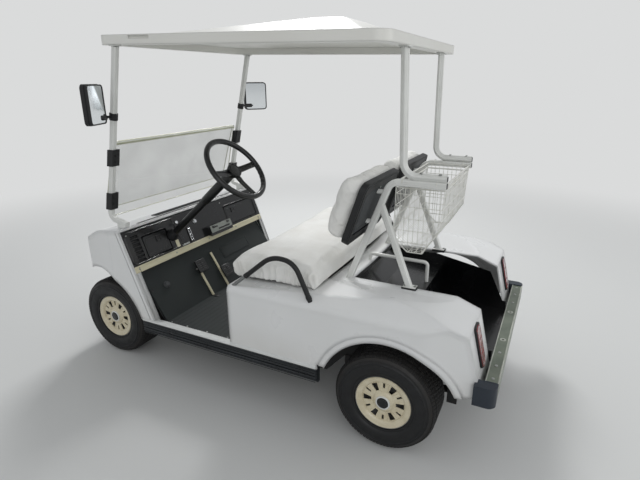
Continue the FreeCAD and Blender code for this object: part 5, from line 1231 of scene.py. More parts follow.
@dataclass
class Cushions:
    """The padded seat bottom and the two backrests in their stretch covers."""

    shop: Workshop
    seat_rear: float = -0.390
    seat_front: float = 0.070
    seat_half: float = 0.520
    seat_base: float = 0.6485
    base_fall: float = 0.008
    lean: float = 19.0
    back_foot: Point = (-0.502, 0.0, 0.860)

    def build(self) -> None:
        """Makes the three cushions."""
        self._seat()
        self._backs()

    def _swell(self, mesh: bpy.types.Mesh, voxel: float, travel: float) -> bpy.types.Mesh:
        """Fills a closed shape with air as cloth and caps how far it moves.

        Args:
            mesh: The closed shape.
            voxel: Edge of the remeshed faces.
            travel: Furthest that a point may move.

        Returns:
            The swollen mesh.
        """
        holder = bpy.data.objects.new("swelling", mesh)
        bpy.context.scene.collection.objects.link(holder)
        even = holder.modifiers.new("even", "REMESH")
        even.mode = "VOXEL"
        even.voxel_size = voxel
        even.adaptivity = 0.0
        bpy.context.view_layer.update()
        plain = bpy.data.meshes.new_from_object(
            holder.evaluated_get(bpy.context.evaluated_depsgraph_get())
        )
        holder.modifiers.clear()
        holder.data = plain
        rest = np.array([v.co for v in plain.vertices], float)
        cloth = holder.modifiers.new("air", "CLOTH")
        cloth.settings.quality = 4
        cloth.settings.use_pressure = True
        cloth.settings.uniform_pressure_force = 4.0
        cloth.settings.effector_weights.gravity = 0.0
        cloth.point_cache.frame_start = 1
        cloth.point_cache.frame_end = 20
        for frame in range(1, 21):
            bpy.context.scene.frame_set(frame)
        blown = holder.evaluated_get(bpy.context.evaluated_depsgraph_get()).to_mesh()
        moved = np.array([v.co for v in blown.vertices], float) - rest
        holder.to_mesh_clear()
        far = np.maximum(np.linalg.norm(moved, axis=1, keepdims=True), 1e-9)
        rest = rest + moved * np.minimum(1.0, travel / far)
        holder.modifiers.clear()
        bpy.context.scene.frame_set(1)
        plain.vertices.foreach_set("co", rest.ravel())
        bpy.data.objects.remove(holder)
        return plain

    @staticmethod
    def _refine(mesh: bpy.types.Mesh) -> bpy.types.Mesh:
        """Subdivides a mesh once, smoothly."""
        holder = bpy.data.objects.new("refine", mesh)
        bpy.context.scene.collection.objects.link(holder)
        finer = holder.modifiers.new("finer", "SUBSURF")
        finer.levels = finer.render_levels = 1
        bpy.context.view_layer.update()
        made = bpy.data.meshes.new_from_object(
            holder.evaluated_get(bpy.context.evaluated_depsgraph_get())
        )
        holder.modifiers.clear()
        bpy.data.objects.remove(holder)
        return made

    @staticmethod
    def _step(low: float, high: float, value: np.ndarray) -> np.ndarray:
        """Smooth step from low to high, for arrays."""
        t = np.clip((value - low) / (high - low), 0.0, 1.0)
        return t * t * (3 - 2 * t)

    @staticmethod
    def _ridges(
        across: np.ndarray, up: np.ndarray, folds: Sequence[tuple[float, float, float, float]]
    ) -> np.ndarray:
        """Sums soft ridges that run up a face.

        Args:
            across: Distance along the face.
            up: Height on the face.
            folds: Each ridge's place, width, height and slant.

        Returns:
            The height of the ridges at each point.
        """
        total = np.zeros_like(across)
        for place, width, height, slant in folds:
            total += height * np.exp(-(((across - place - slant * up) / width) ** 2))
        return total

    def _seat(self) -> None:
        """Makes the seat bottom with its cover gathered round the ends and front."""
        side = rounded_loop((
            (self.seat_rear + 0.006, 0.655, 0.018), (self.seat_front - 0.010, 0.647, 0.018),
            (self.seat_front - 0.008, 0.732, 0.052), (-0.260, 0.7400, 0.20),
            (self.seat_rear + 0.006, 0.732, 0.028),
        ), 8)
        turned = axes((0.0, 0.0, 0.0), (1.0, 0.0, 0.0), (0.0, 0.0, 1.0))
        base = extruded(side, -self.seat_half + 0.006, self.seat_half - 0.006, 0.026, 4)
        base.transform(turned)
        mesh = self._refine(self._swell(base, 0.0085, 0.022))
        spots = np.array([v.co for v in mesh.vertices], float)
        x, y, z = spots[:, 0], spots[:, 1], spots[:, 2]
        dice = random.Random(11)
        x[:] = np.interp(x, (x.min(), x.max()), (self.seat_rear + 0.002, self.seat_front - 0.004))
        y[:] = y * (self.seat_half - 0.0015) / np.abs(y).max()
        ends = self._step(0.488, 0.503, np.abs(y))
        low = 1.0 - self._step(0.716, 0.738, z)
        folds = []
        place = self.seat_rear + 0.020
        while place < self.seat_front - 0.010:
            folds.append((place, dice.uniform(0.0040, 0.0075), dice.uniform(0.006, 0.0135),
                          dice.uniform(-0.35, 0.35)))
            place += dice.uniform(0.020, 0.040)
        gather = self._ridges(x, z - self.seat_base, folds) - 0.0022
        spots[:, 1] += np.sign(y) * ends * low * gather
        seam = np.exp(-(((z - 0.7335 - 0.006 * np.sin(9 * x)) / 0.0035) ** 2))
        spots[:, 1] -= np.sign(y) * ends * seam * 0.0022
        front = self._step(self.seat_front - 0.034, self.seat_front - 0.012, x)
        pleats = []
        place = -self.seat_half + 0.03
        while place < self.seat_half - 0.02:
            pleats.append((place, dice.uniform(0.005, 0.009), dice.uniform(0.0015, 0.0045),
                           dice.uniform(-0.3, 0.3)))
            place += dice.uniform(0.024, 0.050)
        under = 1.0 - self._step(0.680, 0.712, z)
        spots[:, 0] += front * under * (self._ridges(y, z - self.seat_base, pleats) - 0.001)
        top = self._step(0.735, 0.745, z)
        creases = [(0.030, 0.008, 0.0012, 0.01), (-0.030, 0.010, 0.0010, -0.03),
                   (-0.105, 0.013, 0.0009, 0.02),
                   (-0.170, 0.012, 0.0010, -0.02), (-0.300, 0.014, 0.0011, 0.03)]
        spots[:, 2] += top * (self._ridges(x, y, creases) - 0.0004)
        depth = self.seat_front - self.seat_rear
        floor = self.seat_base - self.base_fall * (spots[:, 0] - self.seat_rear) / depth
        spots[:, 2] = np.maximum(spots[:, 2], floor + 0.0004)
        spots[:, 2] = np.minimum(spots[:, 2], 0.762)
        spots[:, 1] = np.clip(spots[:, 1], -0.534, 0.534)
        mesh.vertices.foreach_set("co", spots.ravel())
        piece = Assembly("seat_cushion")
        piece.add(mesh, Look.CLOTH)
        thing = self.shop.fit(piece, "seat_bottom", ("seat_bottom",), 180)

    def leaning(self) -> Matrix:
        """Returns the matrix of the backs: X across, Y up the slope, Z forward."""
        angle = math.radians(self.lean)
        return axes(self.back_foot, (0.0, 1.0, 0.0), (-math.sin(angle), 0.0, math.cos(angle)))

    def _backs(self) -> None:
        """Makes the two backrest cushions."""
        for number, side in enumerate(Side):
            outline = rounded_loop(((0.046, 0.006, 0.048), (0.476, 0.006, 0.048), (0.476, 0.280, 0.060),
                                    (0.046, 0.280, 0.060)), 8)
            pad = extruded(outline, 0.030, 0.108, 0.030, 4)
            mesh = self._refine(self._swell(pad, 0.0075, 0.016))
            spots = np.array([v.co for v in mesh.vertices], float)
            u, v, w = spots[:, 0], spots[:, 1], spots[:, 2]
            u[:] = np.interp(u, (u.min(), u.max()), (0.0475, 0.4745))
            v[:] = np.interp(v, (v.min(), v.max()), (0.0075, 0.2785))
            dice = random.Random(21 + number)
            rim = np.maximum(self._step(0.446, 0.466, u), 1.0 - self._step(0.056, 0.076, u))
            rim = np.maximum(rim, np.maximum(self._step(0.250, 0.270, v), 1.0 - self._step(0.016, 0.036, v)))
            run = np.where(np.abs(u - 0.261) > np.abs(v - 0.143) * 1.5, v, u)
            folds = []
            place = 0.02
            while place < 0.48:
                folds.append((place, dice.uniform(0.006, 0.012), dice.uniform(0.0020, 0.0055),
                              dice.uniform(-0.6, 0.6)))
                place += dice.uniform(0.030, 0.070)
            soft = self._ridges(run, w, folds) - 0.0008
            outward = np.stack([u - 0.261, (v - 0.143) * 1.4], axis=1)
            outward /= np.maximum(np.linalg.norm(outward, axis=1, keepdims=True), 1e-6)
            behind = 1.0 - self._step(0.075, 0.105, w)
            spots[:, 0] += outward[:, 0] * rim * soft * behind
            spots[:, 1] += outward[:, 1] * rim * soft * behind
            spots[:, 2] = np.clip(spots[:, 2], 0.0268, 0.1250)
            mesh.vertices.foreach_set("co", spots.ravel())
            if side is Side.RIGHT:
                mesh.transform(Matrix.Diagonal((-1.0, 1.0, 1.0, 1.0)))
                mesh.flip_normals()
            piece = Assembly(f"back_cushion_{side.word}")
            piece.add(mesh, Look.CLOTH, self.leaning())
            thing = self.shop.fit(piece, "chassis", ("backrests",) if side is Side.LEFT else (), 180)


@dataclass
class BackShells:
    """Grey panels, beads and screws in the hollow backs of the shells."""

    shop: Workshop
    cushions: Cushions

    def build(self) -> None:
        """Makes the panels of both shells."""
        piece = Assembly("back_panels")
        lean = self.cushions.leaning()
        for side in Side:
            sign = side.value
            outline = [(sign * x, y) for x, y in rounded_loop(
                ((0.082, 0.042, 0.020), (0.440, 0.042, 0.020), (0.440, 0.243, 0.020), (0.082, 0.243, 0.020)),
                6)]
            inner = [(sign * x, y) for x, y in rounded_loop(
                ((0.100, 0.060, 0.016), (0.422, 0.060, 0.016), (0.422, 0.225, 0.016), (0.100, 0.225, 0.016)),
                6)]
            piece.add(plate([outline], 0.004, 0.0012, 2), Look.PANEL,
                      lean @ Matrix.Translation((0.0, 0.0, 0.0068)))
            self.shop.lay_wires(piece, [[(x, y, 0.0050) for x, y in [*inner, inner[0]]]], 0.0016, Look.PANEL,
                                6, place=lean)
            edge = [(sign * x, y) for x, y in rounded_loop(
                ((0.0525, 0.0125, 0.032), (0.4695, 0.0125, 0.032), (0.4695, 0.2725, 0.032),
                 (0.0525, 0.2725, 0.032)), 8)]
            self.shop.lay_wires(piece, [[(x, y, 0.0006) for x, y in [*edge, edge[0]]]], 0.0034,
                                Look.BLACK_SHELL, 8, place=lean)
            heads = [((sign * x, y, 0.0048), (0.0, 0.0, -1.0)) for x in (0.091, 0.261,
                                                                         0.431) for y in (0.051, 0.234)]
            self.shop.lay_spots(piece, heads, screw_head(0.0045), Look.ZINC, 5, place=lean)
        self.shop.fit(piece, "chassis", (), 40)


@dataclass(frozen=True)
class SectionTree:
    """A drawn section swept along every run of edges, its corners bent."""

    name: str = "sections_along_runs"

    def build(self) -> bpy.types.NodeTree:
        """Builds the tree."""
        tree, given = open_tree(self.name, {
            "Section": "NodeSocketObject", "Bend": "NodeSocketFloat", "Finish": "NodeSocketMaterial",
        })
        path = add_node(tree, "GeometryNodeMeshToCurve", {"Mesh": given.outputs["Geometry"]}).outputs[0]
        bent = add_node(
            tree, "GeometryNodeFilletCurve",
            {"Curve": path, "Radius": given.outputs["Bend"], "Count": 10, "Limit Radius": True}, mode="POLY",
        ).outputs[0]
        outline = add_node(tree, "GeometryNodeObjectInfo", {"Object": given.outputs["Section"]})
        section = add_node(
            tree, "GeometryNodeMeshToCurve", {"Mesh": outline.outputs["Geometry"]}
        ).outputs[0]
        swept = add_node(
            tree, "GeometryNodeCurveToMesh", {"Curve": bent, "Profile Curve": section, "Fill Caps": True}
        ).outputs[0]
        close_tree(tree, swept, given.outputs["Finish"])
        return tree


@dataclass
class Tubes:
    """The bag rack, the roof struts and the hip rails."""

    shop: Workshop
    half: float = 0.0145
    groove: float = 0.0022
    groove_depth: float = 0.0016
    rack_reach: float = 0.280
    strut_reach: float = 0.526
    hip_reach: float = 0.572
    roof_low: float = 1.653
    roof_pitch: float = 1.4

    def build(self) -> None:
        """Makes the tubes of each set."""
        self.tree = SectionTree().build()
        self._rack()
        self._front_struts()
        self._rear_struts()
        self._hip_rails()

    def _section(self, half: float) -> bpy.types.Mesh:
        """Draws a rounded square with two fine grooves down each face."""
        face = []
        for spot in (-0.0042, 0.0042):
            face += [(spot - self.groove / 2, half), (spot - self.groove / 4, half - self.groove_depth),
                     (spot + self.groove / 4, half - self.groove_depth), (spot + self.groove / 2, half)]
        corner = rounded_loop(((half, half, half * 0.52), (half, -half, 0.0), (-half, -half, 0.0),
                               (-half, half, 0.0)), 5)[:6]
        quarter = face + corner
        loop = []
        for turn in range(4):
            angle = -turn * math.pi / 2
            cos, sin = round(math.cos(angle)), round(math.sin(angle))
            loop += [(x * cos - y * sin, x * sin + y * cos, 0.0) for x, y in quarter]
        mesh = bpy.data.meshes.new("section")
        mesh.from_pydata(loop, [(i, (i + 1) % len(loop)) for i in range(len(loop))], [])
        return mesh

    def _swept(self, run: Sequence[Point], bend: float, look: Look, half: float) -> bpy.types.Mesh:
        """Sweeps the grooved section along one run."""
        base = bpy.data.meshes.new("run")
        base.from_pydata([tuple(p) for p in run], [(i, i + 1) for i in range(len(run) - 1)], [])
        shape = bpy.data.objects.new("section", self._section(half))
        mesh = self.shop.grow(base, self.tree, look, {"Section": shape, "Bend": bend})
        bpy.data.objects.remove(shape)
        made = bmesh.new()
        made.from_mesh(mesh)
        bmesh.ops.recalc_face_normals(made, faces=made.faces)
        made.to_mesh(mesh)
        made.free()
        return mesh

    def _under(self, station: float, drop: float) -> float:
        """Height of the roof's underside at a station, less a drop."""
        return self.roof_low + (station - 0.046) * math.tan(math.radians(self.roof_pitch)) - drop

    def _head(self, station: float, reach: float) -> tuple[bpy.types.Mesh, Matrix]:
        """Makes the bolted plate at the top of a strut."""
        angle = math.radians(self.roof_pitch)
        place = axes(rack_point(station, reach, self._under(station, 0.0028)),
                     (math.cos(angle), 0.0, math.sin(angle)),
                     (0.0, 1.0, 0.0))
        return plate([box_loop(0.048, 0.040, 0.008)], 0.005, 0.001), place

    def _rack(self) -> None:
        """Makes the two inverted V frames, their feet, the brackets and the bag bar."""
        piece = Assembly("bag_rack")
        feet = []
        for side in Side:
            y = side.value * self.rack_reach
            main = [rack_point(-0.135, y, 1.115), rack_point(0.104, y, 1.115), rack_point(0.290, y, 0.632)]
            leg = [rack_point(0.140, y, 1.004), rack_point(-0.006, y, 0.640)]
            piece.add(self._swept(main, 0.055, Look.TUBE, self.half), Look.TUBE)
            piece.add(self._swept(leg, 0.0, Look.TUBE, self.half - 0.0008), Look.TUBE)
            piece.add(block(rack_point(-0.040, y - 0.024, 0.6345), rack_point(0.028, y + 0.024, 0.6455),
                            0.003),
                      Look.SOFT_BLACK)
            piece.add(block(rack_point(-0.036, y - 0.020, 0.6455), rack_point(0.024, y + 0.020, 0.6490),
                            0.0012),
                      Look.TUBE)
            feet += [(rack_point(spot, y, 0.6490), (0.0, 0.0, 1.0)) for spot in (-0.031, 0.018)]
            slope = (0.104 - 0.290) / (1.115 - 0.648)
            for height in (0.928, 1.068):
                start = 0.290 + (height - 0.648) * slope
                lean = math.radians(19.0)
                face = 0.228 - (height - 0.860) * math.tan(lean) + 0.0075 / math.cos(lean)
                piece.add(rod((rack_point(start, y, height), rack_point(face, y, height)), 0.0105, sides=4),
                          Look.TUBE)
            cap = box_loop(0.024, 0.024, 0.007)
            piece.add(plate([cap], 0.004, 0.0008), Look.SOFT_BLACK,
                      axes(rack_point(-0.1340, y, 1.115), (0.0, 1.0, 0.0), (0.0, 0.0, 1.0)))
        self.shop.lay_spots(piece, feet, hex_head(0.011, 0.006), Look.ZINC)
        bar = round_path([rack_point(0.290, 0.0, 0.622), rack_point(0.290, 0.0, 0.666),
                          rack_point(-0.014, 0.0, 0.664),
                          rack_point(-0.014, 0.0, 0.5625)], 0.022)
        piece.add(rod(bar, 0.009, sides=5), Look.TUBE)
        self.shop.fit(piece, "chassis", ("rack_frame",), 32)

    def _front_struts(self) -> None:
        """Makes the two front struts with their heads and feet."""
        piece = Assembly("front_roof_struts")
        for side in Side:
            y = side.value * self.strut_reach
            run = [rack_point(1.370, y, self._under(1.370, 0.006)), rack_point(1.568, y, 0.838),
                   rack_point(1.452, y, 0.812)]
            piece.add(self._swept(run, 0.040, Look.TUBE, self.half - 0.0008), Look.TUBE)
            head, place = self._head(1.370, y)
            piece.add(head, Look.TUBE, place)
            low = [0.796 - (spot - 1.449) * 0.024 / 0.191 for spot in (1.456, 1.512)]
            foot = bmesh.new()
            corners = [(1.456, low[0] + 0.0003), (1.512, low[1] + 0.0003), (1.512, 0.814), (1.456, 0.8085)]
            sides = [[foot.verts.new(rack_point(x, y + reach, z)) for x, z in corners] for reach in (-0.016,
                                                                                                     0.016)]
            foot.faces.new(sides[0])
            foot.faces.new(sides[1])
            for k in range(4):
                foot.faces.new((sides[0][k], sides[0][(k + 1) % 4], sides[1][(k + 1) % 4], sides[1][k]))
            bmesh.ops.recalc_face_normals(foot, faces=foot.faces)
            bmesh.ops.bevel(foot, geom=list(foot.edges), offset=0.002, segments=2, profile=0.5,
                            affect="EDGES")
            made = bpy.data.meshes.new("foot")
            foot.to_mesh(made)
            foot.free()
            piece.add(made, Look.TUBE)
        self.shop.fit(piece, "chassis", ("front_struts",), 32)

    def _rear_struts(self) -> None:
        """Makes the two rear struts, lying on the rack's handles."""
        piece = Assembly("rear_roof_struts")
        bolts = []
        for side in Side:
            sign = side.value
            run = [rack_point(0.062, sign * 0.300, self._under(0.062, 0.006)),
                   rack_point(0.050, sign * self.rack_reach, 1.1440),
                   rack_point(-0.135, sign * self.rack_reach, 1.1440)]
            piece.add(self._swept(run, 0.060, Look.TUBE, self.half - 0.0008), Look.TUBE)
            piece.add(plate([box_loop(0.022, 0.022, 0.006)], 0.004, 0.0008), Look.SOFT_BLACK,
                      axes(rack_point(-0.1340, sign * self.rack_reach, 1.1440), (0.0, 1.0, 0.0),
                           (0.0, 0.0, 1.0)))
            head, place = self._head(0.062, sign * 0.300)
            piece.add(head, Look.TUBE, place)
            bolts += [(rack_point(spot, sign * self.rack_reach, 1.1576),
                       (0.0, 0.0, 1.0)) for spot in (-0.105, -0.025)]
        self.shop.lay_spots(piece, bolts, hex_head(0.012, 0.006), Look.ZINC)
        self.shop.fit(piece, "chassis", ("rear_struts",), 32)

    def _hip_rails(self) -> None:
        """Makes each hip rail: bare steel in front, foam sleeve behind, both feet flanged."""
        piece = Assembly("seat_hip_rails")
        for side in Side:
            y = side.value * self.hip_reach
            path = round_path([rack_point(0.762, y, 0.613), rack_point(0.536, y, 0.800),
                               rack_point(0.424, y, 0.792),
                               rack_point(0.346, y, 0.622)], 0.055, 10)
            start = Vector(path[0]).lerp(Vector(path[1]), 0.46)
            sleeve = [tuple(start), *path[1:]]
            piece.add(rod(path, 0.0078, sides=4), Look.DRAWN_STEEL)
            piece.add(rod(sleeve, 0.0112, sides=5), Look.SOFT_BLACK)
            ahead = (Vector(path[1]) - start).normalized()
            collar = [tuple(start - ahead * 0.004), tuple(start + ahead * 0.014)]
            piece.add(rod(collar, 0.0122, sides=5), Look.SOFT_BLACK)
            heel = Vector(path[-1]) - Vector(path[-2])
            end = Vector(path[-1]) - heel.normalized() * 0.012
            piece.add(rod((tuple(end - heel.normalized() * 0.014), tuple(end)), 0.0126, sides=5),
                      Look.SOFT_BLACK)
        self.shop.fit(piece, "chassis", ("hip_rails",), 50)


@dataclass
class Basket:
    """An open wire basket hung between the rack's handles."""

    shop: Workshop
    half: float = 0.2625
    pitch: float = 0.0215
    wire: float = 0.0013
    rim: float = 0.0034

    def _outline(self, inset: float) -> Loop:
        """Returns the basket's side view, open at the top, drawn in by an inset."""
        return [(-0.128 + inset, 1.115), (-0.118 + inset, 0.920), (-0.048 + inset, 0.800 + inset),
                (0.024 - inset, 0.800 + inset), (0.094 - inset, 0.860 + inset * 0.5), (0.084 - inset, 1.115)]

    @staticmethod
    def _ends(outline: Loop, height: float) -> tuple[float, float]:
        """Returns the rearmost and foremost places of the outline at a height."""
        hits = []
        for (x0, z0), (x1, z1) in zip(outline, outline[1:]):
            if min(z0, z1) - 1e-9 <= height <= max(z0, z1) + 1e-9 and abs(z1 - z0) > 1e-9:
                hits.append(x0 + (x1 - x0) * (height - z0) / (z1 - z0))
        return min(hits), max(hits)

    @staticmethod
    def _floor(outline: Loop, station: float) -> float:
        """Returns the outline's lowest height at a station."""
        lows = []
        for (x0, z0), (x1, z1) in zip(outline, outline[1:]):
            if min(x0, x1) - 1e-9 <= station <= max(x0, x1) + 1e-9 and abs(x1 - x0) > 1e-9:
                lows.append(z0 + (z1 - z0) * (station - x0) / (x1 - x0))
        return min(lows)

    def build(self) -> None:
        """Makes the upright, level and floor wires, the rims and the hooks."""
        piece = Assembly("wire_basket")
        side = self._outline(0.0025)
        runs: list[list[Point]] = []
        count = int(2 * self.half / self.pitch)
        for index in range(count + 1):
            y = -self.half + 2 * self.half * index / count
            runs.append([rack_point(x, y, z) for x, z in side])
        for sign in (1, -1):
            station = -0.108
            while station < 0.086:
                runs.append([rack_point(station, sign * self.half, self._floor(side, station)),
                             rack_point(station, sign * self.half, 1.115)])
                station += self.pitch
        self.shop.lay_wires(piece, runs, self.wire, Look.WIRE, 6, 0.006)
        levels: list[list[Point]] = []
        for height in (1.062, 1.008, 0.954, 0.900, 0.846):
            back, front = self._ends(side, height)
            ring = [(back, -1), (front, -1), (front, 1), (back, 1), (back, -1)]
            levels.append([rack_point(x, sign * (self.half + 0.0008), height) for x, sign in ring])
        for station in (-0.040, -0.012, 0.016):
            levels.append([rack_point(station, sign * self.half, self._floor(side, station)) for sign in (-1,
                                                                                                          1)])
        self.shop.lay_wires(piece, levels, self.wire * 1.35, Look.WIRE, 6, 0.010)
        top = [rack_point(x, sign * self.half, 1.115) for x, sign in
               ((-0.1255, -1), (0.0815, -1), (0.0815, 1), (-0.1255, 1))]
        rims = [[*top, top[0]], [rack_point(x, sign * self.half, 1.090) for x, sign in
                                 ((-0.1245, -1), (0.0825, -1), (0.0825, 1), (-0.1245, 1), (-0.1245, -1))]]
        self.shop.lay_wires(piece, rims, self.rim, Look.WIRE, 8, 0.012)
        foot = [[rack_point(x, sign * self.half, z) for x, z in side[1:5]] for sign in (-1, 1)]
        self.shop.lay_wires(piece, foot, self.rim * 0.8, Look.WIRE, 8, 0.010)
        hooks = []
        for sign in (1, -1):
            for station in (-0.095, 0.050):
                y = sign * 0.280
                hooks.append([rack_point(station, y + 0.0172 * math.cos(a) * sign * -1,
                                         1.115 + 0.0172 * math.sin(a))
                              for a in (math.radians(d) for d in range(0, 200, 20))])
        self.shop.lay_wires(piece, hooks, 0.0024, Look.WIRE, 6)
        self.shop.fit(piece, "chassis", ("basket",), 50)


@dataclass
class Dash:
    """Trim, doors' latches and small controls on the dash and toe board."""

    shop: Workshop
    foot: float = 1.262
    foot_height: float = 0.309
    lean: float = 0.38398
    board_foot: float = 1.2170
    board_height: float = 0.3103
    board_lean: float = 0.671

    def build(self) -> None:
        """Makes the fixed trim, the latches that swing with their doors and the pedals."""
        self._trim()
        self._latches()
        self._mat()
        self._pedals()

    def on_face(self, reach: float, height: float, proud: float = 0.0) -> Matrix:
        """Returns the place on the dash face: X to the right side, Y up the face, Z out of it."""
        out = Vector((-1.0, 0.0, self.lean)).normalized() * proud
        station = self.foot + (height - self.foot_height) * self.lean
        origin = Vector(rack_point(station, reach, height)) + out
        return axes(tuple(origin), (0.0, -1.0, 0.0), (self.lean, 0.0, 1.0))

    def on_board(self, reach: float, height: float, proud: float = 0.0) -> Matrix:
        """Returns the place on the toe board's mat: X to the right side, Y up it, Z out of it."""
        out = Vector((-1.0, 0.0, self.board_lean)).normalized() * proud
        station = self.board_foot + (height - self.board_height) * self.board_lean
        origin = Vector(rack_point(station, reach, height)) + out
        return axes(tuple(origin), (0.0, -1.0, 0.0), (self.board_lean, 0.0, 1.0))

    def _face_run(self, loop: Sequence[tuple[float, float]], proud: float) -> list[Point]:
        """Turns reaches and heights on the dash face into points."""
        return [tuple(self.on_face(y, z, proud).translation) for y, z in loop]

    def _trim(self) -> None:
        """Makes the borders, vents, switches, tray and screws."""
        piece = Assembly("dash_trim")
        border = rounded_loop(((0.578, 0.612, 0.020), (0.578, 0.772, 0.030), (0.232, 0.772, 0.024),
                               (0.206, 0.612, 0.016)), 6)
        self.shop.lay_wires(piece, [self._face_run([*border, border[0]], 0.0005)], 0.0036, Look.DASH, 8)
        inner = rounded_loop(((0.291, 0.6135, 0.010), (0.291, 0.7375, 0.018), (0.479, 0.7375, 0.018),
                              (0.479, 0.6135, 0.010)), 6)
        self.shop.lay_wires(piece, [self._face_run([*inner, inner[0]], 0.0004)], 0.0016, Look.DASH, 6)
        right = rounded_loop(((-0.228, 0.6135, 0.010), (-0.228, 0.7375, 0.018), (-0.556, 0.7375, 0.018),
                              (-0.556, 0.6135, 0.010)), 6)
        self.shop.lay_wires(piece, [self._face_run([*right, right[0]], 0.0004)], 0.0016, Look.DASH, 6)
        lips = [self._face_run([(0.490, 0.617 + 0.020 * k), (0.545, 0.617 + 0.020 * k)],
                               0.0008) for k in range(8)]
        self.shop.lay_wires(piece, lips, 0.0018, Look.DASH, 6)
        piece.add(plate([box_loop(0.024, 0.044, 0.004)], 0.004, 0.001), Look.CREAM,
                  self.on_face(0.248, 0.632, 0.0015))
        piece.add(plate([box_loop(0.060, 0.010, 0.003)], 0.003, 0.001), Look.ZINC,
                  self.on_face(0.190, 0.6125, 0.0020))
        knob = ((0.0, 0.006), (0.006, 0.006), (0.010, 0.0042), (0.018, 0.0040), (0.021, 0.0085),
                (0.027, 0.0105),
                (0.032, 0.0090), (0.034, 0.0))
        turn = Matrix.Rotation(math.pi / 2, 4, "X")
        piece.add(lathe([(0.0, 0.0), *knob], 28), Look.CHROME, self.on_face(0.226, 0.742, 0.0) @ turn)
        slot = [rounded_loop(((-0.0125, -0.044, 0.004), (0.0125, -0.044, 0.004), (0.0125, 0.044, 0.004),
                              (-0.0125, 0.044, 0.004)), 4)]
        piece.add(plate(slot, 0.006, 0.0012), Look.DASH, self.on_face(0.131, 0.652, 0.0025))
        rails = [self._face_run([(0.131 + k * 0.0085, 0.616), (0.131 + k * 0.0085, 0.692)],
                                0.0062) for k in (-1, 1)]
        rungs = [self._face_run([(0.1225, 0.622 + 0.016 * k), (0.1395, 0.622 + 0.016 * k)],
                                0.0062) for k in range(5)]
        self.shop.lay_wires(piece, [*rails, *rungs], 0.0016, Look.CHROME, 8)
        collar = ((0.0, 0.014), (0.004, 0.014), (0.006, 0.011), (0.010, 0.010), (0.010, 0.0))
        piece.add(lathe([(0.0, 0.0), *collar], 24), Look.CHROME, self.on_face(0.060, 0.712, 0.0) @ turn)
        piece.add(plate([rounded_loop(((-0.002, 0.0, 0.0), (0.002, 0.0, 0.0), (0.009, 0.018, 0.004),
                                       (0.009, 0.030, 0.006), (-0.009, 0.030, 0.006), (-0.009, 0.018, 0.004)),
                                       4)],
                        0.0022, 0.0005), Look.CHROME,
                  self.on_face(0.060, 0.712, 0.012) @ Matrix.Rotation(-math.pi / 2, 4, "X"))
        piece.add(plate([box_loop(0.207, 0.046, 0.005)], 0.0030, 0.001), Look.TRAY,
                  self.on_face(-0.1175, 0.6325, 0.0355))
        for across, up, wide in ((-0.140, 0.6230, 0.112), (-0.058, 0.6400, 0.046)):
            piece.add(plate([box_loop(wide, 0.010, 0.003)], 0.0012, 0.0004), Look.DASH,
                      self.on_face(across, up, 0.0374))
        for across in (-0.040, -0.185):
            rocker = plate([box_loop(0.020, 0.012, 0.002)], 0.006, 0.0012)
            piece.add(rocker, Look.SATIN_BLACK, self.on_face(across, 0.6445, 0.0395))
        ledge = self._face_run([(0.586, 0.5995), (-0.586, 0.5995)], 0.0010)
        seam = self._face_run([(0.586, 0.5780), (-0.586, 0.5780)], 0.0006)
        self.shop.lay_wires(piece, [ledge], 0.0026, Look.CREAM, 8)
        self.shop.lay_wires(piece, [seam], 0.0014, Look.CREAM, 6)
        out = tuple(self.on_face(0.0, 0.7).to_3x3() @ Vector((0.0, 0.0, 1.0)))
        heads = [(tuple(self.on_face(y, 0.5885, 0.0).translation), out) for y in (0.560, 0.280, -0.010,
                                                                                  -0.290, -0.560)]
        heads += [(tuple(self.on_face(y, 0.7620, 0.0).translation), out) for y in (0.592 - 0.030, -0.562,
                                                                                   -0.215)]
        self.shop.lay_spots(piece, heads, screw_head(0.0050), Look.ZINC, 7)
        self.shop.fit(piece, "chassis", (), 40)

    def _latches(self) -> None:
        """Makes each door's square latch and raised panel, riding on the door."""
        for side, middle, wide, spot in ((Side.LEFT, 0.385, 0.150, 0.366),
                                         (Side.RIGHT, -0.392, 0.290, -0.318)):
            piece = Assembly(f"door_latch_{side.word}")
            field = rounded_loop(((-wide / 2, -0.040, 0.010), (wide / 2, -0.040, 0.010),
                                  (wide / 2, 0.041, 0.014),
                                  (-wide / 2, 0.041, 0.014)), 5)
            place = self.on_face(middle, 0.674, 0.0004)
            self.shop.lay_wires(piece, [[(x, y, 0.0) for x, y in [*field, field[0]]]], 0.0011, Look.DASH, 6,
                                place=place)
            latch = self.on_face(spot, 0.6975, 0.0)
            ring = [box_loop(0.036, 0.034, 0.004), box_loop(0.022, 0.020, 0.003)]
            piece.add(plate(ring, 0.0050, 0.0012), Look.SATIN_BLACK,
                      latch @ Matrix.Translation((0.0, 0.0, 0.0020)))
            piece.add(plate([box_loop(0.0205, 0.0185, 0.002)], 0.0024, 0.0006), Look.SATIN_BLACK,
                      latch @ Matrix.Translation((0.0, 0.0, 0.0012)))
            piece.add(block((-0.007, -0.002, 0.0020), (0.007, 0.002, 0.0050), 0.0008), Look.SATIN_BLACK,
                      latch)
            self.shop.fit(piece, f"glove_door_{side.word}", (), 40)

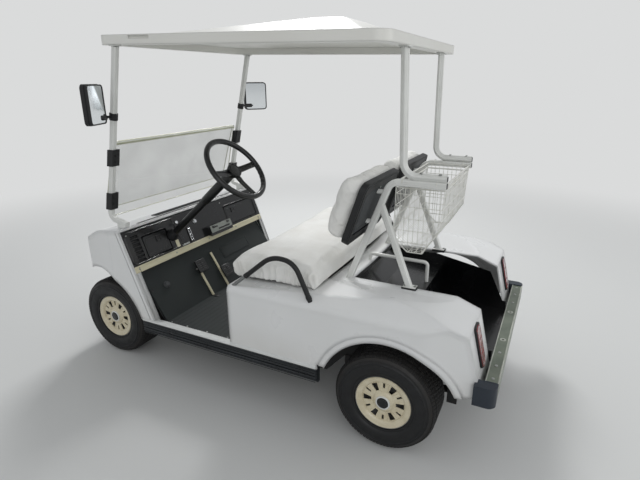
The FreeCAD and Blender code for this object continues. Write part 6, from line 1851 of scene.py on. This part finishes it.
    def _mat(self) -> None:
        """Makes the mat's ribs, its blank embossed plaque, the heel button and floor screws."""
        piece = Assembly("floor_mat_relief")
        plaque = box_loop(0.285, 0.078, 0.012)
        place = self.on_board(-0.212, 0.478, 0.0)
        piece.add(plate([plaque], 0.0030, 0.0010), Look.MAT, place @ Matrix.Translation((0.0, 0.0, 0.0006)))
        border = box_loop(0.268, 0.062, 0.010)
        self.shop.lay_wires(piece, [[(x, y, 0.0022) for x, y in [*border, border[0]]]], 0.0012, Look.MAT, 6,
                            place=place)
        ridge = [tuple(self.on_board(y, 0.420, 0.0006).translation) for y in (-0.060, -0.380)]
        self.shop.lay_wires(piece, [ridge], 0.0016, Look.MAT, 6)
        ribs = [[rack_point(0.80 + 0.030 * k, 0.540, 0.3104), rack_point(0.80 + 0.030 * k, -0.540, 0.3104)]
                for k in range(14)]
        self.shop.lay_wires(piece, ribs, 0.0012, Look.MAT, 6)
        turn = Matrix.Rotation(math.pi / 2, 4, "X")
        button = ((0.0, 0.0), (0.0, 0.019), (0.004, 0.019), (0.006, 0.0165), (0.013, 0.0160), (0.018, 0.0125),
                  (0.020, 0.0))
        piece.add(lathe(button, 32), Look.PANEL, self.on_board(0.437, 0.460, 0.0) @ turn)
        hole = ((0.0, 0.012), (0.0012, 0.012), (0.0016, 0.0085), (0.0004, 0.0070), (0.0004, 0.0))
        piece.add(lathe([(0.0, 0.0), *hole], 24), Look.SOFT_BLACK, self.on_board(0.540, 0.464, 0.0) @ turn)
        piece.add(block(rack_point(0.785, 0.5545, 0.3075), rack_point(1.205, 0.5595, 0.3130), 0.0010),
                  Look.SOFT_BLACK)
        piece.add(block(rack_point(0.785, -0.5595, 0.3075), rack_point(1.205, -0.5545, 0.3130), 0.0010),
                  Look.SOFT_BLACK)
        heads = [(rack_point(spot, side.value * 0.5475, 0.3104), (0.0, 0.0, 1.0))
                 for side in Side for spot in (0.830, 0.960, 1.090, 1.195)]
        self.shop.lay_spots(piece, heads, screw_head(0.0052), Look.ZINC, 9)
        self.shop.fit(piece, "chassis", (), 40)

    def _pedals(self) -> None:
        """Makes the brake and accelerator: ribbed pads on flat arms over floor brackets."""
        piece = Assembly("foot_pedals")
        for middle, height, wide, tall, arm, arm_top in (
            (0.164, 0.464, 0.078, 0.076, 0.178, 0.470), (-0.004, 0.384, 0.078, 0.076, 0.028, 0.505),
        ):
            pad = self.on_board(middle, height, 0.0)
            lifted = pad @ Matrix.Translation((0.0, 0.0, 0.028))
            piece.add(plate([box_loop(wide, tall, 0.009)], 0.012, 0.0025, 2), Look.SATIN_BLACK, lifted)
            ridges = [[(-wide / 2 + 0.010, -tall / 2 + 0.014 + 0.012 * k, 0.0062),
                       (wide / 2 - 0.010, -tall / 2 + 0.014 + 0.012 * k, 0.0062)] for k in range(5)]
            ridges.append([(0.0, -tall / 2 + 0.010, 0.0064), (0.0, tall / 2 - 0.010, 0.0064)])
            self.shop.lay_wires(piece, ridges, 0.0017, Look.SATIN_BLACK, 6, place=lifted)
            piece.add(block((-0.016, -0.010, -0.030), (0.016, 0.010, -0.004), 0.002), Look.ZINC,
                      lifted)
            low = self.board_height
            top = self.on_board(arm, arm_top, 0.013).translation
            base = Vector(rack_point(self.board_foot - 0.006, arm, low + 0.001))
            middle_way = base.lerp(top, 0.5)
            span = (top - base)
            place = axes(tuple(middle_way), (0.0, 1.0, 0.0), tuple(span))
            piece.add(block((-0.007, -span.length / 2, -0.004), (0.007, span.length / 2, 0.004), 0.0018),
                      Look.CREAM, place)
            bracket = axes(rack_point(self.board_foot - 0.020, arm, low + 0.0022), (0.0, 1.0, 0.0),
                           (1.0, 0.0, 0.0))
            piece.add(plate([box_loop(0.030, 0.046, 0.006)], 0.0030, 0.0008), Look.SATIN_BLACK, bracket)
            if arm < 0.1:
                continue
            pin = rod((tuple((lifted @ Matrix.Translation((-wide / 2 - 0.012, -0.006, -0.004))).translation),
                       tuple((lifted @ Matrix.Translation((-wide / 2 + 0.006, -0.006, -0.004))).translation)),
                       0.0045)
            piece.add(pin, Look.ZINC)
        self.shop.fit(piece, "chassis", ("pedals",), 40)


@dataclass
class Steering:
    """The steering wheel, its hub and the column's shroud."""

    shop: Workshop
    hub: Point = (0.195, 0.264, 1.106)
    angle: float = 41.2
    radius: float = 0.171
    thick: float = 0.0142
    dish: float = 0.024

    def build(self) -> None:
        """Makes the wheel on its own body and the shroud on the chassis."""
        self._wheel()
        self._shroud()

    def _frame(self) -> Matrix:
        """Returns the wheel's place: Z along the column towards the driver, Y up the rim."""
        angle = math.radians(self.angle)
        return axes(self.hub, (0.0, -1.0, 0.0), (math.sin(angle), 0.0, math.cos(angle)))

    def _wheel(self) -> None:
        """Makes the rim with its finger waves, three ridged spokes and the blank hub."""
        place = self._frame()
        piece = Assembly("steering_wheel_rim")
        rim = bmesh.new()
        turns, sides = 144, 16
        rings = []
        for turn in range(turns):
            angle = math.tau * turn / turns
            wave = 0.0007 * math.cos(angle * 36) * (0.5 - 0.5 * math.cos(angle * 3 - math.pi / 2))
            ring = []
            for side in range(sides):
                section = math.tau * side / sides
                swell = self.thick + (wave if math.cos(section) < 0.3 else 0.0)
                reach = self.radius + swell * math.cos(section)
                ring.append(rim.verts.new((reach * math.cos(angle), reach * math.sin(angle),
                                           swell * math.sin(section) * 0.96)))
            rings.append(ring)
        for turn in range(turns):
            here, after = rings[turn], rings[(turn + 1) % turns]
            for side in range(sides):
                follow = (side + 1) % sides
                rim.faces.new((here[side], after[side], after[follow], here[follow]))
        bmesh.ops.recalc_face_normals(rim, faces=rim.faces)
        made = bpy.data.meshes.new("rim")
        rim.to_mesh(made)
        rim.free()
        piece.add(made, Look.SATIN_BLACK, place)
        for turn in (90, 180, 270):
            spin = place @ Matrix.Rotation(math.radians(turn + 90), 4, "Z")
            spoke = bmesh.new()
            stations = ((0.030, -self.dish + 0.002, 0.019), (0.070, -self.dish + 0.004, 0.0165),
                        (0.120, -0.010, 0.0155), (0.161, -0.001, 0.0165))
            rows = []
            for out, lift, half in stations:
                section = ((-half, -0.0035), (-half, 0.0020), (-half + 0.003, 0.0040), (-half * 0.42, 0.0040),
                           (-half * 0.28, 0.0004), (half * 0.28, 0.0004), (half * 0.42, 0.0040),
                           (half - 0.003, 0.0040), (half, 0.0020), (half, -0.0035))
                rows.append([spoke.verts.new((out, across, lift + up)) for across, up in section])
            for lower, upper in zip(rows, rows[1:]):
                for k in range(len(lower)):
                    follow = (k + 1) % len(lower)
                    spoke.faces.new((lower[k], lower[follow], upper[follow], upper[k]))
            spoke.faces.new(rows[0])
            spoke.faces.new(rows[-1])
            bmesh.ops.recalc_face_normals(spoke, faces=spoke.faces)
            made = bpy.data.meshes.new("spoke")
            spoke.to_mesh(made)
            spoke.free()
            piece.add(made, Look.SATIN_BLACK, spin)
        hub = ((-0.046, 0.0), (-0.046, 0.0260), (-0.036, 0.0330), (-0.020, 0.0385), (-0.0120, 0.0400),
               (-0.0085, 0.0385), (-0.0070, 0.0350), (-0.0078, 0.0320), (-0.0100, 0.0310), (-0.0100, 0.0285),
               (-0.0072, 0.0275), (-0.0068, 0.0200), (-0.0062, 0.0))
        turned = place @ Matrix.Rotation(math.pi / 2, 4, "X")
        piece.add(lathe(hub, 56), Look.SATIN_BLACK, turned)
        self.shop.fit(piece, "steering_wheel", ("steering_wheel",), 40)

    def _shroud(self) -> None:
        """Makes the moulded shroud round the column near the dash, split along its side."""
        place = self._frame() @ Matrix.Rotation(math.pi / 2, 4, "X")
        piece = Assembly("column_shroud")
        collar = ((-0.290, 0.0185), (-0.290, 0.0215), (-0.284, 0.0238), (-0.080, 0.0252), (-0.058, 0.0240),
                  (-0.052, 0.0185))
        piece.add(lathe(collar, 40), Look.SATIN_BLACK, place)
        boot = ((-0.650, 0.0185), (-0.650, 0.0330), (-0.632, 0.0335), (-0.622, 0.0290), (-0.614, 0.0285),
                (-0.606, 0.0240), (-0.598, 0.0228), (-0.596, 0.0185))
        piece.add(lathe(boot, 40), Look.SOFT_BLACK, place)
        along = self._frame()
        line = [[tuple((along @ Matrix.Translation((0.0242 * side.value, 0.0, depth))).translation)
                 for depth in (-0.282, -0.090)] for side in Side]
        self.shop.lay_wires(piece, line, 0.0010, Look.SATIN_BLACK, 6)
        self.shop.fit(piece, "chassis", (), 40)


@dataclass
class Screen:
    """Edges, rail and clips of the folding windshield, and the cowl's seams below it."""

    shop: Workshop
    half: float = 0.505
    low: float = 0.836
    hinge: float = 1.218
    foot: float = 1.568
    foot_height: float = 0.838
    lean: float = 0.2350

    def build(self) -> None:
        """Makes the pale edge beads, the hinge cap, the clip straps and the top seams."""
        self._edges()
        self._seams()

    def _station(self, height: float, ahead: float) -> float:
        """Returns the station of the windshield at a height, ahead of the front struts."""
        return self.foot - (height - self.foot_height) * self.lean + ahead

    def _edge(self, low: float, ahead: tuple[float, float], thick: float) -> list[Point]:
        """Returns the run down one side, along the foot and up the other side of a pane."""
        places = ((self.hinge, ahead[1], 1), (low, ahead[0], 1), (low, ahead[0], -1),
                  (self.hinge, ahead[1], -1))
        return [rack_point(self._station(z, a + thick / 2), side * (self.half - 0.0008), z) for z, a,
                side in places]

    def _edges(self) -> None:
        """Makes the beads round both panes, the hinge cap and its end plugs."""
        piece = Assembly("windshield_edges")
        beads = (self._edge(self.low + 0.0008, (0.020, 0.020), 0.005),
                 self._edge(self.low + 0.0408, (0.060, 0.032), 0.005))
        for run in beads:
            self.shop.lay_wires(piece, [run], 0.0026, Look.EDGE, 8, 0.030)
        middle = self._station(self.hinge, 0.028)
        cap = [rack_point(middle + dx, y, self.hinge + 0.0158) for dx,
               y in ((0.0, self.half - 0.002), (0.0, 0.002 - self.half))]
        self.shop.lay_wires(piece, [cap], 0.0052, Look.EDGE, 12)
        face = self._station(self.hinge, 0.0135)
        for up in (0.0050, 0.0100):
            run = [rack_point(face, y, self.hinge + up) for y in (self.half - 0.002, 0.002 - self.half)]
            self.shop.lay_wires(piece, [run], 0.0024, Look.EDGE, 8)
        for ahead in (0.0145, 0.0415):
            lip = [rack_point(self._station(self.hinge, ahead), y, self.hinge + 0.0035)
                   for y in (self.half - 0.002, 0.002 - self.half)]
            self.shop.lay_wires(piece, [lip], 0.0022, Look.EDGE, 8)
        for side in Side:
            plug = block(rack_point(middle - 0.0125, side.value * self.half - 0.003, self.hinge + 0.0025),
                         rack_point(middle + 0.0125, side.value * self.half + 0.003, self.hinge + 0.0190),
                         0.002)
            piece.add(plug, Look.SOFT_BLACK)
        bolts = []
        for side in Side:
            for height in (0.915, 0.948, 1.140, 1.172):
                bolts.append((rack_point(self._station(height, -0.0210), side.value * 0.5260, height),
                              (-1.0, 0.0, -0.235)))
        self.shop.lay_spots(piece, bolts, screw_head(0.0042), Look.SOFT_BLACK, 3)
        self.shop.fit(piece, "chassis", (), 40)

    def _seams(self) -> None:
        """Makes the vent strip, the seam below it and the cowl's front crease."""
        piece = Assembly("cowl_seams")
        slope = 0.024 / 0.191
        top = 0.796

        def lay(points: Sequence[tuple[float, float]], proud: float) -> list[Point]:
            return [rack_point(x, y, top - max(x - 1.449, 0.0) * slope + proud) for x, y in points]

        angle = math.atan(slope)
        lengthways, across, station, reach = 0.052, 0.470, 1.532, 0.030
        place = axes(rack_point(station, reach, top - (station - 1.449) * slope + 0.0016),
                     (0.0, 1.0, 0.0), (-math.cos(angle), 0.0, math.sin(angle)))
        piece.add(plate([box_loop(across, lengthways, 0.010)], 0.0032, 0.0010), Look.BLACK_SHELL, place)
        slats = [[(-across / 2 + 0.012, -lengthways / 2 + 0.008 + 0.0072 * k, 0.0016),
                  (across / 2 - 0.012, -lengthways / 2 + 0.008 + 0.0072 * k, 0.0016)] for k in range(6)]
        self.shop.lay_wires(piece, slats, 0.0014, Look.SOFT_BLACK, 6, place=place)
        for station in (1.468, 1.481):
            self.shop.lay_wires(piece, [lay([(station, 0.440), (station, -0.440)], 0.0006)], 0.0022,
                                Look.SOFT_BLACK, 8)
        lip = lay([(1.4535, 0.582), (1.4535, -0.582)], 0.0005)
        self.shop.lay_wires(piece, [lip], 0.0042, Look.BODY, 10)
        self.shop.fit(piece, "chassis", (), 40)


@dataclass
class BodyTrim:
    """Sill strips, rolled flanges, rocker ribs and fasteners of the body."""

    shop: Workshop
    half: float = 0.595
    sill_top: float = 0.309
    sill_rear: float = 0.308
    sill_front: float = 1.356
    post_slope: float = (1.449 - 1.262) / (0.796 - 0.309)

    def build(self) -> None:
        """Makes the trim of the sills, the flanges, the roof and the well."""
        self._sills()
        self._flanges()
        self._roof()
        self._well()

    def _strip(self, section: Loop, start: float, end: float) -> bpy.types.Mesh:
        """Runs a section of reach and height along the vehicle between two stations."""
        return prism([[rack_point(station, y, z) for y, z in section] for station in (start, end)])

    def _sills(self) -> None:
        """Makes the stepped white strip over each rocker and the rocker's fine ribs."""
        piece = Assembly("sill_strips")
        for side in Side:
            s = side.value
            low, high = self.sill_top + 0.0002, self.sill_top + 0.0190
            outside = rounded_loop(((s * (self.half - 0.006), low, 0.0),
                                    (s * (self.half + 0.0048), low, 0.0022),
                                    (s * (self.half + 0.0048), low + 0.0105, 0.0022),
                                    (s * (self.half + 0.0016), low + 0.0125, 0.0008),
                                    (s * (self.half + 0.0016), high, 0.0012),
                                    (s * (self.half - 0.006), high, 0.0)), 3)
            door = rounded_loop(((s * (self.half - 0.0345), low, 0.0),
                                 (s * (self.half + 0.0048), low, 0.0022),
                                 (s * (self.half + 0.0048), low + 0.0075, 0.0025),
                                 (s * (self.half - 0.0140), low + 0.0105, 0.0015),
                                 (s * (self.half - 0.0160), low + 0.0075, 0.0012),
                                 (s * (self.half - 0.0345), low + 0.0070, 0.0012)), 3)
            piece.add(self._strip(outside, self.sill_rear + 0.004, 0.779), Look.TRIM)
            piece.add(self._strip(door, 0.7785, self.sill_front - 0.004), Look.TRIM)
            for rib in range(8):
                z = 0.2395 + 0.0085 * rib
                run = [rack_point(x, s * (self.half - 0.0002), z)
                       for x in (self.sill_rear + 0.006, self.sill_front - 0.006)]
                self.shop.lay_wires(piece, [run], 0.0015, Look.ROCKER, 6)
        self.shop.fit(piece, "chassis", (), 40)

    def _leant(self, section: Loop, low: float, high: float) -> bpy.types.Mesh:
        """Runs a section of reach and depth up the door opening's front edge."""
        return prism([[rack_point(1.2655 + (z - 0.309) * self.post_slope + back, y, z) for y, back in section]
                      for z in (low, high)])

    @staticmethod
    def _cheek(corners: Loop, near: float, far: float) -> bpy.types.Mesh:
        """Makes a thin upright sheet from stations and heights between two reaches."""
        return prism([[rack_point(x, y, z) for x, z in corners] for y in (near, far)])

    def _ring(self, centre: tuple[float, float], radius: float, arc: tuple[float, float],
              reach: float) -> list[Point]:
        """Returns an arc beside a wheel, from one angle to another in degrees."""
        return [rack_point(centre[0] + radius * math.cos(math.radians(a)), reach,
                           centre[1] + radius * math.sin(math.radians(a)))
                for a in np.linspace(arc[0], arc[1], 49)]

    def _flanges(self) -> None:
        """Makes the rolled edges round the arches and the double step of the door openings."""
        piece = Assembly("rolled_flanges")
        for side in Side:
            s = side.value
            start = math.degrees(math.asin((self.sill_top + 0.022 - 0.215) / 0.3045))
            rear = self._ring((-0.010, 0.215), 0.3045, (start, 116.0), s * (self.half + 0.0030))
            self.shop.lay_wires(piece, [rear], 0.0035, Look.BODY, 10)
            low = math.degrees(math.asin((self.sill_top + 0.006 - 0.226) / 0.3155))
            front = self._ring((1.664, 0.226), 0.3155, (118.0, 180.0 - low), s * (self.half - 0.0008))
            self.shop.lay_wires(piece, [front], 0.0034, Look.BODY, 10)
            for back, reach, thick in ((0.0035, 0.5935, 0.0032), (0.0300, 0.5952, 0.0018)):
                post = [rack_point(1.262 + (z - 0.309) * self.post_slope + back, s * reach,
                                   z) for z in (0.324, 0.788)]
                self.shop.lay_wires(piece, [post], thick, Look.BODY, 8)
            turn = [(s * 0.5925, 0.0), (s * 0.5560, 0.0), (s * 0.5560, 0.0022), (s * 0.5925, 0.0022)]
            piece.add(self._leant(turn, 0.3145, 0.601), Look.BODY)
            cheek = [(1.318, 0.4560), (1.3716, 0.5990), (1.4080, 0.5990)]
            piece.add(self._cheek(cheek, s * 0.5555, s * 0.5575), Look.MAT)
            edge = [rack_point(0.7745, s * (self.half - 0.0004), z) for z in (0.330, 0.596)]
            self.shop.lay_wires(piece, [edge], 0.0026, Look.BODY, 8)
        self.shop.fit(piece, "chassis", (), 40)

    def _roof(self) -> None:
        """Makes the screws through the roof rim over each strut."""
        piece = Assembly("roof_fasteners")
        angle = math.radians(1.4)
        heads = []
        for side in Side:
            for station, reach in ((1.370, 0.526), (0.062, 0.300)):
                under = 1.653 + (station - 0.046) * math.tan(angle) - 0.0030
                for ahead in (-0.017, 0.017):
                    spot = rack_point(station + ahead, side.value * reach,
                                      under - 0.0026 + ahead * math.tan(angle))
                    heads.append((spot, (0.0, 0.0, -1.0)))
        self.shop.lay_spots(piece, heads, hex_head(0.010, 0.004), Look.ZINC, 4)
        self.shop.fit(piece, "chassis", (), 40)

    def _well(self) -> None:
        """Makes the ribs across the bag well's floor."""
        piece = Assembly("well_ribs")
        ribs = [[rack_point(-0.090 - 0.045 * k, 0.240, 0.3668),
                 rack_point(-0.090 - 0.045 * k, -0.240, 0.3668)]
                for k in range(6)]
        self.shop.lay_wires(piece, ribs, 0.0030, Look.DASH, 6)
        self.shop.fit(piece, "chassis", (), 40)


@dataclass
class EndGear:
    """Lamps' surrounds, bumper trim and the mirrors' glass."""

    shop: Workshop
    wheelbase: float = 1.664
    lamp_low: float = 0.428
    lamp_top: float = 0.592
    lamp_reach: float = 0.418
    lamp_wide: float = 0.066
    mirror_outer: float = 0.730
    mirror_station: float = 1.412
    mirror_centre: float = 1.425
    strut_foot: float = 1.568
    strut_foot_height: float = 0.838
    strut_lean: float = 0.2350
    strut_reach: float = 0.526

    def build(self) -> None:
        """Makes the trim of both ends and of the mirrors."""
        self._tail()
        self._head()
        self._bumper()
        self._mirrors()

    def _ring(self, wide: float, tall: float, edge: float, radius: float, thick: float) -> bpy.types.Mesh:
        """Makes a flat ring whose inner edge has the given size."""
        return plate([box_loop(wide + 2 * edge, tall + 2 * edge, radius + edge),
                      box_loop(wide, tall, radius)],
                     thick, min(thick * 0.3, 0.001), 2)

    def _tail(self) -> None:
        """Makes each tail lamp's gasket, its inner frame and two screws."""
        piece = Assembly("tail_lamp_surrounds")
        slope = (-0.318 + 0.384) / (0.600 - 0.335)
        tall = (self.lamp_top - self.lamp_low) * math.hypot(1.0, slope)
        middle = (self.lamp_top + self.lamp_low) / 2
        heads = []
        for side in Side:
            station = -0.384 + (middle - 0.335) * slope
            place = axes(rack_point(station, side.value * self.lamp_reach, middle), (0.0, -1.0, 0.0),
                         (slope, 0.0, 1.0))
            piece.add(self._ring(self.lamp_wide + 0.001, tall + 0.001, 0.0055, 0.016, 0.009), Look.SOFT_BLACK,
                      place @ Matrix.Translation((0.0, 0.0, 0.0045)))
            piece.add(self._ring(self.lamp_wide - 0.016, tall - 0.016, 0.0022, 0.010, 0.0016), Look.CHROME,
                      place @ Matrix.Translation((0.0, 0.0, 0.0124)))
            bars = [[(-0.024, up, 0.0122), (0.024, up, 0.0122)] for up in (-0.030, 0.030)]
            self.shop.lay_wires(piece, bars, 0.0014, Look.RED_LENS, 6, place=place)
            out = tuple(place.to_3x3() @ Vector((0.0, 0.0, 1.0)))
            heads += [(tuple(place @ Vector((0.0, up * (tall / 2 - 0.0055), 0.0121))), out) for up in (-1, 1)]
        self.shop.lay_spots(piece, heads, screw_head(0.0032), Look.CHROME, 6)
        self.shop.fit(piece, "chassis", (), 40)

    def _head(self) -> None:
        """Makes each head lamp's gasket and reflector frame, and the front bumper's ribs."""
        piece = Assembly("head_lamp_surrounds")
        face = self.wheelbase + 0.236 - 0.014
        for side in Side:
            place = axes(rack_point(face, side.value * 0.300, 0.546), (0.0, 1.0, 0.0), (0.0, 0.0, 1.0))
            piece.add(self._ring(0.151, 0.069, 0.006, 0.016, 0.008), Look.SOFT_BLACK,
                      place @ Matrix.Translation((0.0, 0.0, 0.0040)))
            piece.add(self._ring(0.136, 0.054, 0.0020, 0.010, 0.0014), Look.CHROME,
                      place @ Matrix.Translation((0.0, 0.0, 0.0104)))
        front = self.wheelbase + 0.236
        lines = [[rack_point(front - 0.0012, y, z) for y in (0.270, -0.270)] for z in (0.350, 0.365, 0.395,
                                                                                       0.410)]
        self.shop.lay_wires(piece, lines, 0.0018, Look.SOFT_BLACK, 6)
        bolts = [(rack_point(front - 0.0005, y, 0.380), (1.0, 0.0, 0.0)) for y in (0.235, -0.235)]
        self.shop.lay_spots(piece, bolts, hex_head(0.014, 0.0030), Look.ZINC, 8)
        self.shop.fit(piece, "chassis", (), 40)

    def _bumper(self) -> None:
        """Makes the rear bumper's pale lips, its screws and the caps' seams."""
        piece = Assembly("rear_bumper_lips")
        half = 0.512
        for station, thick in ((-0.4372, 0.0030), (-0.3905, 0.0022)):
            lip = [rack_point(station, y, 0.4112) for y in (half, -half)]
            self.shop.lay_wires(piece, [lip], thick, Look.CHANNEL_EDGE, 8)
        for height in (0.345, 0.372, 0.399):
            rib = [rack_point(-0.4390, y, height) for y in (half, -half)]
            self.shop.lay_wires(piece, [rib], 0.0014, Look.CHANNEL_EDGE, 6)
        heads = [(rack_point(-0.414, s * y, 0.4112), (0.0, 0.0, 1.0)) for y in (0.480, 0.380,
                                                                                0.270) for s in (1, -1)]
        self.shop.lay_spots(piece, heads, screw_head(0.0068), Look.ZINC, 2)
        for side in Side:
            eyelet = plate([box_loop(0.026, 0.026, 0.0129, 8), box_loop(0.0115, 0.0115, 0.0057, 8)], 0.0016,
                           0.0005)
            piece.add(eyelet, Look.CHANNEL_EDGE,
                      Matrix.Translation(rack_point(-0.414, side.value * 0.150, 0.4114)))
            seam = [rack_point(x, side.value * 0.5134, 0.4152) for x in (-0.436, -0.392)]
            self.shop.lay_wires(piece, [seam], 0.0018, Look.CAP, 6)
        self.shop.fit(piece, "chassis", (), 40)

    def _mirrors(self) -> None:
        """Makes each mirror's glass, its bead and the clamp of its arm."""
        piece = Assembly("mirror_glass")
        for side, turn in ((Side.LEFT, 25.0), (Side.RIGHT, 39.0)):
            s = side.value
            angle = math.radians(turn)
            middle = self.mirror_outer - 0.0775 * math.cos(angle) - 0.018 * math.sin(angle)
            head = Matrix.Translation(rack_point(self.mirror_station, s * middle,
                                                 self.mirror_centre)) @ Matrix.Rotation(s * angle, 4, "Z")
            place = head @ axes((0.0, 0.0, 0.0), (0.0, -1.0, 0.0), (0.0, 0.0, 1.0))
            piece.add(plate([box_loop(0.141, 0.168, 0.016)], 0.0030, 0.0004), Look.SILVER,
                      place @ Matrix.Translation((0.0, 0.0, 0.0105)))
            piece.add(self._ring(0.139, 0.166, 0.0062, 0.016, 0.0150), Look.BLACK_SHELL,
                      place @ Matrix.Translation((0.0, 0.0, 0.0070)))
            piece.add(block((-0.020, -s * 0.078, -0.073), (-0.002, -s * 0.030, -0.049), 0.006),
                      Look.BLACK_SHELL, head)
            back = axes((0.018, 0.0, 0.0), (0.0, 1.0, 0.0), (0.0, 0.0, 1.0))
            piece.add(plate([box_loop(0.060, 0.070, 0.020)], 0.0050, 0.0018), Look.BLACK_SHELL,
                      head @ back @ Matrix.Translation((0.0, 0.0, 0.0010)))
            height = self.mirror_centre - 0.182 / 3
            station = self.strut_foot - (height - self.strut_foot_height) * self.strut_lean
            lean = (-self.strut_lean, 0.0, 1.0)
            collar = [tuple(Vector(rack_point(station, s * self.strut_reach,
                                              height)) + Vector(lean) * up) for up in (-0.016, 0.016)]
            piece.add(rod(collar, 0.0205, sides=6), Look.SOFT_BLACK)
        self.shop.fit(piece, "chassis", (), 40)


@dataclass
class Studio:
    """A pale floor, soft lamps and the camera."""

    eye: tuple[float, float, float] = (-1.2559, 2.2103, 1.5297)
    yaw: float = -1.1048
    pitch: float = 0.3254
    roll: float = 0.0051
    focal_pixels: float = 475.2
    floor_colour: str = "#CCCDCC"
    back_colour: str = "#DADBDB"
    world_colour: str = "#EFF1F3"
    world_strength: float = 0.60

    def build(self) -> None:
        """Makes the floor, the light and the camera."""
        self._floor()
        self._world()
        self._lamps()
        self._camera()
        LOG.info("studio ready")

    def _floor(self) -> None:
        """Lays a round floor that fades into the backdrop far from the wheels."""
        mesh = bpy.data.meshes.new("floor")
        rings = (0.0, 4.0, 8.0, 16.0, 60.0)
        points = [(0.0, 0.0, 0.0)]
        faces = []
        steps = 48
        for radius in rings[1:]:
            points += [(radius * math.cos(math.tau * k / steps), radius * math.sin(math.tau * k / steps), 0.0)
                       for k in range(steps)]
        for k in range(steps):
            faces.append((0, 1 + k, 1 + (k + 1) % steps))
        for ring in range(1, len(rings) - 1):
            low, high = 1 + (ring - 1) * steps, 1 + ring * steps
            for k in range(steps):
                faces.append((low + k, high + k, high + (k + 1) % steps, low + (k + 1) % steps))
        mesh.from_pydata(points, [], faces)
        material, tree, shader = blank_material("studio_floor")
        shader.inputs["Base Color"].default_value = linear(self.floor_colour)
        shader.inputs["Roughness"].default_value = 0.85
        place = add_node(tree, "ShaderNodeTexCoord").outputs["Object"]
        reach = add_node(tree, "ShaderNodeVectorMath", {0: place}, operation="LENGTH").outputs["Value"]
        far = add_node(
            tree, "ShaderNodeMapRange",
            {"Value": reach, "From Min": 2.6, "From Max": 6.0}, interpolation_type="SMOOTHSTEP",
        ).outputs[0]
        pale = add_node(tree, "ShaderNodeEmission", {"Color": linear(self.back_colour), "Strength": 1.0})
        path = add_node(tree, "ShaderNodeLightPath")
        seen = add_node(
            tree, "ShaderNodeMath",
            {0: path.outputs["Is Camera Ray"], 1: path.outputs["Is Transmission Ray"]}, operation="MAXIMUM",
        ).outputs[0]
        seen = add_node(
            tree, "ShaderNodeMath", {0: seen, 1: path.outputs["Is Glossy Ray"]}, operation="MAXIMUM"
        ).outputs[0]
        shown = add_node(tree, "ShaderNodeMath", {0: far, 1: seen}, operation="MULTIPLY").outputs[0]
        mixed = add_node(
            tree, "ShaderNodeMixShader", {0: shown, 1: shader.outputs[0], 2: pale.outputs[0]}
        ).outputs[0]
        output = next(node for node in tree.nodes if node.type == "OUTPUT_MATERIAL")
        tree.links.new(mixed, output.inputs["Surface"])
        mesh.materials.append(material)
        floor = bpy.data.objects.new("floor", mesh)
        bpy.context.scene.collection.objects.link(floor)

    def _world(self) -> None:
        """Lights the cart evenly and shows a pale backdrop."""
        world = bpy.data.worlds.new("studio")
        bpy.context.scene.world = world
        world.use_nodes = True
        tree = world.node_tree
        tree.nodes.clear()
        path = add_node(tree, "ShaderNodeLightPath")
        seen = add_node(
            tree, "ShaderNodeMath",
            {0: path.outputs["Is Camera Ray"], 1: path.outputs["Is Transmission Ray"]},
            operation="MAXIMUM",
        )
        light = add_node(
            tree, "ShaderNodeBackground",
            {"Color": linear(self.world_colour), "Strength": self.world_strength},
        )
        back = add_node(tree, "ShaderNodeBackground", {"Color": linear(self.back_colour), "Strength": 1.0})
        mixed = add_node(
            tree, "ShaderNodeMixShader", {0: seen.outputs[0], 1: light.outputs[0], 2: back.outputs[0]}
        )
        add_node(tree, "ShaderNodeOutputWorld", {"Surface": mixed.outputs[0]})

    def _lamps(self) -> None:
        """Hangs a key lamp high over the far front side and two wide fills."""
        lamps = (
            ("key", (1.6, -3.2, 4.2), 1.5, 150.0),
            ("fill", (-2.6, 4.4, 2.8), 3.2, 42.0),
            ("rear", (-4.6, -1.0, 2.6), 3.0, 40.0),
        )
        for name, spot, size, power in lamps:
            lamp = bpy.data.lights.new(name, "AREA")
            lamp.size = size
            lamp.energy = power
            holder = bpy.data.objects.new(name, lamp)
            holder.location = spot
            aim = Vector((0, 0, 0.8)) - Vector(spot)
            holder.rotation_euler = aim.to_track_quat("-Z", "Y").to_euler()
            bpy.context.scene.collection.objects.link(holder)

    def _camera(self) -> None:
        """Stands the camera where the photograph was taken."""
        ahead = Vector((
            math.cos(self.yaw) * math.cos(self.pitch),
            math.sin(self.yaw) * math.cos(self.pitch),
            -math.sin(self.pitch),
        ))
        right = ahead.cross(Vector((0, 0, 1))).normalized()
        up = right.cross(ahead)
        tilt = Matrix.Rotation(self.roll, 3, ahead)
        right, up = tilt @ right, tilt @ up
        camera = bpy.data.cameras.new("camera")
        camera.sensor_width = 36.0
        camera.lens = self.focal_pixels / 640 * 36.0
        holder = bpy.data.objects.new("camera", camera)
        turn = Matrix((right, up, -ahead)).transposed().to_4x4()
        holder.matrix_world = Matrix.Translation(self.eye) @ turn
        bpy.context.scene.collection.objects.link(holder)
        bpy.context.scene.camera = holder


def main() -> None:
    """Builds the cart's looks in order."""
    logging.basicConfig(level=logging.INFO, format="%(message)s")
    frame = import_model()
    bpy.context.scene.view_settings.view_transform = "Standard"
    Studio().build()
    shop = Workshop(frame)
    shop.dress_nodes()
    Wheels(shop).build()
    cushions = Cushions(shop)
    cushions.build()
    BackShells(shop, cushions).build()
    Tubes(shop).build()
    Basket(shop).build()
    Dash(shop).build()
    Steering(shop).build()
    Screen(shop).build()
    BodyTrim(shop).build()
    EndGear(shop).build()
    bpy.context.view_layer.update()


if __name__ == "__main__":
    main()
